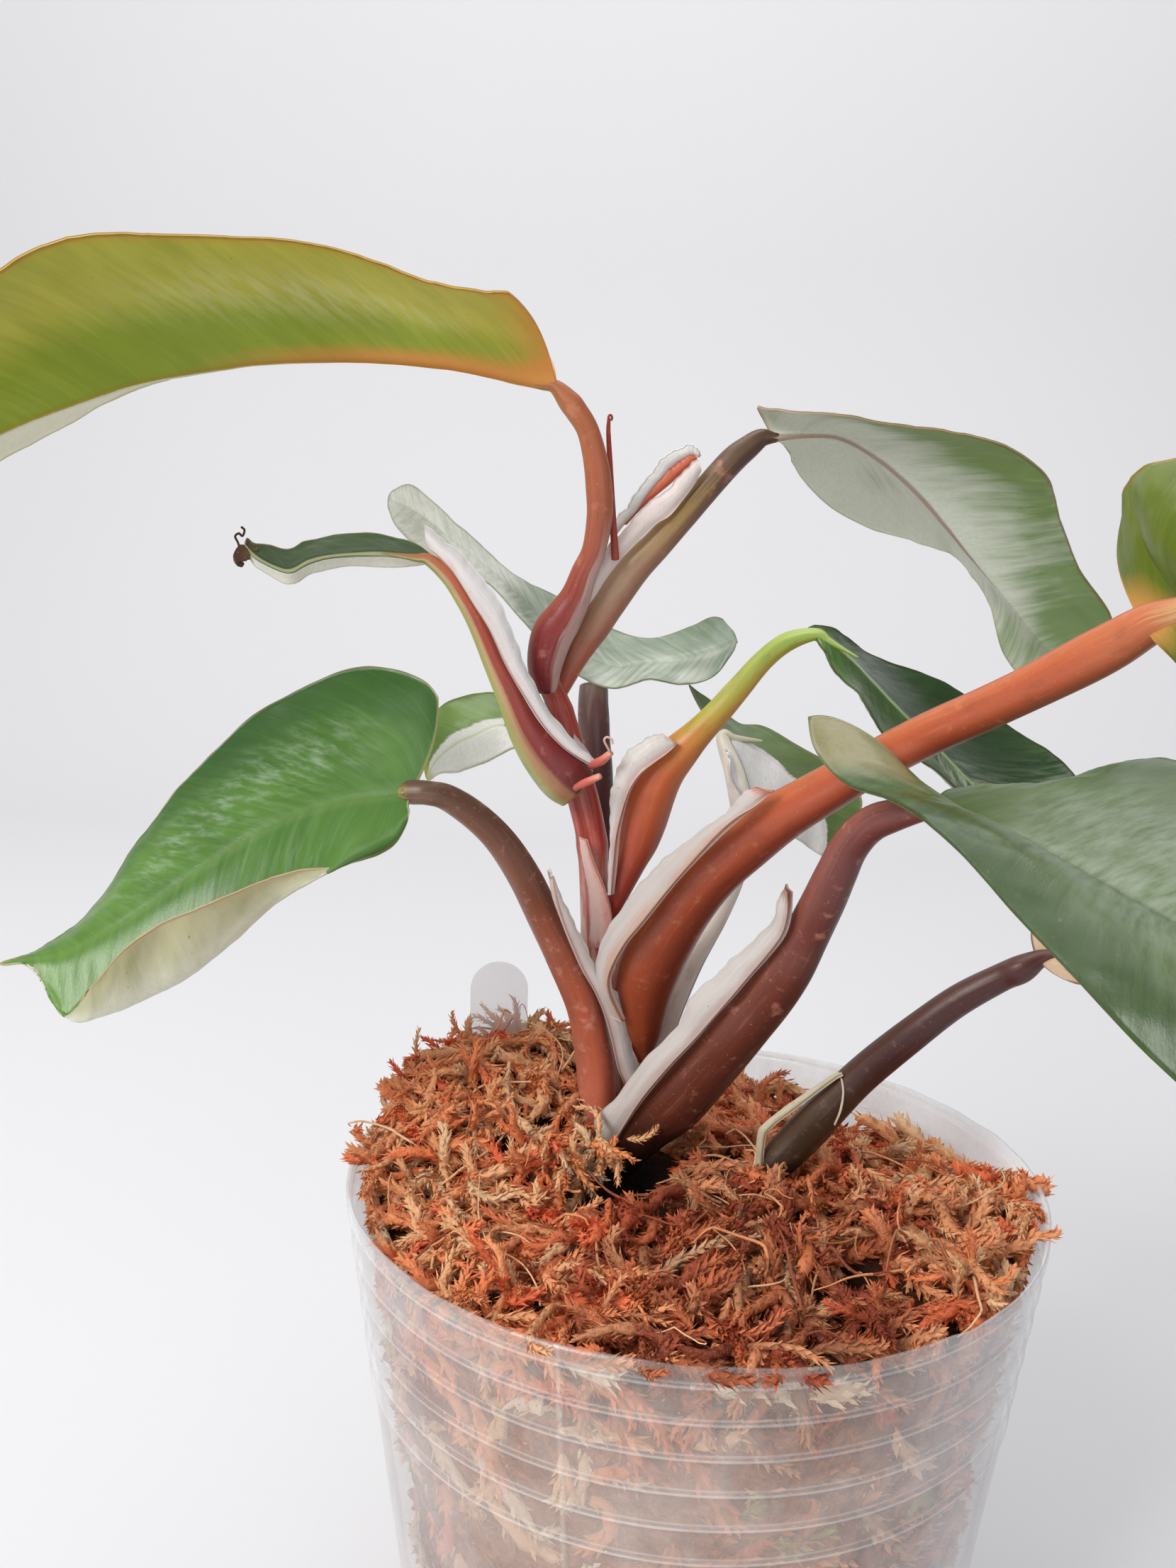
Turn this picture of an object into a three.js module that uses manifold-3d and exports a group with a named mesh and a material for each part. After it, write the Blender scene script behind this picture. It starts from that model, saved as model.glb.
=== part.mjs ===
// Potted variegated philodendron: a single climbing stem with eleven leaves,
// growing in sphagnum moss in a clear, ribbed, cut-down nursery cup.
// Units are millimetres, +Z is up, and the origin is the centre of the cup's underside.
import * as THREE from 'three';
import { mergeVertices } from 'three/addons/utils/BufferGeometryUtils.js';
import Module from 'manifold-3d';

const wasm = await Module();
wasm.setup();
const { Manifold, Mesh } = wasm;

// ---------- driving dimensions ----------
const CUP_FOOT_R = 34.5;        // wall radius carried down to z = 0
const CUP_TOP_R = 45.0;         // wall radius at the uppermost rib
const CUP_TOP_RIB_Z = 86.0;     // height of the uppermost rib
const CUP_RIM_Z = 87.4;         // mean height of the cut rim
const CUP_WALL = 0.8;           // wall thickness
const CUP_FLOOR = 1.0;          // floor thickness
const CUP_HEEL = 1.6;           // chamfer between floor and wall
const RIB_PITCH = 4.6;          // spacing of the stacking ribs
const RIB_COUNT = 6;
const RIB_OUT = 0.55;           // how far a rib stands out of the wall
const RIB_HALF = 0.95;          // half height of a rib
const DRAIN_R = 3.5;            // drainage holes, in a ring round the centre
const DRAIN_RING = 21;
const DRAIN_COUNT = 6;
const SEGMENTS = 48;
const GAP = 0.32;               // clearance between touching pieces
const BLADE_T = 0.6;            // leaf blade thickness
const LABEL = { w: 8.4, t: 0.7, z0: 64, z1: 107, x: -29.6, y: 21.5, turn: 0.12 };

// ---------- guide data ----------
// A stalk is a list of stations [x, y, z, half width, half thickness].
const STALKS = {
  leaf_stalk_1: [
    [-22.4, 10.5, 148.7, 1.59, 1.27],
    [-22.5, 10, 152.2, 2.42, 1.94],
    [-21.6, 9.8, 156, 2.78, 2.22],
    [-20.2, 9.4, 158.4, 2.49, 1.99],
    [-18.6, 8.8, 161.3, 2.1, 1.68],
    [-17.5, 8, 164.5, 1.72, 1.38],
    [-16.3, 7.4, 167.4, 1.58, 1.26],
    [-15.6, 6.6, 171.6, 1.69, 1.36],
    [-15.8, 6, 175, 1.64, 1.31],
    [-16.3, 5.6, 178.4, 1.54, 1.23],
    [-17.3, 5.2, 182.2, 1.4, 1.12],
    [-18.8, 5, 184.3, 1.4, 1.12],
    [-19.9, 5, 185.7, 1.35, 1.08],
    [-20.8, 5, 186.7, 1.31, 1.05],
  ],
  leaf_stalk_2: [
    [-20.4, 12, 147.6, 1.23, 0.88],
    [-19.4, 12, 150.9, 1.69, 1.22],
    [-18.1, 12, 155.2, 2.25, 1.62],
    [-16.8, 12, 158.5, 2.61, 1.88],
    [-14.8, 12, 161.9, 2.78, 2],
    [-11.6, 12, 167, 3.13, 2.25],
    [-9.2, 12.2, 170.3, 3.49, 2.51],
    [-7, 12.4, 173.3, 3.57, 2.57],
    [-4.4, 12.7, 175.5, 2.92, 2.1],
    [-2, 13.2, 176.9, 2.1, 1.51],
    [0.4, 14, 179, 1.83, 1.32],
    [2.6, 14.5, 180.9, 1.51, 1.08],
    [4.2, 15, 182.2, 1.19, 0.85],
    [5, 15, 182.4, 1.1, 0.79],
  ],
  leaf_stalk_3: [
    [-17.8, 8, 135.3, 3.09, 1.54],
    [-19.2, 7.5, 137.4, 3.82, 1.91],
    [-21.8, 7, 140.6, 3.8, 1.9],
    [-24.2, 7, 144.7, 3.51, 1.76],
    [-25.8, 6.5, 148.8, 3.03, 1.52],
    [-27.5, 6, 153.2, 2.65, 1.32],
    [-29, 5.5, 157, 2.4, 1.2],
    [-30.9, 5, 160.9, 2.16, 1.08],
    [-33, 4.5, 163.8, 1.88, 0.94],
    [-35.3, 4, 166.1, 1.52, 0.76],
    [-36.8, 4, 166.8, 1.16, 0.58],
  ],
  leaf_stalk_4: [
    [-10.9, 9, 94.6, 1.96, 1.33],
    [-10.4, 8, 100, 3.1, 2.11],
    [-9.8, 7, 105.7, 4.12, 2.8],
    [-8.1, 5, 113.1, 4.89, 3.32],
    [-5.5, 2, 120.3, 4.95, 3.37],
    [-1.8, -2, 127.5, 4.62, 3.14],
    [2.6, -6, 133.3, 4.05, 2.75],
    [8.1, -10, 138.6, 3.25, 2.21],
    [14, -15, 143.4, 2.65, 1.8],
    [19.6, -20, 148.1, 2.39, 1.62],
    [24.8, -25, 152.1, 2.22, 1.51],
    [29.3, -30, 155.6, 2.2, 1.5],
    [33, -35, 159.2, 2.24, 1.53],
    [36.2, -38.5, 161.9, 2.24, 1.52],
    [38, -40.5, 163.5, 1.94, 1.32],
  ],
  leaf_stalk_5: [
    [-12.7, 10, 117.6, 0.96, 0.67],
    [-11.9, 9.5, 121.6, 1.72, 1.2],
    [-10.6, 9, 125.8, 2.37, 1.66],
    [-9.5, 9, 129.4, 2.92, 2.05],
    [-8.8, 9, 132.9, 3.38, 2.37],
    [-7.8, 9, 137.2, 3.93, 2.75],
    [-5.7, 9.5, 141.1, 3.36, 2.35],
    [-1.8, 9, 144.6, 2.13, 1.49],
    [0.6, 8.5, 147.2, 1.7, 1.19],
    [2.9, 8, 150.3, 1.55, 1.09],
    [6.1, 7, 154.4, 1.35, 0.95],
    [9, 5.5, 157, 1.2, 0.84],
    [11.2, 4, 158.3, 1.1, 0.77],
  ],
  leaf_stalk_6: [
    [-9.5, 6, 82.4, 1.95, 1.29],
    [-9, 5, 86.6, 3.38, 2.23],
    [-7, 3, 91.9, 4.75, 3.14],
    [-3.6, 1, 96.7, 5.05, 3.33],
    [0.4, -2, 103.5, 5.2, 3.43],
    [4.1, -5, 110.2, 4.98, 3.28],
    [7.6, -9, 117.4, 4.47, 2.95],
    [10.5, -12, 123.5, 3.69, 2.43],
    [12.9, -15, 128.9, 2.94, 1.94],
    [14.7, -18, 134.6, 2.47, 1.63],
    [16.3, -21, 139.1, 2.25, 1.49],
    [18.8, -24, 141.7, 1.89, 1.25],
    [21.3, -27, 142.9, 1.56, 1.03],
  ],
  leaf_stalk_7: [
    [9.1, 0, 85.7, 1.59, 1.27],
    [10.7, 0, 88.8, 2.42, 1.94],
    [13.7, 0, 93.3, 3.15, 2.52],
    [17.2, -1, 98.3, 2.74, 2.19],
    [21.3, -2, 103.5, 2.26, 1.8],
    [26.6, -4, 109.8, 2.12, 1.7],
    [31.3, -5, 114.6, 1.92, 1.54],
    [35.9, -6, 118.1, 1.72, 1.38],
    [38.7, -7, 120.1, 1.54, 1.23],
  ],
  leaf_stalk_8: [
    [-13, 9, 86.4, 1.98, 1.42],
    [-12.9, 8.5, 90.7, 3.04, 2.19],
    [-12.7, 8, 95.1, 3.8, 2.74],
    [-13, 7, 100.2, 3.95, 2.85],
    [-14.7, 5.5, 107.5, 3.61, 2.6],
    [-17.5, 3.5, 114.5, 2.99, 2.15],
    [-19.9, 1, 120.7, 2.57, 1.85],
    [-22.8, -1, 126.2, 2.21, 1.59],
    [-25.7, -3, 131.1, 2, 1.44],
    [-28.7, -5, 134.7, 1.8, 1.3],
    [-32, -7, 137.3, 1.65, 1.19],
    [-35, -8, 138.1, 1.47, 1.06],
  ],
  leaf_stalk_9: [
    [-11.1, 17, 87.8, 1.74, 1.48],
    [-11.9, 18.5, 95.9, 1.95, 1.65],
    [-13.1, 20, 103.9, 2.05, 1.74],
    [-14.3, 22, 114.9, 2.05, 1.74],
    [-15.5, 24, 126, 2.05, 1.74],
    [-16.5, 26, 134.9, 2.15, 1.83],
    [-17.1, 27, 139.9, 2.25, 1.91],
    [-17.6, 28, 143.9, 2.25, 1.92],
    [-17.6, 29, 146, 1.95, 1.66],
  ],
  leaf_stalk_10: [
    [-14.2, 16, 112.1, 1, 0.85],
    [-15.1, 18, 119.7, 1.2, 1.02],
    [-16.3, 19.5, 127, 1.2, 1.02],
    [-18.8, 20.5, 133.3, 1.2, 1.02],
    [-21.4, 21, 138.2, 1.2, 1.02],
    [-22.7, 21, 140.3, 1.1, 0.93],
  ],
  leaf_stalk_11: [
    [-7.2, 7, 92.6, 1.65, 1.32],
    [-6.5, 8.5, 98.2, 2.04, 1.63],
    [-4.9, 10, 104.9, 2.23, 1.79],
    [-2.3, 13, 111.2, 2.15, 1.72],
    [1.2, 16, 117.6, 1.97, 1.58],
    [3.7, 19, 123.6, 1.79, 1.43],
    [4.6, 22, 129.6, 1.65, 1.32],
    [3.3, 24.5, 135.6, 1.51, 1.21],
    [1.6, 26, 139.4, 1.42, 1.13],
  ],
};
const STEM = [
  [-11.9, 11, 81.9, 2.51, 2.25],
  [-12.2, 11, 86.2, 2.99, 2.69],
  [-12.6, 11, 92.5, 3.07, 2.77],
  [-13.4, 11, 98.8, 2.86, 2.57],
  [-14.1, 11, 107.1, 2.54, 2.29],
  [-14.6, 11, 114.2, 2.23, 2.01],
  [-15.3, 11, 123.2, 2.02, 1.82],
  [-15.9, 11.5, 129, 2.11, 1.9],
  [-17.2, 11.5, 134.3, 2.19, 1.97],
  [-18.7, 11.5, 139.1, 2.09, 1.88],
  [-19.8, 11.5, 143.4, 1.89, 1.7],
  [-21, 11.5, 147.2, 1.6, 1.44],
];
const DRIED_TIP = [
  [-13.6, 8.5, 166.2, 0.45, 0.45],
  [-14.2, 8.5, 172.4, 0.45, 0.45],
  [-14.7, 8.5, 178.3, 0.4, 0.4],
  [-15, 8.5, 182, 0.36, 0.36],
  [-15, 8.5, 183.5, 0.36, 0.36],
];
const ROOT_STUB_A = [
  [-15.7, 6.5, 139.7, 0.42, 0.42],
  [-14.3, 4.5, 140.8, 0.5, 0.5],
  [-13, 3, 142.1, 0.41, 0.41],
];
const ROOT_STUB_B = [
  [-17.4, 3.2, 137.3, 0.36, 0.36],
  [-15.8, 1.8, 138.5, 0.45, 0.45],
  [-14.1, 0.6, 139.5, 0.4, 0.4],
];
// A blade is a list of rows from base to tip; each row runs from margin to
// margin across the midrib. The cup value bows each half between its ends.
const BLADES = {
  leaf_1: { cup: [-0.1, -0.08], rows: [
    [[-23.9, -3, 196.63], [-21.2, 5, 187.09], [-23.34, 16, 191.93]],
    [[-28.15, -5, 197.15], [-25.69, 5, 187.5], [-28.52, 24, 194.42]],
    [[-35.18, -7, 197.92], [-33.96, 2, 188.84], [-39.32, 27, 195.93]],
    [[-44.24, -10, 200], [-43.29, -1, 189.12], [-51.28, 27, 194.76]],
    [[-53.14, -15, 200.85], [-52.17, -6, 188.42], [-62.15, 23, 191.81]],
    [[-60.35, -20, 200.34], [-60.13, -10, 186.96], [-70.62, 16, 188.81]],
    [[-66.66, -26, 198.61], [-67.36, -14, 184.86], [-78.96, 9, 185.49]],
    [[-72.62, -31, 195.14], [-73.49, -18, 182.08], [-86.36, 3, 179.1]],
    [[-78.89, -35, 189.41], [-79.8, -22, 178.63], [-92.7, -5, 172.73]],
    [[-85.7, -38, 181.63], [-86.94, -27, 173.54], [-97.8, -14, 165.61]],
    [[-92.37, -38, 172.59], [-93.59, -31, 167.84], [-99.91, -24, 161.62]],
    [[-98.4, -35.5, 162.11], [-98.48, -35, 161.64], [-98.72, -34.5, 161.15]],
  ] },
  leaf_2: { cup: [-0.08, -0.08], rows: [
    [[7.97, 19, 180.27], [5.7, 15, 182.15], [2.36, 13, 186.28]],
    [[9.95, 22, 177.45], [9.31, 15.5, 182.79], [6.76, 9, 184.68]],
    [[14.67, 25, 173.27], [14.33, 16, 182.58], [14.85, 8, 184.82]],
    [[20.8, 27, 170.37], [19.57, 17, 180.07], [22.65, 8, 183.91]],
    [[26.16, 27, 169.48], [24.49, 18, 176.35], [29.17, 8, 182.46]],
    [[30.72, 26, 168.02], [29.1, 19, 171.74], [35.46, 9, 180.88]],
    [[34.09, 25, 164.35], [33.82, 20, 166.49], [40.16, 11, 178.05]],
    [[37.12, 25, 159.93], [38.6, 21, 161.44], [42.46, 14, 172.69]],
    [[39.33, 25, 154.18], [43.24, 22, 156.58], [45.95, 17, 166.58]],
    [[42.45, 24, 151.19], [47.4, 22.5, 153.33], [51.89, 20, 159.84]],
    [[49.86, 23.2, 150.92], [50.05, 23, 151.34], [50.33, 22.8, 151.86]],
  ] },
  leaf_3: { cup: [0.03, 0.03], rows: [
    [[-36.86, 3.6, 165], [-36.42, 3.2, 165.65], [-36.3, 4.4, 166.4]],
    [[-39.9, 2.6, 164.77], [-39.76, 1.2, 166.15], [-40.36, 4.6, 167.94]],
    [[-44.28, 2, 164.65], [-43.22, 0.3, 166.34], [-43.83, 4.6, 168.45]],
    [[-48.05, 1.2, 164.39], [-47.91, -0.6, 165.96], [-49.03, 4.2, 168.3]],
    [[-50.55, 0.4, 163.73], [-50.73, -1.4, 165.21], [-52.18, 3, 167.35]],
    [[-52.62, -0.6, 162.49], [-52.89, -2, 164.04], [-53.9, 2, 166.63]],
    [[-54.57, -1, 162.54], [-54.85, -2, 164.41], [-56.17, 1.4, 166.84]],
    [[-57.16, -1, 164.11], [-57.47, -1.6, 165.6], [-57.99, 0.6, 167.07]],
    [[-58.99, -0.8, 166.21], [-59, -1, 167], [-59, -0.4, 167.85]],
  ] },
  leaf_4: { cup: [-0.08, -0.08], rows: [
    [[37.55, -32, 172.19], [38.25, -41.5, 164.11], [39.4, -47, 161.81]],
    [[38.3, -33, 176.33], [40.45, -46, 165.95], [41.77, -55, 159.32]],
    [[41.97, -37, 180.08], [43.66, -52.5, 167.27], [46.18, -62, 157.77]],
    [[66, -44, 186], [69, -60, 161], [70, -68, 143]],
    [[75, -51, 183], [77, -68, 157], [78, -75, 140]],
    [[84, -60, 177], [85, -75, 152], [85, -82, 138]],
    [[91, -71, 166], [92, -82, 148], [91, -87, 137]],
    [[97.5, -86.5, 143], [97.6, -87, 142.3], [97.6, -87.5, 141.6]],
  ] },
  leaf_5: { cup: [-0.08, -0.08], rows: [
    [[12.85, 1, 156.57], [11.81, 4, 158.24], [10.49, 8, 158.98]],
    [[14, -1, 155.02], [13.8, 3, 157.27], [14.07, 10, 158.21]],
    [[16.03, -3, 152.51], [16.44, 3, 155.44], [18.27, 13, 155.88]],
    [[18.22, -4, 149.75], [19.41, 4, 152.61], [23.33, 16, 153.6]],
    [[21.33, -3, 146.45], [22.92, 5, 149.04], [29.8, 19, 150.83]],
    [[25.63, -1, 143.14], [27.65, 7, 144.67], [36.53, 21, 147.26]],
    [[30.42, 2, 139.12], [32.82, 9, 139.64], [42.73, 22, 143.46]],
    [[36.3, 6, 134.4], [38.75, 12, 134.57], [47.8, 22, 139.94]],
    [[43.12, 11, 129.28], [45.3, 15, 129.84], [51.33, 21, 135.16]],
    [[52.63, 17.6, 124.91], [52.98, 18, 125.22], [53.38, 18.6, 125.58]],
  ] },
  leaf_6: { cup: [0.1, 0.08], rows: [
    [[9.9, -19, 152.82], [22.47, -29, 143.74], [25.86, -22, 144.47]],
    [[10.55, -25, 148.79], [25.46, -32, 143.3], [31.08, -20, 144.47]],
    [[14.08, -31, 145.83], [28.61, -36, 142.74], [36.13, -19, 144.98]],
    [[18.74, -37, 145.1], [32.23, -40, 141.81], [40.49, -19, 146.6]],
    [[23.07, -43, 142.92], [35.94, -44, 140.68], [44.63, -21, 148.11]],
    [[27.45, -49, 138.76], [39.86, -48.5, 139.39], [49.16, -25, 148.84]],
    [[32, -55, 134.68], [44.04, -53, 137.93], [54.11, -30, 148.79]],
    [[36.94, -61, 130.38], [48.52, -58, 136.33], [58.57, -37, 147.64]],
    [[42.89, -67, 126.49], [53.04, -63, 134.68], [61.91, -46, 145.26]],
    [[49.57, -72, 124.27], [57.54, -68, 132.96], [64.12, -56, 141.01]],
    [[57.12, -75, 124.24], [61.57, -72, 130.83], [64.94, -66, 136.35]],
    [[64.69, -76.3, 128.61], [64.95, -76, 128.69], [65.25, -75.6, 128.83]],
  ] },
  leaf_7: { cup: [0.06, 0.06], rows: [
    [[41.78, -10, 119.73], [39.83, -7, 121.06], [39.12, -3, 124.05]],
    [[44.93, -13, 120.11], [43.42, -8, 122.85], [44.05, 0, 126.72]],
    [[49.94, -15, 120.28], [48.75, -9, 124.38], [51.15, 2, 129.29]],
    [[55.94, -16, 119.92], [54.85, -10, 125.06], [58.76, 2, 130.16]],
    [[61.91, -16, 118.61], [60.98, -11, 124.46], [65.39, 0, 129.27]],
    [[67.47, -16, 117.28], [67.16, -12, 122.6], [71.28, -3, 126.46]],
    [[72.67, -15, 115.95], [72.63, -13, 119.45], [75.11, -8, 122.14]],
    [[77.34, -14.2, 115.26], [77.48, -14, 115.45], [77.66, -13.7, 115.68]],
  ] },
  leaf_8: { cup: [0, 0], rows: [
    [[-36.01, -12, 134.83], [-35.9, -11, 136.35], [-36.21, -8, 138.14], [-33.29, 2, 145.07]],
    [[-37.7, -14, 132.36], [-37.61, -14, 134.01], [-39.46, -8, 137.98], [-37.43, 5, 149.78]],
    [[-41.46, -17, 131.29], [-41.82, -17.5, 132.42], [-44.94, -9, 137.04], [-45.13, 6, 151.47]],
    [[-45.33, -20, 131.02], [-46.14, -19, 129.69], [-50.69, -10.5, 135.14], [-52.4, 5, 149.35]],
    [[-50.13, -22, 130.12], [-51.45, -20, 125.58], [-55.98, -12, 132.22], [-58.44, 3, 145.85]],
    [[-54.03, -24, 128.8], [-55.95, -21, 121.15], [-60.82, -13.5, 128.8], [-64, 1, 140.16]],
    [[-58.25, -25, 127.02], [-60.09, -22, 117.77], [-65, -15, 125.8], [-68.67, -2, 134.65]],
    [[-62.06, -26, 124.76], [-64.45, -23, 115.42], [-68.8, -16.5, 123.01], [-72.3, -5, 129.76]],
    [[-65.29, -27, 122.22], [-68.79, -24, 113.6], [-72.45, -18, 120.78], [-74.96, -9, 124.28]],
    [[-69.59, -26, 117.56], [-72.6, -24, 112.48], [-75.61, -19.5, 119.04], [-76.98, -13, 120.48]],
    [[-74.37, -23.5, 112.7], [-75.64, -22.5, 114.18], [-78.41, -20.3, 118.52], [-79.11, -17, 118.99]],
    [[-78.54, -21.2, 117.58], [-79.5, -21, 117.81], [-80.78, -20.5, 118.18], [-80.91, -19.5, 118.54]],
    [[-83.12, -20.8, 117.52], [-83.16, -20.7, 117.6], [-83.21, -20.6, 117.68], [-83.26, -20.5, 117.76]],
  ] },
  leaf_9: { cup: [0.05, 0.05], rows: [
    [[2.14, 29, 152.37], [2.66, 31, 154.32], [1.98, 34, 156.17]],
    [[-0.64, 27, 149.66], [-0.31, 30, 152.78], [-0.75, 35, 157.02]],
    [[-4.59, 26.5, 148.24], [-5.14, 30.5, 151.31], [-4.85, 36, 155.32]],
    [[-9.74, 26.5, 148.23], [-10.48, 31, 150.52], [-10.51, 37, 153.75]],
    [[-14.61, 27, 147.15], [-15.42, 31, 150.02], [-16.34, 38, 154.71]],
    [[-19.19, 27.5, 148.84], [-20.46, 32, 152.09], [-20.89, 38, 157.08]],
    [[-24.16, 28, 152.37], [-25.84, 32.5, 156.3], [-25.55, 38, 159.77]],
    [[-28.49, 29, 156.19], [-30.71, 33, 160.43], [-30.41, 38, 162.02]],
    [[-32.85, 30, 160.75], [-34.96, 33, 163.89], [-34.67, 37.5, 165.05]],
    [[-37.22, 31, 164.21], [-39.28, 33.5, 166.8], [-38.89, 37, 168.47]],
    [[-43.17, 32, 165.19], [-43.09, 34, 169.74], [-42.66, 37, 172.08]],
    [[-47.62, 33, 168.6], [-46.58, 34, 171.68], [-46.19, 36, 174.96]],
    [[-49.33, 34, 171.9], [-49.34, 34.5, 172.72], [-49.25, 35, 173.74]],
  ] },
  leaf_10: { cup: [0.06, 0.06], rows: [
    [[-21.88, 17.5, 139.13], [-23.01, 20, 140.84], [-24.05, 23, 143.75]],
    [[-24.92, 15, 140.03], [-26.29, 19, 141.87], [-27.71, 25, 145.44]],
    [[-27.6, 14, 140.08], [-29.84, 18, 142.57], [-31.92, 25, 145.78]],
    [[-31.02, 13, 137.85], [-33.12, 17, 141.1], [-35.64, 24, 145.66]],
    [[-34.13, 13, 137.02], [-35.89, 17, 139.58], [-38.72, 22, 144.08]],
    [[-37.16, 14.5, 135.99], [-38.37, 17, 137.26], [-40.92, 20, 140.04]],
    [[-39.6, 17.2, 134.34], [-39.76, 17.5, 134.57], [-40.03, 17.8, 134.91]],
  ] },
  leaf_11: { cup: [-0.05, -0.05], rows: [
    [[1.97, 24, 139.06], [0.98, 26, 140.91], [-3.97, 31, 147.58]],
    [[2.53, 22, 137.62], [3.31, 27, 140.64], [-0.67, 32, 144.87]],
    [[3.17, 22, 134.81], [5.61, 28, 139.54], [3.29, 33, 142.05]],
    [[4.66, 22, 132.64], [8.06, 29, 137.81], [7.17, 34, 141.64]],
    [[6.75, 22, 130.7], [10.73, 29, 135.64], [12.21, 34, 138.79]],
    [[9.37, 23, 128.75], [13.42, 29, 133.15], [16.91, 34, 136.56]],
    [[11.79, 24, 127.4], [15.23, 28, 130.83], [20.84, 33, 133.74]],
    [[13.96, 25.5, 125.89], [16.38, 27.5, 128.05], [21.92, 31, 130.29]],
    [[15.5, 26.3, 124.62], [16.7, 27, 125.66], [18.83, 28, 126.8]],
    [[16.81, 27, 123.77], [16.91, 27.1, 123.96], [17.11, 27.3, 124.24]],
  ] },
};

// ---------- helpers ----------
const V = (a) => new THREE.Vector3(a[0], a[1], a[2]);
// Broad faces of stalks look along this direction.
const FACING = new THREE.Vector3(0.05, 1, -0.12).normalize();

function toManifold(geometry) {
  const g = geometry.index ? geometry.clone() : geometry.clone();
  g.deleteAttribute('normal');
  g.deleteAttribute('uv');
  const m = mergeVertices(g, 1e-4);
  const pos = m.getAttribute('position').array;
  const idx = [];
  const src = m.index.array;
  for (let i = 0; i < src.length; i += 3) {
    const [a, b, c] = [src[i], src[i + 1], src[i + 2]];
    if (a !== b && b !== c && a !== c) idx.push(a, b, c);
  }
  const mesh = new Mesh({
    numProp: 3,
    vertProperties: new Float32Array(pos),
    triVerts: new Uint32Array(idx),
  });
  mesh.merge();
  const solid = new Manifold(mesh);
  return solid.volume() < 0 ? flipped(pos, idx) : solid;
}

function flipped(pos, idx) {
  const back = [];
  for (let i = 0; i < idx.length; i += 3) back.push(idx[i], idx[i + 2], idx[i + 1]);
  return new Manifold(new Mesh({
    numProp: 3, vertProperties: new Float32Array(pos), triVerts: new Uint32Array(back),
  }));
}

function largestBody(solid) {
  let best = null;
  for (const part of solid.decompose()) {
    if (!best || part.volume() > best.volume()) best = part;
  }
  return best;
}

function toGeometry(solid) {
  const mesh = solid.getMesh();
  const n = mesh.numProp;
  const pos = new Float32Array(mesh.numVert * 3);
  for (let i = 0; i < mesh.numVert; i++) {
    for (let k = 0; k < 3; k++) pos[i * 3 + k] = mesh.vertProperties[i * n + k];
  }
  const g = new THREE.BufferGeometry();
  g.setAttribute('position', new THREE.BufferAttribute(pos, 3));
  g.setIndex(new THREE.BufferAttribute(new Uint32Array(mesh.triVerts), 1));
  g.computeVertexNormals();
  return g;
}

// A closed tube of changing oval section: a capped cylinder swept along a spline.
function stalkGeometry(stations, grow = 0, sides = 9, steps = 0) {
  const curve = new THREE.CatmullRomCurve3(stations.map(V), false, 'centripetal');
  const n = stations.length;
  const rows = steps || n + 3;
  const g = new THREE.CylinderGeometry(1, 1, 1, sides, rows);
  const p = g.getAttribute('position');
  const station = (t) => {
    const f = t * (n - 1);
    const i = Math.min(n - 2, Math.floor(f));
    const s = f - i;
    const mix = (k) => stations[i][k] * (1 - s) + stations[i + 1][k] * s;
    const c = curve.getPoint(t);
    const e = 1e-3;
    const T = curve.getPoint(Math.min(1, t + e)).sub(curve.getPoint(Math.max(0, t - e))).normalize();
    const W = new THREE.Vector3().crossVectors(T, FACING).normalize();
    const D = new THREE.Vector3().crossVectors(W, T).normalize();
    if (t < 1e-6) c.addScaledVector(T, -grow);
    if (t > 1 - 1e-6) c.addScaledVector(T, grow);
    return { c, W, D, a: mix(3) + grow, b: mix(4) + grow };
  };
  for (let i = 0; i < p.count; i++) {
    const t = THREE.MathUtils.clamp(p.getY(i) + 0.5, 0, 1);
    const s = station(t);
    const q = s.c.clone()
      .addScaledVector(s.W, s.a * p.getX(i))
      .addScaledVector(s.D, s.b * p.getZ(i));
    p.setXYZ(i, q.x, q.y, q.z);
  }
  return g;
}

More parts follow.
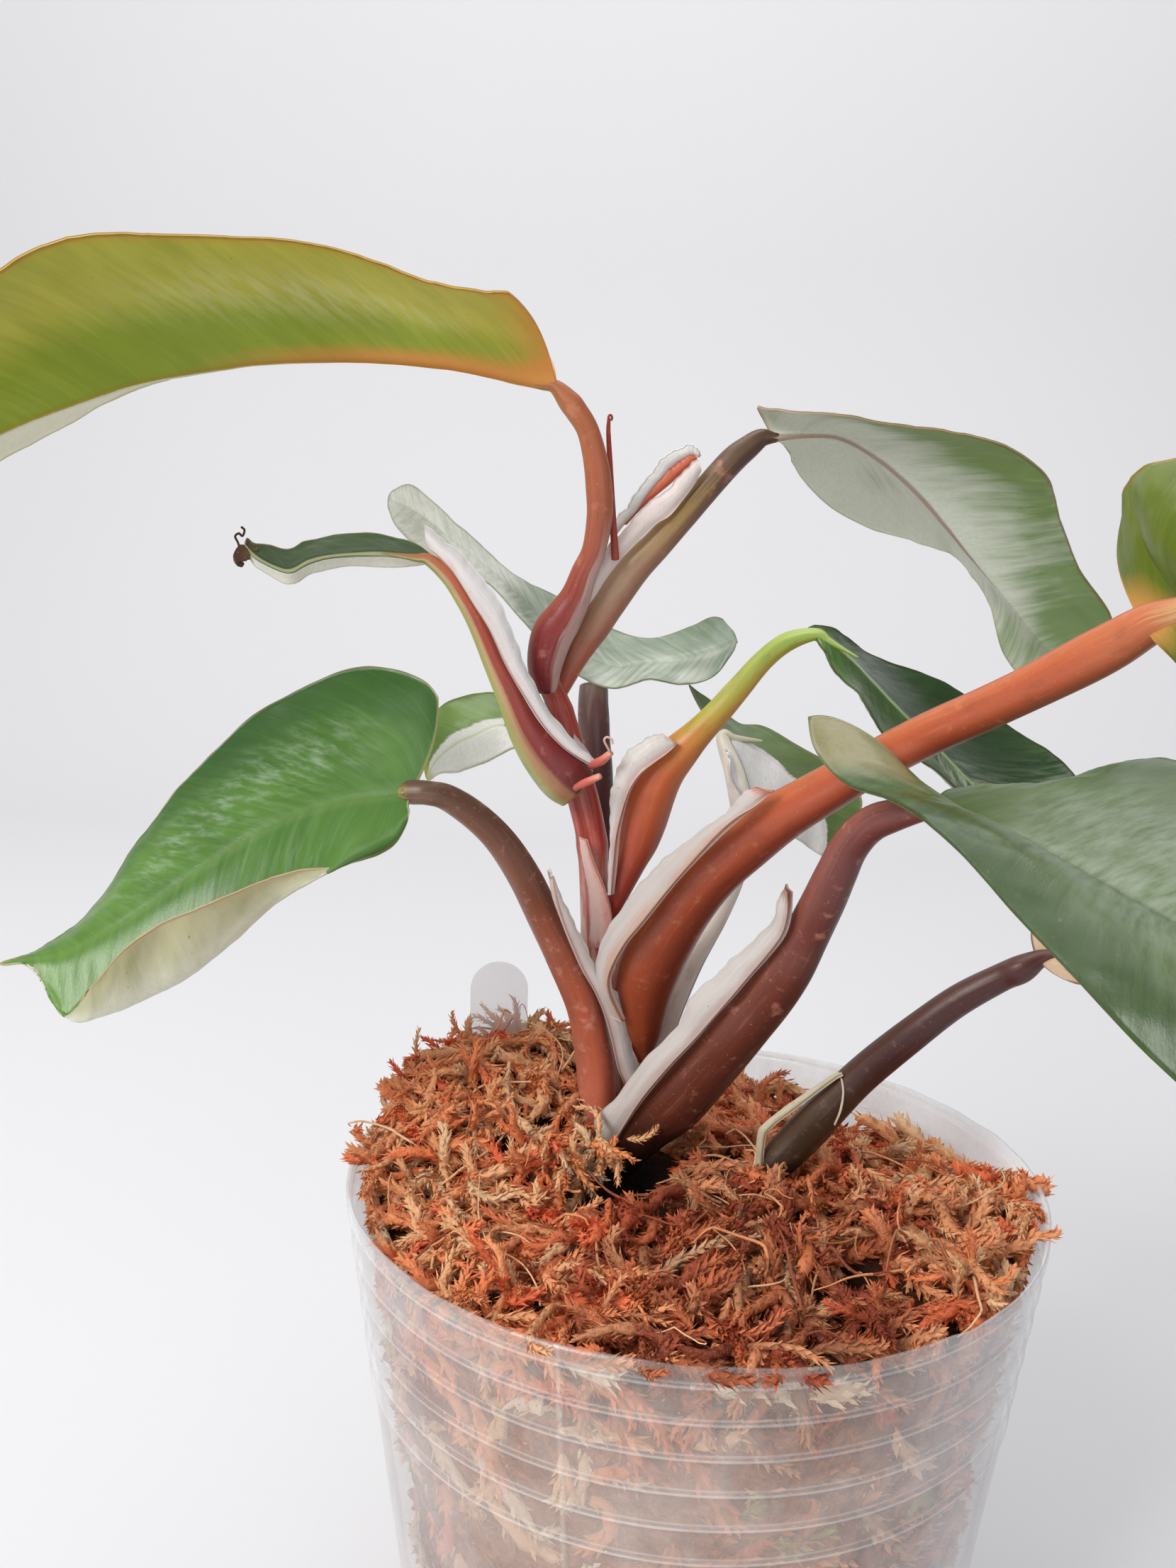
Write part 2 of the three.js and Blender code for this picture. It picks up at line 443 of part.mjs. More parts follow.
// A thin curved sheet of even thickness: a flat box bent onto the blade surface.
function bladeGeometry(spec, grow = 0, nu = 12, nvHalf = 2) {
  const rows = spec.rows.map((r) => r.map(V));
  const cols = rows[0].length;
  if (grow > 0) {
    for (const r of rows) {
      for (const [edge, mid] of [[0, 1], [cols - 1, cols - 2]]) {
        const d = r[edge].clone().sub(r[mid]);
        if (d.length() > 0.05) r[edge].addScaledVector(d.normalize(), grow * 1.1);
      }
    }
    for (const [end, next] of [[0, 1], [rows.length - 1, rows.length - 2]]) {
      const mid = Math.floor(cols / 2);
      const d = rows[end][mid].clone().sub(rows[next][mid]).normalize().multiplyScalar(grow);
      for (const q of rows[end]) q.add(d);
    }
  }
  const lines = [];
  for (let c = 0; c < cols; c++) {
    lines.push(new THREE.CatmullRomCurve3(rows.map((r) => r[c]), false, 'centripetal'));
  }
  const nv = nvHalf * (cols - 1);
  const surface = (u, v) => {
    const q = lines.map((l) => {
      const f = u * (rows.length - 1);
      return l.getPoint(f / (rows.length - 1));
    });
    const f = v * (cols - 1);
    const i = Math.min(cols - 2, Math.floor(f));
    const s = f - i;
    if (cols > 3) {
      return new THREE.CatmullRomCurve3(q, false, 'centripetal').getPoint(v);
    }
    return q[i].clone().lerp(q[i + 1], s);
  };
  const at = (u, v) => {
    const p0 = surface(u, v);
    const e = 2e-3;
    const du = surface(Math.min(1, u + e), v).sub(surface(Math.max(0, u - e), v));
    const vc = THREE.MathUtils.clamp(v, 0.02, 0.98);
    const dv = surface(u, Math.min(1, vc + 0.02)).sub(surface(u, Math.max(0, vc - 0.02)));
    const N = new THREE.Vector3().crossVectors(du, dv);
    if (N.lengthSq() < 1e-18) N.set(0, 0, 1);
    N.normalize();
    if (cols === 3) {
      const half = v < 0.5 ? 0 : 1;
      const s = v < 0.5 ? v * 2 : v * 2 - 1;
      const w = surface(u, half ? 1 : 0).distanceTo(surface(u, 0.5));
      p0.addScaledVector(N, spec.cup[half] * w * 4 * s * (1 - s));
    }
    return { p0, N };
  };
  const g = new THREE.BoxGeometry(1, 1, 1, nu, nv, 1);
  const p = g.getAttribute('position');
  const half = BLADE_T / 2 + grow;
  for (let i = 0; i < p.count; i++) {
    const u = THREE.MathUtils.clamp(p.getX(i) + 0.5, 0, 1);
    const v = THREE.MathUtils.clamp(p.getY(i) + 0.5, 0, 1);
    const { p0, N } = at(u, v);
    p0.addScaledVector(N, Math.sign(p.getZ(i)) * half);
    p.setXYZ(i, p0.x, p0.y, p0.z);
  }
  return g;
}

// ---------- cup ----------
const wallR = (z) => CUP_FOOT_R + (CUP_TOP_R - CUP_FOOT_R) * (z / CUP_TOP_RIB_Z);

function cupSolid() {
  const outer = [[0, 0], [wallR(0) - CUP_HEEL, 0], [wallR(CUP_HEEL), CUP_HEEL], [wallR(30), 30]];
  for (let k = RIB_COUNT - 1; k >= 0; k--) {
    const z = CUP_TOP_RIB_Z - k * RIB_PITCH;
    outer.push([wallR(z) - 0.12, z - RIB_HALF], [wallR(z) + RIB_OUT, z - 0.2]);
    if (k > 0) outer.push([wallR(z) + RIB_OUT * 0.6, z + 0.35], [wallR(z) + 0.1, z + RIB_HALF]);
  }
  outer.push([wallR(CUP_RIM_Z) + 0.1, CUP_RIM_Z]);
  const inner = [
    [wallR(CUP_RIM_Z) - CUP_WALL, CUP_RIM_Z],
    [wallR(60) - CUP_WALL, 60],
    [wallR(CUP_FLOOR + CUP_HEEL) - CUP_WALL, CUP_FLOOR + CUP_HEEL],
    [wallR(CUP_FLOOR) - CUP_WALL - CUP_HEEL, CUP_FLOOR],
    [0, CUP_FLOOR],
  ];
  const profile = [...outer, ...inner].map(([r, z]) => new THREE.Vector2(r, z));
  const lathe = new THREE.LatheGeometry(profile, SEGMENTS);
  lathe.rotateX(Math.PI / 2);
  // The rim was cut by hand, so it rises and falls a little round the cup.
  const p = lathe.getAttribute('position');
  for (let i = 0; i < p.count; i++) {
    if (p.getZ(i) > CUP_RIM_Z - 0.01) {
      const a = Math.atan2(p.getY(i), p.getX(i));
      p.setZ(i, p.getZ(i) - 0.45 * Math.sin(a) + 0.2 * Math.sin(3 * a + 1) + 0.12 * Math.sin(7 * a));
    }
  }
  let solid = toManifold(lathe);
  for (let k = 0; k < DRAIN_COUNT; k++) {
    const a = (k / DRAIN_COUNT) * Math.PI * 2 + 0.3;
    const hole = new THREE.CylinderGeometry(DRAIN_R, DRAIN_R, 6, 14);
    hole.rotateX(Math.PI / 2);
    hole.translate(DRAIN_RING * Math.cos(a), DRAIN_RING * Math.sin(a), 0);
    solid = solid.subtract(toManifold(hole));
  }
  return solid;
}

// ---------- moss ----------
const bump = (x, y, cx, cy, r, h) => h * Math.exp(-((x - cx) ** 2 + (y - cy) ** 2) / (2 * r * r));
function mossTop(x, y) {
  return 85.6
    + bump(x, y, -30, 12, 11, 10.5)
    + bump(x, y, -22, 27, 9, 5.5)
    + bump(x, y, -8, 4, 15, 2.6)
    + bump(x, y, 22, -14, 14, 2.4)
    + bump(x, y, -6, -30, 12, 1.2)
    - bump(x, y, 26, 32, 14, 7.5)
    - bump(x, y, -8.5, 0.5, 4.8, 4.4)
    - bump(x, y, 20, -23.5, 2.8, 2.6)
    + 0.9 * Math.sin(0.45 * x + 1.3) * Math.sin(0.5 * y + 0.4);
}
function mossSolid() {
  const z0 = CUP_FLOOR + 0.4;
  const inR = (z) => wallR(z) - CUP_WALL - 0.35;
  const rings = [0.97, 0.86, 0.74, 0.6, 0.45, 0.3, 0.15];
  const profile = [[0, z0], [inR(z0) - CUP_HEEL - 0.3, z0], [inR(4), 4], [inR(30), 30], [inR(58), 58], [inR(76), 76]];
  const TOP = 100;
  for (const k of [1, ...rings]) profile.push([k * inR(84), TOP + (1 - k)]);
  profile.push([0, TOP + 1]);
  const lathe = new THREE.LatheGeometry(profile.map(([r, z]) => new THREE.Vector2(r, z)), SEGMENTS);
  lathe.rotateX(Math.PI / 2);
  const p = lathe.getAttribute('position');
  for (let i = 0; i < p.count; i++) {
    if (p.getZ(i) > TOP - 0.5) {
      const z = mossTop(p.getX(i), p.getY(i));
      const r = Math.hypot(p.getX(i), p.getY(i));
      const f = r > inR(z) ? inR(z) / r : 1;
      p.setXYZ(i, p.getX(i) * f, p.getY(i) * f, z);
    }
  }
  return toManifold(lathe);
}

// ---------- plant label ----------
function labelGeometry(grow = 0) {
  const w = LABEL.w / 2 + grow;
  const shape = new THREE.Shape();
  const zt = LABEL.z1 + grow - w;
  shape.moveTo(-w, LABEL.z0 + 6);
  shape.lineTo(0, LABEL.z0 - grow);
  shape.lineTo(w, LABEL.z0 + 6);
  shape.lineTo(w, zt);
  shape.absarc(0, zt, w, 0, Math.PI, false);
  shape.closePath();
  const t = LABEL.t + 2 * grow;
  const g = new THREE.ExtrudeGeometry(shape, { depth: t, bevelEnabled: false, curveSegments: 8 });
  g.translate(0, 0, -t / 2);
  g.rotateX(Math.PI / 2);
  g.rotateZ(LABEL.turn);
  g.translate(LABEL.x, LABEL.y, 0);
  return g;
}

// ---------- assembly ----------
const group = new THREE.Group();
const placed = [];   // clearance solids of the pieces already set
const mat = (color, roughness, extra = {}) =>
  new THREE.MeshStandardMaterial({ color, roughness, metalness: 0, ...extra });

function boxesMeet(a, b) {
  const p = a.boundingBox();
  const q = b.boundingBox();
  return [0, 1, 2].every((k) => p.min[k] < q.max[k] && q.min[k] < p.max[k]);
}

function put(name, solid, clearance, material) {
  let s = solid;
  for (const other of placed) {
    if (boxesMeet(s, other)) s = s.subtract(other);
  }
  s = largestBody(s).simplify(0.02);
  const mesh = new THREE.Mesh(toGeometry(s), material);
  mesh.name = name;
  group.add(mesh);
  if (clearance) placed.push(clearance);
  return s;
}

const COLOURS = {
  leaf_stalk_1: '#a8532f', leaf_stalk_2: '#8d5a45', leaf_stalk_3: '#a04a38', leaf_stalk_4: '#a5482f',
  leaf_stalk_5: '#a9512f', leaf_stalk_6: '#7c3f38', leaf_stalk_7: '#4f2a2c', leaf_stalk_8: '#7d4b3e',
  leaf_stalk_9: '#54302c', leaf_stalk_10: '#7a5a3a', leaf_stalk_11: '#c9b3a4',
  leaf_1: '#8d9a2c', leaf_2: '#8fa58a', leaf_3: '#3f5f3a', leaf_4: '#6d7a24', leaf_5: '#2f5b2c',
  leaf_6: '#6d9a6c', leaf_7: '#4d7a40', leaf_8: '#3f7a34', leaf_9: '#9fb3a2', leaf_10: '#7fa64f', leaf_11: '#6f9a63',
};

const potSolid = cupSolid();
{
  const m = mat('#e9edf0', 0.25, { transparent: true, opacity: 0.35 });
  const mesh = new THREE.Mesh(toGeometry(potSolid.simplify(0.005)), m);
  mesh.name = 'nursery_cup';
  group.add(mesh);
}

put('plant_label', toManifold(labelGeometry()), toManifold(labelGeometry(GAP)), mat('#eeeeee', 0.5));
put('stem', toManifold(stalkGeometry(STEM)), toManifold(stalkGeometry(STEM, GAP)), mat('#b9847c', 0.5));

const stalkOrder = [6, 4, 8, 5, 3, 2, 1, 7, 11, 9, 10];
for (const k of stalkOrder) {
  const name = `leaf_stalk_${k}`;
  put(name, toManifold(stalkGeometry(STALKS[name])), toManifold(stalkGeometry(STALKS[name], GAP)), mat(COLOURS[name], 0.45));
}
put('dried_sheath_tip', toManifold(stalkGeometry(DRIED_TIP, 0, 8)), toManifold(stalkGeometry(DRIED_TIP, GAP, 8)), mat('#8a2e22', 0.6));
put('root_stub_a', toManifold(stalkGeometry(ROOT_STUB_A, 0, 8)), toManifold(stalkGeometry(ROOT_STUB_A, GAP, 8)), mat('#c4615a', 0.6));
put('root_stub_b', toManifold(stalkGeometry(ROOT_STUB_B, 0, 8)), toManifold(stalkGeometry(ROOT_STUB_B, GAP, 8)), mat('#c4615a', 0.6));
for (const k of [8, 6, 4, 1, 2, 5, 3, 7, 9, 11, 10]) {
  const name = `leaf_${k}`;
  put(name, toManifold(bladeGeometry(BLADES[name])), toManifold(bladeGeometry(BLADES[name], GAP)), mat(COLOURS[name], 0.4));
}
put('sphagnum_moss', mossSolid(), null, mat('#b5713f', 0.9));

export default group;
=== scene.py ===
# Potted white knight philodendron: the look of the plant, its moss and its clear cup.
# Everything is in metres in the shared frame: +Z up, origin at the centre of the cup's underside.
import math

import bpy
import numpy as np
from mathutils import Matrix, Vector


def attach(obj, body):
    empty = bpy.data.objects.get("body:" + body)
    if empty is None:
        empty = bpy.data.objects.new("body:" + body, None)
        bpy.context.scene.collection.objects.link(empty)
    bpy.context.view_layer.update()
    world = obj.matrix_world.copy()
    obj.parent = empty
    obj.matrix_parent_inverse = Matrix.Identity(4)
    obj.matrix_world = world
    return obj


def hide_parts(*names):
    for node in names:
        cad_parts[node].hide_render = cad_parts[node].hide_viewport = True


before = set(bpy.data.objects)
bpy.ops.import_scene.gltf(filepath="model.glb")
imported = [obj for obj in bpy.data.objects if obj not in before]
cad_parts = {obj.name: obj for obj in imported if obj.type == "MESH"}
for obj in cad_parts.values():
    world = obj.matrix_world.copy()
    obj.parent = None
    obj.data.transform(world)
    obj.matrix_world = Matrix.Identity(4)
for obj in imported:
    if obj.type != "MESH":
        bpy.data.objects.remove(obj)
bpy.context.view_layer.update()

MM = 0.001

# ------------------------------------------------------------------ guide data (mm)
# stalk cores: [x, y, z, half width, half thickness]
CORES = {
    "leaf_stalk_1": [
        [-22.38, 10.3, 148.68, 1.5, 1.35],
        [-22.49, 9.8, 152.21, 2.37, 2.13],
        [-21.6, 9.4, 156, 2.77, 2.49],
        [-20.13, 9, 158.48, 2.48, 2.23],
        [-18.6, 8.6, 161.31, 2.01, 1.81],
        [-17.52, 8, 164.45, 1.68, 1.51],
        [-16.28, 7.4, 167.38, 1.53, 1.38],
        [-15.62, 6.6, 171.57, 1.65, 1.48],
        [-15.76, 6, 174.97, 1.64, 1.47],
        [-16.27, 5.6, 178.4, 1.54, 1.39],
        [-17.31, 5.2, 182.04, 1.4, 1.26],
        [-18.76, 5, 184.28, 1.4, 1.26],
        [-19.75, 5, 185.44, 1.39, 1.26],
        [-20.92, 5, 186.68, 1.39, 1.25],
        [-22.08, 5, 187.33, 1.22, 1.1],
    ],
    "leaf_stalk_2": [
        [-20.77, 12, 148.04, 0.94, 0.8],
        [-19.26, 12, 151.8, 1.5, 1.28],
        [-17.83, 12, 154.96, 1.97, 1.67],
        [-16.4, 12, 157.44, 2.24, 1.9],
        [-14.72, 12, 160.29, 2.32, 1.97],
        [-11.53, 12, 164.9, 2.17, 1.84],
        [-8.61, 12.2, 168.09, 1.98, 1.68],
        [-5.82, 12.5, 171.42, 1.83, 1.56],
        [-3.22, 13, 174.55, 1.74, 1.48],
        [0.4, 14, 178.87, 1.74, 1.48],
        [2.58, 14.6, 180.81, 1.51, 1.28],
        [4.25, 15, 182.02, 1.23, 1.05],
        [5.68, 15, 182.41, 1, 0.85],
    ],
    "leaf_stalk_3": [
        [-37.22, 3.6, 165.96, 1.07, 0.8],
        [-36.22, 4, 165.54, 1.07, 0.8],
        [-34.39, 4, 163.74, 1.07, 0.81],
        [-32.55, 4.5, 161.01, 1.12, 0.84],
        [-30.77, 5, 157.89, 1.27, 0.95],
        [-28.44, 5.8, 152.53, 1.55, 1.16],
        [-26.41, 6.3, 148.31, 1.93, 1.45],
        [-24.38, 7, 143.91, 2.5, 1.87],
        [-22.04, 7.5, 140.54, 3.07, 2.3],
        [-19.68, 8, 137.9, 3.55, 2.66],
        [-17.72, 8.5, 136.17, 3.09, 2.32],
    ],
    "leaf_stalk_4": [
        [-7.53, 7.6, 100.56, 1.74, 1.48],
        [-7.89, 7, 103.33, 2.59, 2.2],
        [-8.15, 6.5, 106.24, 3.34, 2.84],
        [-7.95, 5.5, 109.92, 3.97, 3.37],
        [-7.16, 4, 113.94, 4.29, 3.65],
        [-5.67, 2.5, 117.93, 4.24, 3.6],
        [-2.8, 0, 123.61, 3.97, 3.37],
        [0.58, -3, 128.98, 3.7, 3.14],
        [4.43, -6, 133.54, 3.44, 2.92],
        [8.54, -10, 138.01, 3, 2.55],
        [13.36, -14, 142.3, 2.67, 2.27],
        [18.12, -19, 146.74, 2.37, 2.02],
        [22.92, -23.5, 150.69, 2.29, 1.94],
        [27.36, -28, 154.05, 2.27, 1.93],
        [31.09, -32.5, 157.2, 2.26, 1.92],
        [34.57, -36.5, 160.3, 2.32, 1.97],
        [36.65, -39, 162.25, 2.23, 1.9],
        [38.42, -41, 163.81, 1.87, 1.59],
    ],
    "leaf_stalk_5": [
        [-12.52, 9.5, 118.59, 0.86, 0.73],
        [-11.76, 9.2, 122.3, 1.62, 1.38],
        [-10.45, 9, 126.26, 2.18, 1.85],
        [-9.51, 9, 129.14, 2.74, 2.33],
        [-8.78, 9, 132.37, 3.1, 2.64],
        [-7.7, 9, 136.27, 3.18, 2.7],
        [-6.23, 9, 139.2, 2.89, 2.46],
        [-4.1, 9, 141.85, 2.41, 2.05],
        [-2.07, 8.8, 144.23, 1.99, 1.69],
        [0.29, 8.4, 147.01, 1.7, 1.44],
        [2.86, 8, 150.32, 1.55, 1.32],
        [5.88, 7, 154.3, 1.35, 1.15],
        [8.72, 5.5, 156.91, 1.2, 1.02],
        [11.89, 4, 158.33, 1.06, 0.9],
    ],
    "leaf_stalk_6": [
        [-9.49, 5, 83.97, 1.65, 1.4],
        [-8.8, 4.5, 87.4, 2.79, 2.37],
        [-6.29, 3, 91.9, 3.71, 3.15],
        [-2.97, 1, 96.09, 4.02, 3.42],
        [1.31, -2, 103.2, 3.92, 3.33],
        [4.47, -5, 108.64, 3.74, 3.18],
        [7.79, -8, 114.54, 3.43, 2.91],
        [10.12, -11, 119.71, 3.09, 2.63],
        [11.84, -13, 124.34, 2.75, 2.33],
        [13.28, -15.5, 129.04, 2.52, 2.15],
        [14.47, -17.5, 133.27, 2.32, 1.97],
        [15.63, -19.5, 137.12, 2.16, 1.84],
        [17.35, -22, 140.13, 1.96, 1.67],
        [19.6, -25, 142.02, 1.73, 1.47],
        [22.56, -28.5, 143.48, 1.39, 1.18],
    ],
    "leaf_stalk_7": [
        [9.35, 0, 86.1, 1.59, 1.51],
        [10.85, 0, 89.04, 2.33, 2.21],
        [13.94, 0, 93.08, 2.59, 2.46],
        [17.4, -1, 98.14, 2.47, 2.35],
        [21.29, -2, 103.41, 2.26, 2.14],
        [26.6, -4, 109.81, 2.12, 2.02],
        [31.28, -5, 114.57, 1.92, 1.82],
        [35.92, -6, 118.14, 1.72, 1.64],
        [38.1, -7, 119.79, 1.71, 1.62],
        [40.02, -7.5, 121.42, 1.61, 1.53],
    ],
    "leaf_stalk_8": [
        [-13.21, 8.5, 87.26, 1.77, 1.6],
        [-13.37, 8, 90.64, 2.45, 2.2],
        [-13.79, 7.8, 95.41, 2.58, 2.32],
        [-14.25, 7.2, 99.66, 2.61, 2.35],
        [-15.65, 5.5, 107.03, 2.43, 2.18],
        [-18.3, 3.5, 114.22, 2.34, 2.11],
        [-20.82, 1.5, 120.33, 2.26, 2.03],
        [-23.1, -1, 126.13, 2.12, 1.91],
        [-25.89, -3, 131.13, 2, 1.8],
        [-28.83, -5, 134.73, 1.84, 1.66],
        [-32.03, -7, 137.43, 1.65, 1.48],
        [-34.24, -8.2, 138.19, 1.51, 1.36],
        [-36.43, -8.6, 138.17, 1.29, 1.16],
    ],
    "leaf_stalk_9": [
        [-11.08, 17, 87.81, 1.74, 1.57],
        [-11.87, 18.5, 95.86, 1.95, 1.75],
        [-13.07, 20, 103.88, 2.05, 1.84],
        [-14.3, 22, 114.94, 2.05, 1.84],
        [-15.53, 24, 125.98, 2.05, 1.84],
        [-16.49, 26, 134.93, 2.15, 1.93],
        [-17.14, 27, 139.93, 2.25, 2.03],
        [-17.56, 28, 143.9, 2.25, 2.03],
        [-17.68, 29.5, 147, 2.06, 1.85],
    ],
    "leaf_stalk_10": [
        [-14.22, 16, 112.07, 1, 0.9],
        [-15.13, 18, 119.74, 1.2, 1.08],
        [-16.28, 19.5, 127.03, 1.2, 1.08],
        [-18.77, 20.5, 133.35, 1.2, 1.08],
        [-21.36, 21, 138.22, 1.2, 1.08],
        [-23.27, 20.5, 140.75, 0.99, 0.89],
    ],
    "leaf_stalk_11": [
        [-7.2, 7, 92.59, 1.65, 1.48],
        [-6.52, 8.5, 98.2, 2.04, 1.84],
        [-4.91, 10, 104.93, 2.23, 2.01],
        [-2.35, 13, 111.2, 2.15, 1.94],
        [1.23, 16, 117.63, 1.97, 1.77],
        [3.7, 19, 123.59, 1.79, 1.61],
        [4.62, 22, 129.57, 1.65, 1.49],
        [3.34, 24.5, 135.65, 1.51, 1.36],
        [1.1, 26, 140.4, 1.31, 1.18],
    ],
}
STEM = [
    [-11.9, 11, 81.9, 2.51, 2.25],
    [-12.2, 11, 86.2, 2.99, 2.69],
    [-12.6, 11, 92.5, 3.07, 2.77],
    [-13.4, 11, 98.8, 2.86, 2.57],
    [-14.1, 11, 107.1, 2.54, 2.29],
    [-14.6, 11, 114.2, 2.23, 2.01],
    [-15.3, 11, 123.2, 2.02, 1.82],
    [-15.9, 11.5, 129, 2.11, 1.9],
    [-17.2, 11.5, 134.3, 2.19, 1.97],
    [-18.7, 11.5, 139.1, 2.09, 1.88],
    [-19.8, 11.5, 143.4, 1.89, 1.7],
    [-21, 11.5, 147.2, 1.6, 1.44],
]
DRIED_TIP = [
    [-13.6, 8.5, 166.2, 0.45, 0.45],
    [-14.2, 8.5, 172.4, 0.45, 0.45],
    [-14.7, 8.5, 178.3, 0.4, 0.4],
    [-15, 8.5, 182, 0.36, 0.36],
    [-15, 8.5, 183.5, 0.36, 0.36],
]
ROOT_A = [
    [-15.7, 6.5, 139.7, 0.42, 0.42],
    [-14.3, 4.5, 140.8, 0.5, 0.5],
    [-13, 3, 142.1, 0.41, 0.41],
]
ROOT_B = [
    [-17.4, 3.2, 137.3, 0.36, 0.36],
    [-15.8, 1.8, 138.5, 0.45, 0.45],
    [-14.1, 0.6, 139.5, 0.4, 0.4],
]
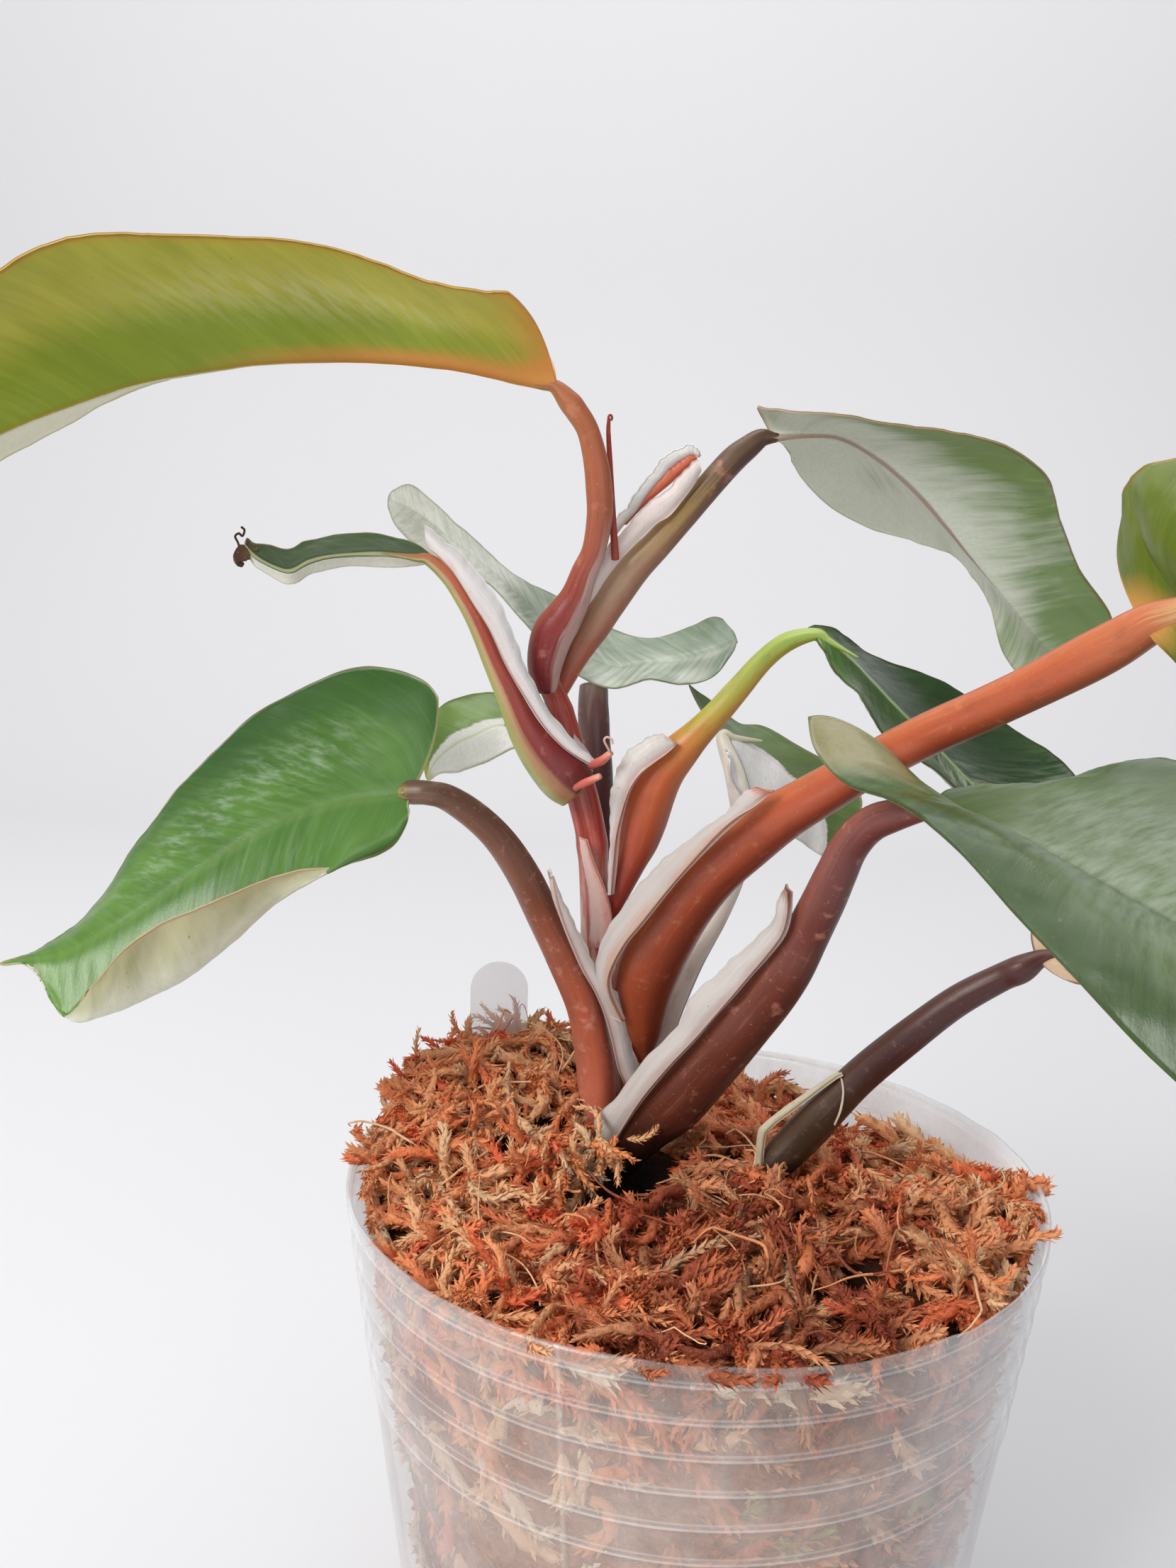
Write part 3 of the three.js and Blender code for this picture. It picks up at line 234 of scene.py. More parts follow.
# sheath strips: outer edge, inner edge
STRIPS = {
    "sheath_4": {"stalk": "leaf_stalk_4", "a": [
        [-12.87, 4, 107.67],
        [-13.75, 3, 111.43],
        [-13.86, 2, 114.99],
        [-12.02, 0, 120.44],
        [-9.07, -2, 125.51],
        [-6.6, -4, 128.95],
        [-4.11, -6, 132.21],
        [0.21, -9, 136.32],
        [2.28, -11, 138.51],
        [3.4, -12, 140.82],
        [5.21, -13, 141.87],
    ], "b": [
        [-10.08, 2.5, 106.43],
        [-11.79, 1, 110.8],
        [-11.81, 0, 113.86],
        [-9.98, -2.2, 118.42],
        [-7.66, -4.2, 122.17],
        [-4.68, -6, 126.88],
        [-2.59, -8, 130.14],
        [0.79, -11, 135.01],
        [3.14, -12.5, 137.79],
        [5.17, -13, 139.52],
        [7.16, -13.5, 141.57],
    ]},
    "sheath_5": {"stalk": "leaf_stalk_5", "a": [
        [-13.05, 7.5, 122.12],
        [-12.97, 7, 126.84],
        [-12.98, 6.6, 131.27],
        [-13.01, 6.3, 135.62],
        [-12.55, 6.2, 138.78],
        [-11.34, 6.2, 141.27],
        [-9.31, 6.4, 143.29],
        [-7.15, 6.6, 144.19],
        [-5.02, 6.8, 143.32],
    ], "b": [
        [-12.43, 6.8, 122.35],
        [-12.14, 6, 126.85],
        [-11.87, 5.6, 130.8],
        [-11.22, 5.3, 134.32],
        [-10.39, 5.2, 137.11],
        [-9.18, 5.2, 139.13],
        [-7.6, 5.6, 140.53],
        [-6.02, 6, 141.74],
        [-4.62, 6.4, 143.03],
    ]},
    "sheath_6": {"stalk": "leaf_stalk_6", "a": [
        [-13.27, 4, 89.38],
        [-13.46, 3, 92.2],
        [-10.3, 1, 96.67],
        [-6.2, -2, 103.95],
        [-2.69, -4.5, 109.21],
        [-1.55, -6, 112.85],
        [1.36, -8, 116.79],
        [3.21, -9.5, 119.68],
        [5.74, -11.5, 122.8],
        [7.84, -13.5, 125.99],
        [8.27, -15, 129.21],
        [9.09, -16, 131.31],
    ], "b": [
        [-11.14, 2, 88.03],
        [-9.84, 1, 91.36],
        [-7.06, -2, 97.43],
        [-3.61, -4.5, 103.33],
        [-0.62, -6.5, 107.86],
        [1.28, -8, 111.09],
        [3.84, -10.5, 115.47],
        [5.61, -12, 118.53],
        [7.63, -14, 122.06],
        [9.13, -15.5, 125.14],
        [9.57, -16.5, 128.03],
        [9.49, -16.8, 130.63],
    ]},
    "sheath_8": {"stalk": "leaf_stalk_8", "a": [
        [-19.9, -2.2, 127.93],
        [-18.72, -1.6, 124.76],
        [-17.11, -0.6, 121.37],
        [-15.67, 0.6, 117.84],
        [-14.21, 2, 114.19],
        [-12.34, 3, 111.22],
        [-10.64, 4, 108.6],
        [-9.43, 5.2, 104.03],
        [-8.34, 6, 98.91],
        [-7.28, 6.4, 95.54],
    ], "b": [
        [-19.71, -3, 127.79],
        [-19.23, -2.6, 124.65],
        [-18.26, -1.7, 121.26],
        [-17.01, -0.6, 117.58],
        [-15.57, 0.8, 113.74],
        [-13.9, 1.9, 110.34],
        [-12.57, 3, 106.67],
        [-11.58, 4, 102.75],
        [-10.75, 4.8, 98.84],
        [-9.53, 5.4, 95.61],
    ]},
    "sheath_3": {"stalk": "leaf_stalk_3", "a": [
        [-37.6, 4.4, 170.15],
        [-35.33, 4, 168.56],
        [-32.9, 3.6, 166.81],
        [-30.94, 3.4, 164.77],
        [-28.69, 3.6, 162.36],
        [-26.98, 4, 159.01],
        [-25.27, 4.6, 154.88],
        [-23.8, 5, 151.35],
        [-21.58, 5.6, 147.05],
        [-18.25, 6.4, 143.16],
        [-15.44, 7, 140.37],
    ], "b": [
        [-36.87, 3.6, 167.21],
        [-35.48, 3, 166.13],
        [-33.62, 2.8, 164.36],
        [-32.16, 2.8, 162.29],
        [-30.91, 3, 160.28],
        [-28.94, 3.4, 157.2],
        [-26.85, 3.8, 152.83],
        [-24.55, 4.2, 148.96],
        [-22.08, 4.8, 145.11],
        [-19.15, 5.6, 141.95],
        [-15.74, 6.4, 139.72],
    ]},
    "sheath_2": {"stalk": "leaf_stalk_2", "a": [
        [-20.58, 9.2, 156.98],
        [-19.41, 9, 159.24],
        [-17.76, 9.2, 162.21],
        [-16.03, 9.4, 165.15],
        [-14.48, 9.4, 168.08],
        [-12.04, 9.6, 170.84],
        [-10.14, 10, 173.02],
        [-7.53, 10.4, 175.22],
        [-5.3, 10.8, 177.59],
        [-3.75, 11, 179.04],
    ], "b": [
        [-19.71, 9.8, 156.77],
        [-18.61, 9.6, 158.12],
        [-16.32, 9.8, 161.31],
        [-14.57, 9.8, 164.1],
        [-12.28, 9.8, 167.06],
        [-8.97, 10.2, 170.56],
        [-7.05, 10.6, 171.86],
        [-5.51, 11, 173.86],
        [-4.16, 11.4, 175.86],
        [-3.34, 11.6, 177.65],
    ]},
    "flap_2": {"stalk": "leaf_stalk_2", "a": [
        [-15, 10.8, 169.46],
        [-13.61, 10.8, 171.84],
        [-12.37, 10.8, 172.95],
        [-11.01, 11, 175.31],
        [-9.29, 11.2, 177.66],
        [-7.74, 11.4, 179.47],
        [-6.16, 11.6, 180.4],
        [-4.56, 11.8, 180.8],
        [-3.54, 11.8, 180.12],
    ], "b": [
        [-14.13, 11.6, 169.11],
        [-12.72, 11.6, 170.96],
        [-11.15, 11.8, 172.8],
        [-9.6, 12, 175.17],
        [-8.04, 12.2, 177],
        [-6.65, 12.4, 178.46],
        [-5.24, 12.5, 179.39],
        [-4.17, 12.5, 179.77],
        [-3.43, 12.4, 179.44],
    ]},
    "groove_2": {"stalk": "leaf_stalk_2", "a": [
        [-13.25, 11.4, 170.59],
        [-11.52, 11.6, 173.15],
        [-9.96, 11.8, 175.16],
        [-8.22, 12, 177.17],
        [-6.65, 12.2, 178.64],
        [-5.07, 12.3, 179.74],
        [-4.35, 12.3, 179.76],
    ], "b": [
        [-12.53, 11.6, 170.6],
        [-11.13, 11.8, 172.26],
        [-9.2, 12, 174.11],
        [-7.26, 12.2, 175.78],
        [-5.69, 12.4, 177.25],
        [-4.12, 12.5, 178.71],
        [-3.79, 12.5, 179.25],
    ]},
    "sheath_7": {"stalk": "leaf_stalk_7", "a": [
        [8.11, 0, 88.33],
        [8.13, -0.6, 93.13],
        [8.95, -0.8, 94.88],
        [12.56, -1.2, 98.47],
        [16.98, -1.8, 102.45],
        [18.17, -2.2, 103.09],
    ], "b": [
        [8.9, -1.2, 88.69],
        [9.01, -1.8, 93.17],
        [9.72, -2.2, 94.99],
        [13.05, -2.6, 98.35],
        [17.06, -3.2, 102.38],
        [18.26, -3.2, 103.23],
    ]},
    "collar_7": {"stalk": "leaf_stalk_7", "a": [
        [17.62, -2.2, 103.24],
        [18.06, -3, 102.36],
        [18.28, -3.7, 100.86],
        [18.02, -4.1, 98.81],
        [17.43, -4.2, 96.88],
    ], "b": [
        [17.89, -2.3, 103.11],
        [18.32, -3.1, 102.33],
        [18.53, -3.8, 100.92],
        [18.29, -4.2, 98.77],
        [17.62, -4.2, 96.7],
    ]},
    "flap_3": {"stalk": "leaf_stalk_3", "a": [
        [-18.24, 8, 143.46],
        [-17.46, 8, 142.55],
        [-16.5, 8, 141.46],
        [-15.74, 8.2, 140.33],
    ], "b": [
        [-18.33, 8.5, 141.48],
        [-17.47, 8.5, 140.76],
        [-16.7, 8.5, 140.23],
        [-15.93, 8.5, 139.69],
    ]},
    "stem_wrap": {"stalk": "stem", "a": [
        [-17.26, 8.6, 129.61],
        [-16.67, 8.4, 126.28],
        [-15.91, 8.4, 122.88],
        [-15.53, 8.6, 118.89],
        [-15.51, 8.8, 114.33],
    ], "b": [
        [-16.12, 7.6, 129.42],
        [-15.06, 7.4, 126.33],
        [-13.61, 7, 123.2],
        [-12.55, 7, 119.54],
        [-12.41, 7.2, 114.74],
    ]},
}
# blades: rows from base to tip, each from margin to margin across the midrib
BLADES = {
    "leaf_1": {"cup": [-0.1, -0.08], "flip": 1, "rows": [
        [[-23.9, -3, 196.63], [-21.2, 5, 187.09], [-23.34, 16, 191.93]],
        [[-28.15, -5, 197.15], [-25.69, 5, 187.5], [-28.52, 24, 194.42]],
        [[-35.18, -7, 197.92], [-33.96, 2, 188.84], [-39.32, 27, 195.93]],
        [[-44.24, -10, 200], [-43.29, -1, 189.12], [-51.28, 27, 194.76]],
        [[-53.14, -15, 200.85], [-52.17, -6, 188.42], [-62.15, 23, 191.81]],
        [[-60.35, -20, 200.34], [-60.13, -10, 186.96], [-70.62, 16, 188.81]],
        [[-66.66, -26, 198.61], [-67.36, -14, 184.86], [-78.96, 9, 185.49]],
        [[-72.62, -31, 195.14], [-73.49, -18, 182.08], [-86.36, 3, 179.1]],
        [[-78.89, -35, 189.41], [-79.8, -22, 178.63], [-92.7, -5, 172.73]],
        [[-85.7, -38, 181.63], [-86.94, -27, 173.54], [-97.8, -14, 165.61]],
        [[-92.37, -38, 172.59], [-93.59, -31, 167.84], [-99.91, -24, 161.62]],
        [[-98.4, -35.5, 162.11], [-98.48, -35, 161.64], [-98.72, -34.5, 161.15]],
    ]},
    "leaf_2": {"cup": [-0.08, -0.08], "flip": 1, "rows": [
        [[7.97, 19, 180.27], [5.7, 15, 182.15], [2.36, 13, 186.28]],
        [[9.95, 22, 177.45], [9.31, 15.5, 182.79], [6.76, 9, 184.68]],
        [[14.67, 25, 173.27], [14.33, 16, 182.58], [14.85, 8, 184.82]],
        [[20.8, 27, 170.37], [19.57, 17, 180.07], [22.65, 8, 183.91]],
        [[26.16, 27, 169.48], [24.49, 18, 176.35], [29.17, 8, 182.46]],
        [[30.72, 26, 168.02], [29.1, 19, 171.74], [35.46, 9, 180.88]],
        [[34.09, 25, 164.35], [33.82, 20, 166.49], [40.16, 11, 178.05]],
        [[37.12, 25, 159.93], [38.6, 21, 161.44], [42.46, 14, 172.69]],
        [[39.33, 25, 154.18], [43.24, 22, 156.58], [45.95, 17, 166.58]],
        [[42.45, 24, 151.19], [47.4, 22.5, 153.33], [51.89, 20, 159.84]],
        [[49.86, 23.2, 150.92], [50.05, 23, 151.34], [50.33, 22.8, 151.86]],
    ]},
    "leaf_3": {"cup": [0.03, 0.03], "flip": 1, "rows": [
        [[-36.86, 3.6, 165], [-36.42, 3.2, 165.65], [-36.3, 4.4, 166.4]],
        [[-39.9, 2.6, 164.77], [-39.76, 1.2, 166.15], [-40.36, 4.6, 167.94]],
        [[-44.28, 2, 164.65], [-43.22, 0.3, 166.34], [-43.83, 4.6, 168.45]],
        [[-48.05, 1.2, 164.39], [-47.91, -0.6, 165.96], [-49.03, 4.2, 168.3]],
        [[-50.55, 0.4, 163.73], [-50.73, -1.4, 165.21], [-52.18, 3, 167.35]],
        [[-52.62, -0.6, 162.49], [-52.89, -2, 164.04], [-53.9, 2, 166.63]],
        [[-54.57, -1, 162.54], [-54.85, -2, 164.41], [-56.17, 1.4, 166.84]],
        [[-57.16, -1, 164.11], [-57.47, -1.6, 165.6], [-57.99, 0.6, 167.07]],
        [[-58.99, -0.8, 166.21], [-59, -1, 167], [-59, -0.4, 167.85]],
    ]},
    "leaf_4": {"cup": [-0.08, -0.08], "flip": 1, "rows": [
        [[37.55, -32, 172.19], [38.25, -41.5, 164.11], [39.4, -47, 161.81]],
        [[38.3, -33, 176.33], [40.45, -46, 165.95], [41.77, -55, 159.32]],
        [[41.97, -37, 180.08], [43.66, -52.5, 167.27], [46.18, -62, 157.77]],
        [[66, -44, 186], [69, -60, 161], [70, -68, 143]],
        [[75, -51, 183], [77, -68, 157], [78, -75, 140]],
        [[84, -60, 177], [85, -75, 152], [85, -82, 138]],
        [[91, -71, 166], [92, -82, 148], [91, -87, 137]],
        [[97.5, -86.5, 143], [97.6, -87, 142.3], [97.6, -87.5, 141.6]],
    ]},
    "leaf_5": {"cup": [-0.08, -0.08], "flip": 1, "rows": [
        [[12.85, 1, 156.57], [11.81, 4, 158.24], [10.49, 8, 158.98]],
        [[14, -1, 155.02], [13.8, 3, 157.27], [14.07, 10, 158.21]],
        [[16.03, -3, 152.51], [16.44, 3, 155.44], [18.27, 13, 155.88]],
        [[18.22, -4, 149.75], [19.41, 4, 152.61], [23.33, 16, 153.6]],
        [[21.33, -3, 146.45], [22.92, 5, 149.04], [29.8, 19, 150.83]],
        [[25.63, -1, 143.14], [27.65, 7, 144.67], [36.53, 21, 147.26]],
        [[30.42, 2, 139.12], [32.82, 9, 139.64], [42.73, 22, 143.46]],
        [[36.3, 6, 134.4], [38.75, 12, 134.57], [47.8, 22, 139.94]],
        [[43.12, 11, 129.28], [45.3, 15, 129.84], [51.33, 21, 135.16]],
        [[52.63, 17.6, 124.91], [52.98, 18, 125.22], [53.38, 18.6, 125.58]],
    ]},
    "leaf_6": {"cup": [0.1, 0.08], "flip": 1, "rows": [
        [[9.9, -19, 152.82], [22.47, -29, 143.74], [25.86, -22, 144.47]],
        [[10.55, -25, 148.79], [25.46, -32, 143.3], [31.08, -20, 144.47]],
        [[14.08, -31, 145.83], [28.61, -36, 142.74], [36.13, -19, 144.98]],
        [[18.74, -37, 145.1], [32.23, -40, 141.81], [40.49, -19, 146.6]],
        [[23.07, -43, 142.92], [35.94, -44, 140.68], [44.63, -21, 148.11]],
        [[27.45, -49, 138.76], [39.86, -48.5, 139.39], [49.16, -25, 148.84]],
        [[32, -55, 134.68], [44.04, -53, 137.93], [54.11, -30, 148.79]],
        [[36.94, -61, 130.38], [48.52, -58, 136.33], [58.57, -37, 147.64]],
        [[42.89, -67, 126.49], [53.04, -63, 134.68], [61.91, -46, 145.26]],
        [[49.57, -72, 124.27], [57.54, -68, 132.96], [64.12, -56, 141.01]],
        [[57.12, -75, 124.24], [61.57, -72, 130.83], [64.94, -66, 136.35]],
        [[64.69, -76.3, 128.61], [64.95, -76, 128.69], [65.25, -75.6, 128.83]],
    ]},
    "leaf_7": {"cup": [0.06, 0.06], "flip": 1, "rows": [
        [[41.78, -10, 119.73], [39.83, -7, 121.06], [39.12, -3, 124.05]],
        [[44.93, -13, 120.11], [43.42, -8, 122.85], [44.05, 0, 126.72]],
        [[49.94, -15, 120.28], [48.75, -9, 124.38], [51.15, 2, 129.29]],
        [[55.94, -16, 119.92], [54.85, -10, 125.06], [58.76, 2, 130.16]],
        [[61.91, -16, 118.61], [60.98, -11, 124.46], [65.39, 0, 129.27]],
        [[67.47, -16, 117.28], [67.16, -12, 122.6], [71.28, -3, 126.46]],
        [[72.67, -15, 115.95], [72.63, -13, 119.45], [75.11, -8, 122.14]],
        [[77.34, -14.2, 115.26], [77.48, -14, 115.45], [77.66, -13.7, 115.68]],
    ]},
    "leaf_8": {"cup": [0, 0], "flip": 1, "rows": [
        [[-36.01, -12, 134.83], [-35.9, -11, 136.35], [-36.21, -8, 138.14], [-33.29, 2, 145.07]],
        [[-37.7, -14, 132.36], [-37.61, -14, 134.01], [-39.46, -8, 137.98], [-37.43, 5, 149.78]],
        [[-41.46, -17, 131.29], [-41.82, -17.5, 132.42], [-44.94, -9, 137.04], [-45.13, 6, 151.47]],
        [[-45.33, -20, 131.02], [-46.14, -19, 129.69], [-50.69, -10.5, 135.14], [-52.4, 5, 149.35]],
        [[-50.13, -22, 130.12], [-51.45, -20, 125.58], [-55.98, -12, 132.22], [-58.44, 3, 145.85]],
        [[-54.03, -24, 128.8], [-55.95, -21, 121.15], [-60.82, -13.5, 128.8], [-64, 1, 140.16]],
        [[-58.25, -25, 127.02], [-60.09, -22, 117.77], [-65, -15, 125.8], [-68.67, -2, 134.65]],
        [[-62.06, -26, 124.76], [-64.45, -23, 115.42], [-68.8, -16.5, 123.01], [-72.3, -5, 129.76]],
        [[-65.29, -27, 122.22], [-68.79, -24, 113.6], [-72.45, -18, 120.78], [-74.96, -9, 124.28]],
        [[-69.59, -26, 117.56], [-72.6, -24, 112.48], [-75.61, -19.5, 119.04], [-76.98, -13, 120.48]],
        [[-74.37, -23.5, 112.7], [-75.64, -22.5, 114.18], [-78.41, -20.3, 118.52], [-79.11, -17, 118.99]],
        [[-78.54, -21.2, 117.58], [-79.5, -21, 117.81], [-80.78, -20.5, 118.18], [-80.91, -19.5, 118.54]],
        [[-83.12, -20.8, 117.52], [-83.16, -20.7, 117.6], [-83.21, -20.6, 117.68], [-83.26, -20.5, 117.76]],
    ]},
    "leaf_9": {"cup": [0.05, 0.05], "flip": 1, "rows": [
        [[2.14, 29, 152.37], [2.66, 31, 154.32], [1.98, 34, 156.17]],
        [[-0.64, 27, 149.66], [-0.31, 30, 152.78], [-0.75, 35, 157.02]],
        [[-4.59, 26.5, 148.24], [-5.14, 30.5, 151.31], [-4.85, 36, 155.32]],
        [[-9.74, 26.5, 148.23], [-10.48, 31, 150.52], [-10.51, 37, 153.75]],
        [[-14.61, 27, 147.15], [-15.42, 31, 150.02], [-16.34, 38, 154.71]],
        [[-19.19, 27.5, 148.84], [-20.46, 32, 152.09], [-20.89, 38, 157.08]],
        [[-24.16, 28, 152.37], [-25.84, 32.5, 156.3], [-25.55, 38, 159.77]],
        [[-28.49, 29, 156.19], [-30.71, 33, 160.43], [-30.41, 38, 162.02]],
        [[-32.85, 30, 160.75], [-34.96, 33, 163.89], [-34.67, 37.5, 165.05]],
        [[-37.22, 31, 164.21], [-39.28, 33.5, 166.8], [-38.89, 37, 168.47]],
        [[-43.17, 32, 165.19], [-43.09, 34, 169.74], [-42.66, 37, 172.08]],
        [[-47.62, 33, 168.6], [-46.58, 34, 171.68], [-46.19, 36, 174.96]],
        [[-49.33, 34, 171.9], [-49.34, 34.5, 172.72], [-49.25, 35, 173.74]],
    ]},
    "leaf_10": {"cup": [0.06, 0.06], "flip": 1, "rows": [
        [[-21.88, 17.5, 139.13], [-23.01, 20, 140.84], [-24.05, 23, 143.75]],
        [[-24.92, 15, 140.03], [-26.29, 19, 141.87], [-27.71, 25, 145.44]],
        [[-27.6, 14, 140.08], [-29.84, 18, 142.57], [-31.92, 25, 145.78]],
        [[-31.02, 13, 137.85], [-33.12, 17, 141.1], [-35.64, 24, 145.66]],
        [[-34.13, 13, 137.02], [-35.89, 17, 139.58], [-38.72, 22, 144.08]],
        [[-37.16, 14.5, 135.99], [-38.37, 17, 137.26], [-40.92, 20, 140.04]],
        [[-39.6, 17.2, 134.34], [-39.76, 17.5, 134.57], [-40.03, 17.8, 134.91]],
    ]},
    "leaf_11": {"cup": [-0.05, -0.05], "flip": 1, "rows": [
        [[1.97, 24, 139.06], [0.98, 26, 140.91], [-3.97, 31, 147.58]],
        [[2.53, 22, 137.62], [3.31, 27, 140.64], [-0.67, 32, 144.87]],
        [[3.17, 22, 134.81], [5.61, 28, 139.54], [3.29, 33, 142.05]],
        [[4.66, 22, 132.64], [8.06, 29, 137.81], [7.17, 34, 141.64]],
        [[6.75, 22, 130.7], [10.73, 29, 135.64], [12.21, 34, 138.79]],
        [[9.37, 23, 128.75], [13.42, 29, 133.15], [16.91, 34, 136.56]],
        [[11.79, 24, 127.4], [15.23, 28, 130.83], [20.84, 33, 133.74]],
        [[13.96, 25.5, 125.89], [16.38, 27.5, 128.05], [21.92, 31, 130.29]],
        [[15.5, 26.3, 124.62], [16.7, 27, 125.66], [18.83, 28, 126.8]],
        [[16.81, 27, 123.77], [16.91, 27.1, 123.96], [17.11, 27.3, 124.24]],
    ]},
}

CUP_FOOT_R, CUP_TOP_R, CUP_TOP_RIB_Z, CUP_RIM_Z = 34.5, 45.0, 86.0, 87.4
RIB_PITCH, RIB_COUNT = 4.6, 6
DRAIN_R, DRAIN_RING, DRAIN_COUNT = 3.5, 21.0, 6


def wall_r(z):
    return CUP_FOOT_R + (CUP_TOP_R - CUP_FOOT_R) * (z / CUP_TOP_RIB_Z)


def bump(x, y, cx, cy, r, h):
    return h * np.exp(-((x - cx) ** 2 + (y - cy) ** 2) / (2 * r * r))


def moss_top(x, y):
    return (
        85.6
        + bump(x, y, -30, 12, 11, 10.5)
        + bump(x, y, -22, 27, 9, 5.5)
        + bump(x, y, -8, 4, 15, 2.6)
        + bump(x, y, 22, -14, 14, 2.4)
        + bump(x, y, -6, -30, 12, 1.2)
        - bump(x, y, 26, 32, 14, 7.5)
        - bump(x, y, -8.5, -0.8, 5.2, 5.6)
        - bump(x, y, 20, -23.5, 2.8, 2.6)
        + 0.9 * np.sin(0.45 * x + 1.3) * np.sin(0.5 * y + 0.4)
    )


# ------------------------------------------------------------------ numeric helpers
def unit(a):
    n = np.linalg.norm(a, axis=-1, keepdims=True)
    return a / np.maximum(n, 1e-12)


def spline(points, n, ends=True):
    """n points at even index steps along a smooth curve through points (k, d)."""
    p = np.asarray(points, float)
    k = len(p)
    f = np.linspace(0, k - 1, n)
    i = np.minimum(f.astype(int), k - 2)
    s = (f - i)[:, None]
    ext = np.vstack([2 * p[0] - p[1], p, 2 * p[-1] - p[-2]])
    p0, p1, p2, p3 = ext[i], ext[i + 1], ext[i + 2], ext[i + 3]
    return 0.5 * (
        2 * p1
        + (p2 - p0) * s
        + (2 * p0 - 5 * p1 + 4 * p2 - p3) * s**2
        + (3 * p1 - p0 - 3 * p2 + p3) * s**3
    )


def smooth(a, b, x):
    t = np.clip((x - a) / (b - a), 0, 1)
    return t * t * (3 - 2 * t)


def wave_noise(x, y, seed=0.0, octaves=4):
    """A smooth, repeatable pattern between about -1 and 1."""
    v = np.zeros(np.broadcast(x, y).shape)
    amp, f = 1.0, 1.0
    for k in range(octaves):
        a = 1.7 * k + seed
        v = v + amp * np.sin(f * (x * math.cos(a) + y * math.sin(a)) + 2.3 * a + 1.3 * np.sin(f * (y * math.cos(a * 1.3) - x * math.sin(a * 0.7)) + a))
        amp *= 0.55
        f *= 1.9
    return v / 2.0


def build_mesh(name, verts, quads=None, tris=None, attrs=None, uv=None, colors=None, smooth_shade=True, mats=(), mat_index=None):
    """verts in mm; quads and tris are index arrays; attrs are per-vertex floats; colors are per-vertex RGB."""
    v = np.asarray(verts, np.float32) * MM
    me = bpy.data.meshes.new(name)
    nq = 0 if quads is None else len(quads)
    nt = 0 if tris is None else len(tris)
    loops = np.concatenate([np.asarray(a, np.int32).ravel() for a in (quads, tris) if a is not None and len(a)])
    starts = np.concatenate([np.arange(nq) * 4, nq * 4 + np.arange(nt) * 3]).astype(np.int32)
    me.vertices.add(len(v))
    me.vertices.foreach_set("co", v.ravel())
    me.loops.add(len(loops))
    me.loops.foreach_set("vertex_index", loops)
    me.polygons.add(nq + nt)
    me.polygons.foreach_set("loop_start", starts)
    for m in mats:
        me.materials.append(m)
    if mat_index is not None:
        me.polygons.foreach_set("material_index", np.asarray(mat_index, np.int32))
    me.update(calc_edges=True)
    me.validate()
    if smooth_shade == "quads":
        me.polygons.foreach_set("use_smooth", np.arange(len(me.polygons)) < nq)
    elif smooth_shade:
        me.polygons.foreach_set("use_smooth", np.ones(len(me.polygons), bool))
    else:
        me.polygons.foreach_set("use_smooth", np.zeros(len(me.polygons), bool))
    for key, val in (attrs or {}).items():
        a = me.attributes.new(key, "FLOAT", "POINT")
        a.data.foreach_set("value", np.asarray(val, np.float32).ravel())
    if colors is not None:
        a = me.color_attributes.new("Col", "FLOAT_COLOR", "POINT")
        c = np.ones((len(v), 4), np.float32)
        c[:, :3] = colors
        a.data.foreach_set("color", c.ravel())
    if uv is not None:
        layer = me.uv_layers.new(name="UVMap")
        idx = np.zeros(len(me.loops), np.int32)
        me.loops.foreach_get("vertex_index", idx)
        layer.data.foreach_set("uv", np.asarray(uv, np.float32)[idx].ravel())
    me.update()
    o = bpy.data.objects.new(name, me)
    bpy.context.scene.collection.objects.link(o)
    return o


def grid_quads(nr, nc, start=0, flip=False, wrap=False):
    i = np.arange(nr - 1)[:, None]
    j = np.arange(nc if wrap else nc - 1)[None, :]
    j2 = (j + 1) % nc
    a = start + i * nc + j
    b = start + i * nc + j2
    c = start + (i + 1) * nc + j2
    d = start + (i + 1) * nc + j
    q = np.stack([a, b, c, d], -1).reshape(-1, 4)
    return q[:, ::-1] if flip else q


# ------------------------------------------------------------------ node helpers
def rgb(r, g, b, srgb=True):
    """An 8-bit screen colour as a linear shader colour."""
    out = []
    for c in (r, g, b):
        c = c / 255.0
        out.append(c / 12.92 if c <= 0.04045 else ((c + 0.055) / 1.055) ** 2.4)
    return (*out, 1.0)


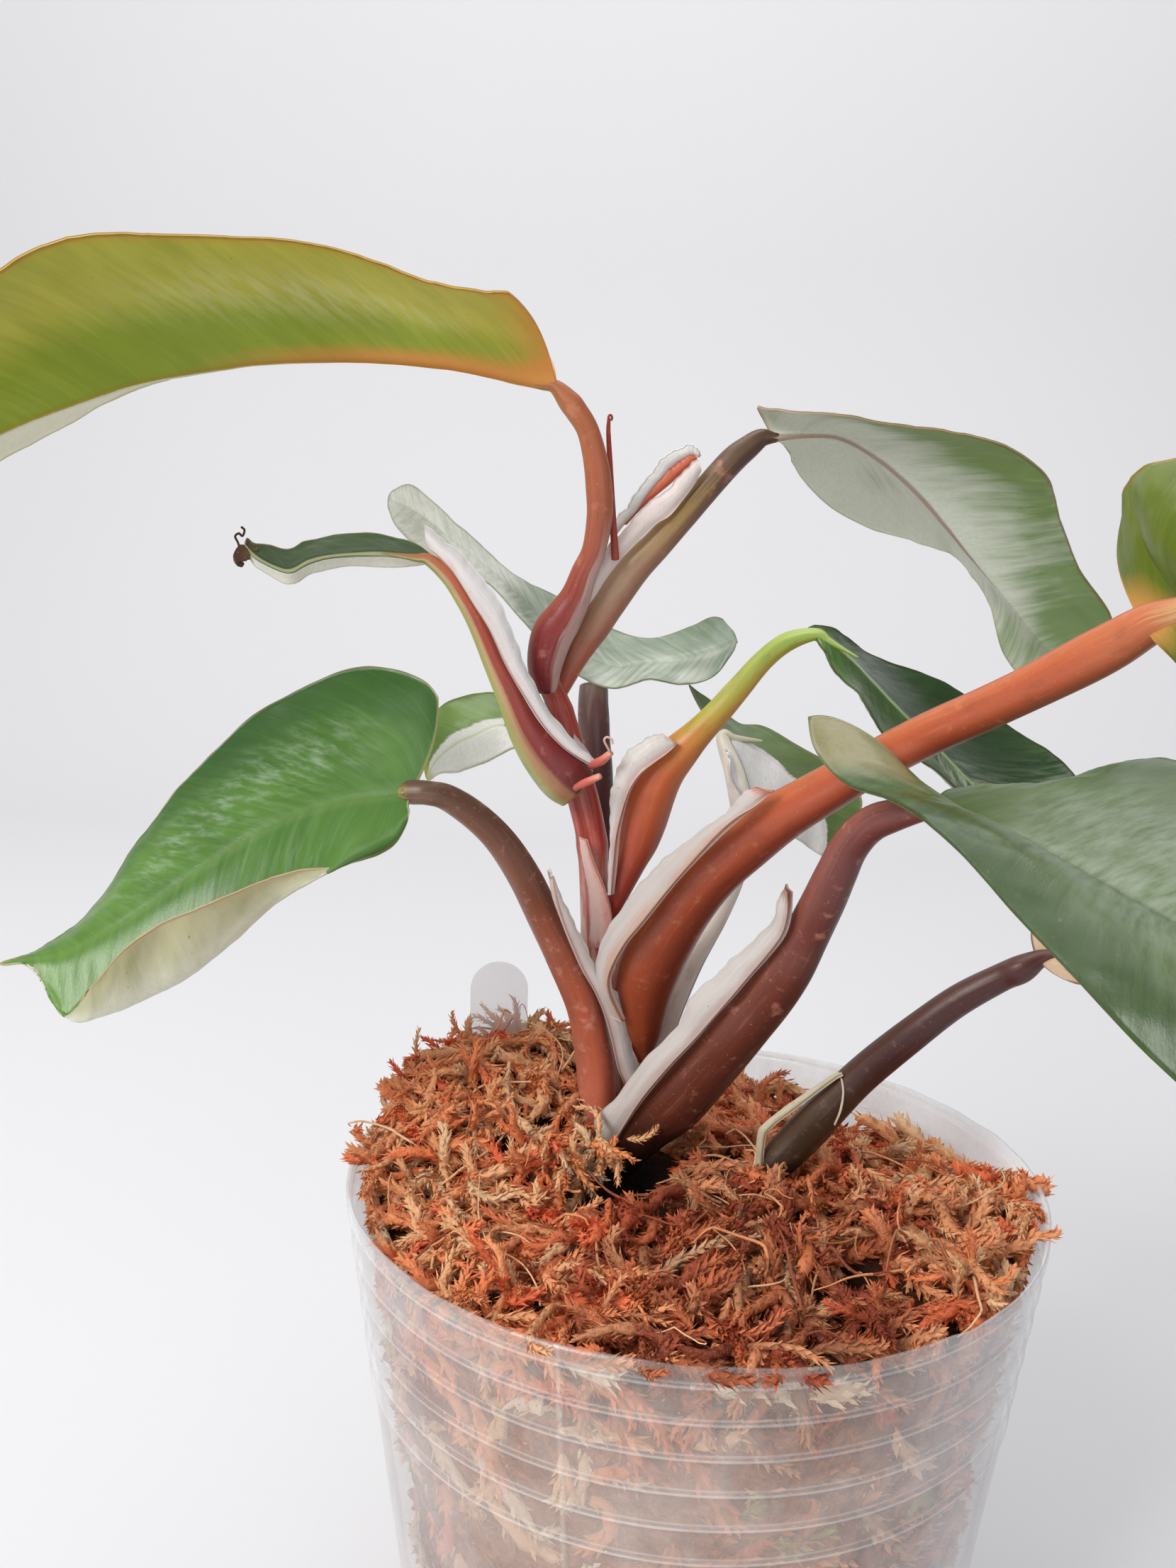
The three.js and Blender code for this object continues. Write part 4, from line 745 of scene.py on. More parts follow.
class Nodes:
    def __init__(self, name):
        self.mat = bpy.data.materials.new(name)
        self.mat.use_nodes = True
        self.t = self.mat.node_tree
        self.t.nodes.clear()
        self.out = self.t.nodes.new("ShaderNodeOutputMaterial")

    def new(self, kind, **props):
        n = self.t.nodes.new(kind)
        for k, v in props.items():
            setattr(n, k, v)
        return n

    def put(self, socket, value):
        if isinstance(value, bpy.types.NodeSocket):
            self.t.links.new(value, socket)
        elif value is not None:
            socket.default_value = value

    def math(self, op, a, b=None, c=None, clamp=False):
        n = self.new("ShaderNodeMath", operation=op, use_clamp=clamp)
        self.put(n.inputs[0], a)
        if b is not None:
            self.put(n.inputs[1], b)
        if c is not None:
            self.put(n.inputs[2], c)
        return n.outputs[0]

    def mix(self, fac, a, b, blend="MIX"):
        n = self.new("ShaderNodeMix", data_type="RGBA", blend_type=blend)
        n.clamp_factor = True
        self.put(n.inputs[0], fac)
        self.put(n.inputs[6], a)
        self.put(n.inputs[7], b)
        return n.outputs[2]

    def attr(self, name):
        return self.new("ShaderNodeAttribute", attribute_name=name).outputs["Fac"]

    def attr_color(self, name):
        return self.new("ShaderNodeAttribute", attribute_name=name).outputs["Color"]

    def combine(self, x, y, z=0.0):
        n = self.new("ShaderNodeCombineXYZ")
        for s, v in zip(n.inputs, (x, y, z)):
            self.put(s, v)
        return n.outputs[0]

    def noise(self, vec, scale, detail=4.0, rough=0.55, dist=0.0):
        n = self.new("ShaderNodeTexNoise")
        self.put(n.inputs["Vector"], vec)
        n.inputs["Scale"].default_value = scale
        n.inputs["Detail"].default_value = detail
        n.inputs["Roughness"].default_value = rough
        n.inputs["Distortion"].default_value = dist
        return n.outputs["Fac"]

    def smoothstep(self, x, lo, hi):
        n = self.new("ShaderNodeMapRange", interpolation_type="SMOOTHSTEP")
        self.put(n.inputs["Value"], x)
        self.put(n.inputs["From Min"], lo)
        self.put(n.inputs["From Max"], hi)
        n.inputs["To Min"].default_value = 0.0
        n.inputs["To Max"].default_value = 1.0
        return n.outputs["Result"]

    def ramp(self, x, stops):
        n = self.new("ShaderNodeValToRGB")
        els = n.color_ramp.elements
        while len(els) < len(stops):
            els.new(0.5)
        for e, (p, c) in zip(els, stops):
            e.position = p
            e.color = c
        self.put(n.inputs["Fac"], x)
        return n.outputs["Color"]

    def bump(self, height, strength=0.3, distance=0.0002, normal=None):
        n = self.new("ShaderNodeBump")
        n.inputs["Strength"].default_value = strength
        n.inputs["Distance"].default_value = distance
        self.put(n.inputs["Height"], height)
        if normal is not None:
            self.put(n.inputs["Normal"], normal)
        return n.outputs["Normal"]

    def bsdf(self, color, rough=0.4, normal=None, spec=0.5, coat=0.0, coat_rough=0.15, subsurface=0.0, sss_radius=(1, 0.6, 0.3), sss_scale=0.001, alpha=None, **kw):
        n = self.new("ShaderNodeBsdfPrincipled")
        self.put(n.inputs["Base Color"], color)
        self.put(n.inputs["Roughness"], rough)
        n.inputs["Specular IOR Level"].default_value = spec
        n.inputs["Coat Weight"].default_value = coat
        n.inputs["Coat Roughness"].default_value = coat_rough
        if subsurface:
            n.inputs["Subsurface Weight"].default_value = subsurface
            n.inputs["Subsurface Radius"].default_value = sss_radius
            n.inputs["Subsurface Scale"].default_value = sss_scale
        if normal is not None:
            self.put(n.inputs["Normal"], normal)
        return n.outputs[0]

    def finish(self, shader):
        self.t.links.new(shader, self.out.inputs["Surface"])
        return self.mat


def position_mm(m):
    geo = m.new("ShaderNodeTexCoord")
    n = m.new("ShaderNodeVectorMath", operation="SCALE")
    m.t.links.new(geo.outputs["Object"], n.inputs[0])
    n.inputs["Scale"].default_value = 1000.0
    return n.outputs[0]


# ------------------------------------------------------------------ leaf blades
def leaf_material(name, green_a, green_b, white, under, midrib, margin, warm, seed=0.0, streak=0.75, rough=0.34, sharp=0.10, under_fac=0.45, rib_fac=0.75, veins=0.04, painted_sheen=rgb(176, 194, 170), painted_sheen_amt=0.6, edge_w=0.5, patchy=(0.40, 0.64), vein_bump=0.12):
    m = Nodes(name)
    vw, dm, ed, top = m.attr("vw"), m.attr("dm"), m.attr("ed"), m.attr("top")
    vg, gm, wm = m.attr("vg"), m.attr("gm"), m.attr("wm")
    adm = m.math("ABSOLUTE", dm)
    # streaks run along the side veins: stretched far along them and narrow across
    fine = m.noise(m.combine(m.math("MULTIPLY", vw, 1.15), m.math("MULTIPLY", dm, 0.10), seed), 1.0, 6.0, 0.62)
    broad = m.noise(m.combine(m.math("MULTIPLY", vw, 0.28), m.math("MULTIPLY", dm, 0.09), seed + 7.0), 1.0, 3.0, 0.5)
    speck = m.noise(m.combine(m.math("MULTIPLY", vw, 3.0), m.math("MULTIPLY", dm, 1.6), seed + 3.0), 1.0, 3.0, 0.6)
    bias = m.math("ADD", vg, m.math("MULTIPLY", m.math("SUBTRACT", fine, 0.5), streak))
    bias = m.math("ADD", bias, m.math("MULTIPLY", m.math("SUBTRACT", broad, 0.5), streak * 0.9))
    bias = m.math("ADD", bias, m.math("MULTIPLY", m.math("SUBTRACT", speck, 0.5), streak * 0.25))
    wfac = m.smoothstep(bias, 0.5 - sharp, 0.5 + sharp)
    gfac = m.math("ADD", gm, m.math("MULTIPLY", m.math("SUBTRACT", fine, 0.5), 0.9), clamp=True)
    col = m.mix(gfac, green_a, green_b)
    dark = m.math("MULTIPLY", m.smoothstep(broad, 0.35, 0.7), 0.22)
    col = m.mix(dark, col, tuple(c * 0.45 for c in green_a[:3]) + (1.0,))
    wcol = m.mix(m.smoothstep(speck, 0.35, 0.75), white, tuple(min(1, c * 0.86) for c in white[:3]) + (1.0,))
    col = m.mix(wfac, col, wcol)
    col = m.mix(m.math("MULTIPLY", m.math("SUBTRACT", 1.0, top), under_fac), col, under)
    # painted sheen: a painted reflection of the lamps, broken into patches between the veins
    patch = m.noise(m.combine(m.math("MULTIPLY", vw, 0.95), m.math("MULTIPLY", dm, 0.30), seed + 17.0), 1.0, 4.0, 0.62)
    painted_sheen_fac = m.math("MULTIPLY", m.smoothstep(patch, *patchy), m.math("MULTIPLY", m.attr("sh"), painted_sheen_amt))
    col = m.mix(painted_sheen_fac, col, painted_sheen)
    # side veins show as faint pale lines
    vein = m.math("SINE", m.math("MULTIPLY", vw, 2.6))
    vline = m.smoothstep(vein, 0.86, 1.0)
    col = m.mix(m.math("MULTIPLY", vline, veins), col, tuple(min(1, c * 1.7 + 0.03) for c in green_b[:3]) + (1.0,))
    wn = m.math("ADD", wm, m.math("MULTIPLY", m.math("SUBTRACT", fine, 0.5), 0.35), clamp=True)
    col = m.mix(m.math("MULTIPLY", wn, m.smoothstep(wm, 0.0, 0.15)), col, warm)
    rib = m.math("MULTIPLY", m.math("SUBTRACT", 1.0, m.smoothstep(adm, m.math("MULTIPLY", m.attr("rw"), 0.45), m.attr("rw"))), rib_fac)
    col = m.mix(rib, col, midrib)
    edge = m.math("MULTIPLY", m.math("SUBTRACT", 1.0, m.smoothstep(ed, edge_w * 0.3, edge_w)), m.attr("es"))
    col = m.mix(edge, col, margin)
    # brown pin-prick specks
    spots = m.noise(m.combine(m.math("MULTIPLY", vw, 1.9), m.math("MULTIPLY", dm, 1.9), seed + 11.0), 1.0, 1.0, 0.4)
    col = m.mix(m.math("MULTIPLY", m.smoothstep(spots, 0.77, 0.80), 0.55), col, rgb(120, 88, 58))
    h = m.math("ADD", m.math("MULTIPLY", vein, vein_bump), m.math("MULTIPLY", fine, 0.8))
    h = m.math("ADD", h, m.math("MULTIPLY", speck, 0.35))
    nrm = m.bump(h, 0.32, 0.00016)
    cell = m.noise(position_mm(m), 3.2, 3.0, 0.6)
    nrm = m.bump(cell, 0.22, 0.00008, nrm)
    r = m.math("ADD", rough - 0.07, m.math("MULTIPLY", speck, 0.16))
    r = m.math("ADD", r, m.math("MULTIPLY", m.math("SUBTRACT", 1.0, top), 0.12))
    sh = m.bsdf(col, r, nrm, spec=0.42, coat=0.12, coat_rough=0.28, subsurface=0.10, sss_radius=(0.9, 1.0, 0.35), sss_scale=0.0012)
    return m.finish(sh)


def blade(name, spec, regions, material, thick=0.42, wave=0.35, waves=5.0, rib_h=0.9, rib_w=0.75, nu=90, nv=44, round_base=0.05, seed=0.0, vein_angle=0.8, slot=None, painted_sheen=None, edges=(0.85, 0.85), ripple=0.02, rib_end=1.2):
    rows = np.array(spec["rows"], float)
    nrow, ncol, _ = rows.shape
    cols = [spline(rows[:, c], 401) for c in range(ncol)]
    v = np.linspace(0, 1, nv)
    s = 2 * v - 1
    u0 = round_base * np.abs(s) ** 5
    u1 = 1 - 0.012 * np.abs(s) ** 4
    U = u0[None, :] + (u1 - u0)[None, :] * np.linspace(0, 1, nu)[:, None]
    V = np.broadcast_to(v, U.shape)
    fi = U * 400
    i0 = np.minimum(fi.astype(int), 399)
    w = (fi - i0)[..., None]
    C = [c[i0] * (1 - w) + c[i0 + 1] * w for c in cols]
    if ncol == 3:
        mid_v = 0.5
        f = V * 2
        k = np.minimum(f.astype(int), 1)
        t = (f - k)[..., None]
        A = np.where((k == 0)[..., None], C[0], C[1])
        B = np.where((k == 0)[..., None], C[1], C[2])
        P = A * (1 - t) + B * t
    else:
        ctrl = np.stack(C, 2)
        ext = np.concatenate([2 * ctrl[:, :, :1] - ctrl[:, :, 1:2], ctrl, 2 * ctrl[:, :, -1:] - ctrl[:, :, -2:-1]], 2)
        mid_v = 2.0 / 3.0
        f = V * (ncol - 1)
        k = np.minimum(f.astype(int), ncol - 2)
        t = (f - k)[..., None]
        take = lambda n: np.take_along_axis(ext, (k + n)[..., None, None], 2)[:, :, 0]
        p0, p1, p2, p3 = take(0), take(1), take(2), take(3)
        P = 0.5 * (2 * p1 + (p2 - p0) * t + (2 * p0 - 5 * p1 + 4 * p2 - p3) * t**2 + (3 * p1 - p0 - 3 * p2 + p3) * t**3)
    # signed place across the blade: -1 at one margin, 0 on the midrib, 1 at the other margin
    S = np.where(V < mid_v, V / mid_v - 1, (V - mid_v) / (1 - mid_v))
    half_w = [np.linalg.norm(C[0] - C[1 if ncol == 3 else 2], axis=-1), np.linalg.norm(C[-1] - C[1 if ncol == 3 else 2], axis=-1)]
    HW = np.where(S < 0, half_w[0], half_w[1])

    def normals(Q):
        du = np.gradient(Q, axis=0)
        dv = np.gradient(Q, axis=1)
        return unit(np.cross(du, dv))

    N = normals(P)
    # The cup bows each half; the sign of the data follows the same rule as the solid part's.
    if ncol == 3:
        cup = np.where(S < 0, spec["cup"][0], spec["cup"][1])
        a = np.abs(S)
        Nc = N.copy()
        P = P + Nc * (cup * HW * 4 * a * (1 - a))[..., None]
        N = normals(P)
    # soft margin waves and a little unevenness
    L = np.concatenate([[0], np.cumsum(np.linalg.norm(np.diff(P[:, nv // 2], axis=0), axis=1))])
    length = L[-1]
    LU = U * length
    body = smooth(0.0, 0.10, U) * (1 - smooth(0.86, 1.0, U))
    ruff = np.sin(U * waves * 2 * math.pi + 1.7 * np.sign(S) + seed) * wave * np.abs(S) ** 2.2
    ruff = ruff + 0.16 * wave_noise(LU * 0.45, S * HW * 0.45, seed) * (0.4 + np.abs(S))
    P = P + N * (ruff * body)[..., None]
    N = normals(P)
    up = 1.0 if (N[..., 2] * HW).sum() > 0 else -1.0
    up *= spec.get("flip", 1)
    dm = S * HW
    ed = (1 - np.abs(S)) * HW
    end = np.minimum(LU - u0[None, :] * length, (1 - U) * length * 0.7)
    ed = np.minimum(ed, np.maximum(end, 0) + 0.0)
    rib = np.exp(-((dm / rib_w) ** 2)) * (1 - 0.75 * U) * (1 - smooth(rib_end - 0.25, rib_end, U))
    th = thick * (0.62 + 0.38 * smooth(0, 2.5, ed))
    vein = np.cos(2.6 * (LU - vein_angle * np.abs(dm)))
    vfade = smooth(0.6, 2.5, np.abs(dm)) * smooth(0.2, 1.5, ed) * (1 - smooth(0.7, 0.9, U))
    topP = P + N * (up * (th / 2 - 0.28 * rib + ripple * vein * vfade))[..., None]
    botP = P - N * (up * (th / 2 + rib_h * rib - ripple * vein * vfade))[..., None]
    verts = np.concatenate([topP.reshape(-1, 3), botP.reshape(-1, 3)])
    n = nu * nv
    flip = up < 0
    q1 = grid_quads(nu, nv, 0, flip)
    q2 = grid_quads(nu, nv, n, not flip)
    loop = [i * nv for i in range(nu)] + [(nu - 1) * nv + j for j in range(1, nv)] + [i * nv + nv - 1 for i in range(nu - 2, -1, -1)] + [j for j in range(nv - 2, 0, -1)]
    loop = np.array(loop)
    nxt = np.roll(loop, -1)
    q3 = np.stack([loop, loop + n, nxt + n, nxt], -1)
    if not flip:
        q3 = q3[:, ::-1]
    # grid_quads winds (row, col) so that the face looks along du x dv; the rim quads close it
    quads = np.concatenate([q1[:, ::-1], q2[:, ::-1], q3])
    uu, ss = U.ravel(), S.ravel()
    two = lambda a: np.concatenate([a.ravel(), a.ravel()])
    vg, gm, wm = regions(U, S, LU, dm, ed)
    top = np.concatenate([np.ones(n), np.zeros(n)])
    vgt = np.concatenate([vg[0].ravel(), vg[1].ravel()]) if isinstance(vg, tuple) else two(vg)
    rw = np.maximum(rib_w * (1.5 - 1.0 * U) * (1 - smooth(rib_end - 0.3, rib_end, U)), 0.02)
    # where the painted sheen (a painted reflection) lies on the blade
    sh = np.zeros_like(U) if painted_sheen is None else painted_sheen(U, S, LU, dm, ed)
    es = np.where(S < 0, edges[0], edges[1])
    wmt = np.concatenate([wm[0].ravel(), wm[1].ravel()]) if isinstance(wm, tuple) else two(wm + 0 * U)
    attrs = dict(vw=two(LU - vein_angle * np.abs(dm)), dm=two(dm), ed=two(ed), top=top, vg=vgt, gm=two(gm + 0 * U), wm=wmt, rw=two(rw), sh=two(sh), es=two(es))
    o = build_mesh(name, verts, quads=quads, attrs=attrs, uv=np.stack([two(U), two((S + 1) / 2)], -1), mats=[material])
    return o


# ------------------------------------------------------------------ stalks
FACING = unit(np.array([0.05, 1.0, -0.12]))


def tube(stations, n, sides, swell=None, twist=0.0, cap=True):
    st = np.array(stations, float)
    q = spline(st, n)
    c, a, b = q[:, :3], np.maximum(q[:, 3], 0.15), np.maximum(q[:, 4], 0.15)
    T = unit(np.gradient(c, axis=0))
    W = unit(np.cross(T, FACING))
    D = unit(np.cross(W, T))
    ang = np.linspace(0, 2 * math.pi, sides, endpoint=False)
    ca, sa = np.cos(ang), np.sin(ang)
    A = a[:, None] * np.ones(sides)
    B = b[:, None] * np.ones(sides)
    if swell is not None:
        k = swell(np.linspace(0, 1, n)[:, None], ang[None, :])
        A, B = A * k, B * k
    ring = c[:, None] + W[:, None] * (A * ca)[..., None] + D[:, None] * (B * sa)[..., None]
    verts = ring.reshape(-1, 3)
    quads = grid_quads(n, sides, 0, False, wrap=True)
    t = np.repeat(np.linspace(0, 1, n), sides)
    an = np.tile(ang, n)
    s = np.repeat(np.concatenate([[0], np.cumsum(np.linalg.norm(np.diff(c, axis=0), axis=1))]), sides)
    tris = None
    if cap:
        k = len(verts)
        # rounded ends
        v0 = c[0] - T[0] * min(a[0], b[0]) * 0.35
        v1 = c[-1] + T[-1] * min(a[-1], b[-1]) * 0.35
        verts = np.vstack([verts, v0, v1])
        j = np.arange(sides)
        j2 = (j + 1) % sides
        base = (n - 1) * sides
        tris = np.concatenate([np.stack([np.full(sides, k), j2, j], -1), np.stack([np.full(sides, k + 1), base + j, base + j2], -1)])
        t = np.append(t, [0, 1])
        an = np.append(an, [0, 0])
        s = np.append(s, [s[0], s[-1]])
    return verts, quads, tris, t, an, s


def stalk_material(name, stops, seed=0.0, rough=0.38, side=None, speckle=0.35, light=rgb(214, 150, 120), coat=0.07, blotch=0.3):
    """stops is a colour ramp from the base to the blade; side is (ramp, amount, phase, lo, hi) tints for one face of
    the stalk: some are its own colour bands, others painted highlight on the lit face or painted shade on the shaded
    face.
    """
    m = Nodes(name)
    t, an, s = m.attr("t"), m.attr("an"), m.attr("s")
    cx = m.math("MULTIPLY", m.math("COSINE", an), 3.0)
    sx = m.math("MULTIPLY", m.math("SINE", an), 3.0)
    streak = m.noise(m.combine(cx, sx, m.math("ADD", m.math("MULTIPLY", s, 0.05), seed)), 1.6, 5.0, 0.62)
    blot = m.noise(m.combine(m.math("MULTIPLY", cx, 0.4), m.math("MULTIPLY", sx, 0.4), m.math("ADD", m.math("MULTIPLY", s, 0.22), seed + 4)), 1.0, 4.0, 0.6)
    tt = m.math("ADD", t, m.math("MULTIPLY", m.math("SUBTRACT", streak, 0.5), 0.22), clamp=True)
    col = m.ramp(tt, stops)
    # side tints: real colour bands on some stalks, painted highlight or painted shade on others
    for ramp, amount, phase, lo, hi in side or ():
        face = m.math("COSINE", m.math("ADD", an, phase))
        face = m.math("ADD", face, m.math("MULTIPLY", m.math("SUBTRACT", streak, 0.5), 0.35))
        face = m.math("MULTIPLY", m.smoothstep(face, lo, hi), amount)
        col = m.mix(face, col, m.ramp(tt, ramp))
    col = m.mix(m.math("MULTIPLY", m.smoothstep(streak, 0.55, 0.80), 0.22), col, light)
    col = m.mix(m.math("MULTIPLY", m.smoothstep(blot, 0.50, 0.75), 0.25), col, (0.06, 0.018, 0.012, 1.0))
    bl = m.noise(position_mm(m), 0.42, 5.0, 0.6)
    col = m.mix(m.math("MULTIPLY", m.smoothstep(bl, 0.58, 0.74), blotch), col, light)
    p = position_mm(m)
    dots = m.noise(p, 2.6, 2.0, 0.5)
    col = m.mix(m.math("MULTIPLY", m.smoothstep(dots, 0.68, 0.74), speckle), col, light)
    h = m.math("ADD", m.math("MULTIPLY", streak, 1.0), m.math("MULTIPLY", m.noise(p, 1.7, 3.0, 0.6), 0.8))
    nrm = m.bump(h, 0.25, 0.00014)
    r = m.math("ADD", rough - 0.08, m.math("MULTIPLY", blot, 0.2))
    return m.finish(m.bsdf(col, r, nrm, spec=0.45, coat=coat, coat_rough=0.3, subsurface=0.12, sss_radius=(1.0, 0.35, 0.2), sss_scale=0.0014))


def sheath_material(name, body, flush, tip, seed=0.0, flush_amt=0.35, extra=None):
    """A dry to waxy whitish sheath wing; flush tints it towards its base, tip browns its torn end."""
    m = Nodes(name)
    t, k = m.attr("t"), m.attr("k")
    fine = m.noise(m.combine(m.math("MULTIPLY", k, 9.0), m.math("MULTIPLY", t, 3.0), seed), 1.0, 5.0, 0.6)
    broad = m.noise(m.combine(m.math("MULTIPLY", k, 2.0), m.math("MULTIPLY", t, 7.0), seed + 5), 1.0, 3.0, 0.5)
    col = m.mix(m.math("MULTIPLY", m.smoothstep(fine, 0.42, 0.75), 0.5), body, tuple(min(1, c * 0.78) for c in body[:3]) + (1.0,))
    fl = m.math("MULTIPLY", m.smoothstep(m.math("ADD", k, m.math("MULTIPLY", m.math("SUBTRACT", broad, 0.5), 0.5)), 0.62, 1.0), flush_amt)
    col = m.mix(fl, col, flush)
    col = m.mix(m.math("MULTIPLY", m.smoothstep(broad, 0.60, 0.78), 0.30), col, flush)
    tipf = m.smoothstep(m.math("ADD", t, m.math("MULTIPLY", m.math("SUBTRACT", fine, 0.5), 0.16)), 0.93, 0.99)
    col = m.mix(m.math("MULTIPLY", tipf, 0.75), col, tip)
    if extra is not None:
        c, k0, k1, t0, t1, amt = extra
        band = m.math("MULTIPLY", m.smoothstep(m.math("ADD", k, m.math("MULTIPLY", m.math("SUBTRACT", fine, 0.5), 0.4)), k0, k1), m.smoothstep(m.math("ADD", t, m.math("MULTIPLY", m.math("SUBTRACT", broad, 0.5), 0.3)), t0, t1))
        col = m.mix(m.math("MULTIPLY", band, amt), col, c)
    p = position_mm(m)
    col = m.mix(m.math("MULTIPLY", m.smoothstep(m.noise(p, 1.9, 2.0, 0.5), 0.70, 0.76), 0.5), col, rgb(150, 104, 78))
    nrm = m.bump(m.math("ADD", fine, m.math("MULTIPLY", m.noise(p, 2.2, 3.0, 0.6), 0.7)), 0.35, 0.00016)
    return m.finish(m.bsdf(col, 0.42, nrm, spec=0.4, coat=0.08, coat_rough=0.3, subsurface=0.22, sss_radius=(1.0, 0.7, 0.5), sss_scale=0.0015))


def strip_mesh(a, b, n=110, m=9, thick=0.55, bow=0.5, ragged=0.22, seed=0.0, lift=0.0):
    """A sheath wing between two edges: a is the free outer edge, b is where it meets the stalk."""
    A, B = spline(a, n), spline(b, n)
    T = unit(np.gradient((A + B) / 2, axis=0))
    X = unit(A - B)
    N = unit(np.cross(T, X))
    N = np.where((N @ FACING)[:, None] > 0, -N, N)  # towards the viewer's side
    t = np.linspace(0, 1, n)
    w = np.linalg.norm(A - B, axis=1)
    rag = (np.sin(t * 47 + seed) * 0.4 + np.sin(t * 101 + 2 * seed) * 0.35 + np.sin(t * 23 + 3 * seed) * 0.5) * ragged
    A = A + X * (rag * np.minimum(1, w / 1.5))[:, None]
    k = np.linspace(0, 1, m)[None, :, None]  # 0 outer, 1 inner
    P = A[:, None] * (1 - k) + B[:, None] * k
    P = P + N[:, None] * ((bow * np.minimum(1, w / 2.5))[:, None] * np.sin(math.pi * np.linspace(0, 1, m))[None, :])[..., None]
    P = P + N[:, None] * lift
    th = thick * np.minimum(1, w / 1.2)[:, None] * (0.35 + 0.65 * np.linspace(0, 1, m) ** 0.6)[None, :]
    up = P + N[:, None] * (th / 2)[..., None]
    dn = P - N[:, None] * (th / 2)[..., None]
    verts = np.concatenate([up.reshape(-1, 3), dn.reshape(-1, 3)])
    c = n * m
    loop = [i * m for i in range(n)] + [(n - 1) * m + j for j in range(1, m)] + [i * m + m - 1 for i in range(n - 2, -1, -1)] + [j for j in range(m - 2, 0, -1)]
    loop = np.array(loop)
    nxt = np.roll(loop, -1)
    q = np.concatenate([grid_quads(n, m, 0), grid_quads(n, m, c, True), np.stack([loop, loop + c, nxt + c, nxt], -1)])
    tt = np.repeat(t, m)
    kk = np.tile(np.linspace(0, 1, m), n)
    return verts, q, np.tile(tt, 2), np.tile(kk, 2)


# ------------------------------------------------------------------ colours
WHITE = rgb(226, 224, 214)
MADE = []


def add(o, node=None):
    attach(o, "root")
    if node:
        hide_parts(node)
    MADE.append(o)
    return o


def R(*c):
    return rgb(*c)


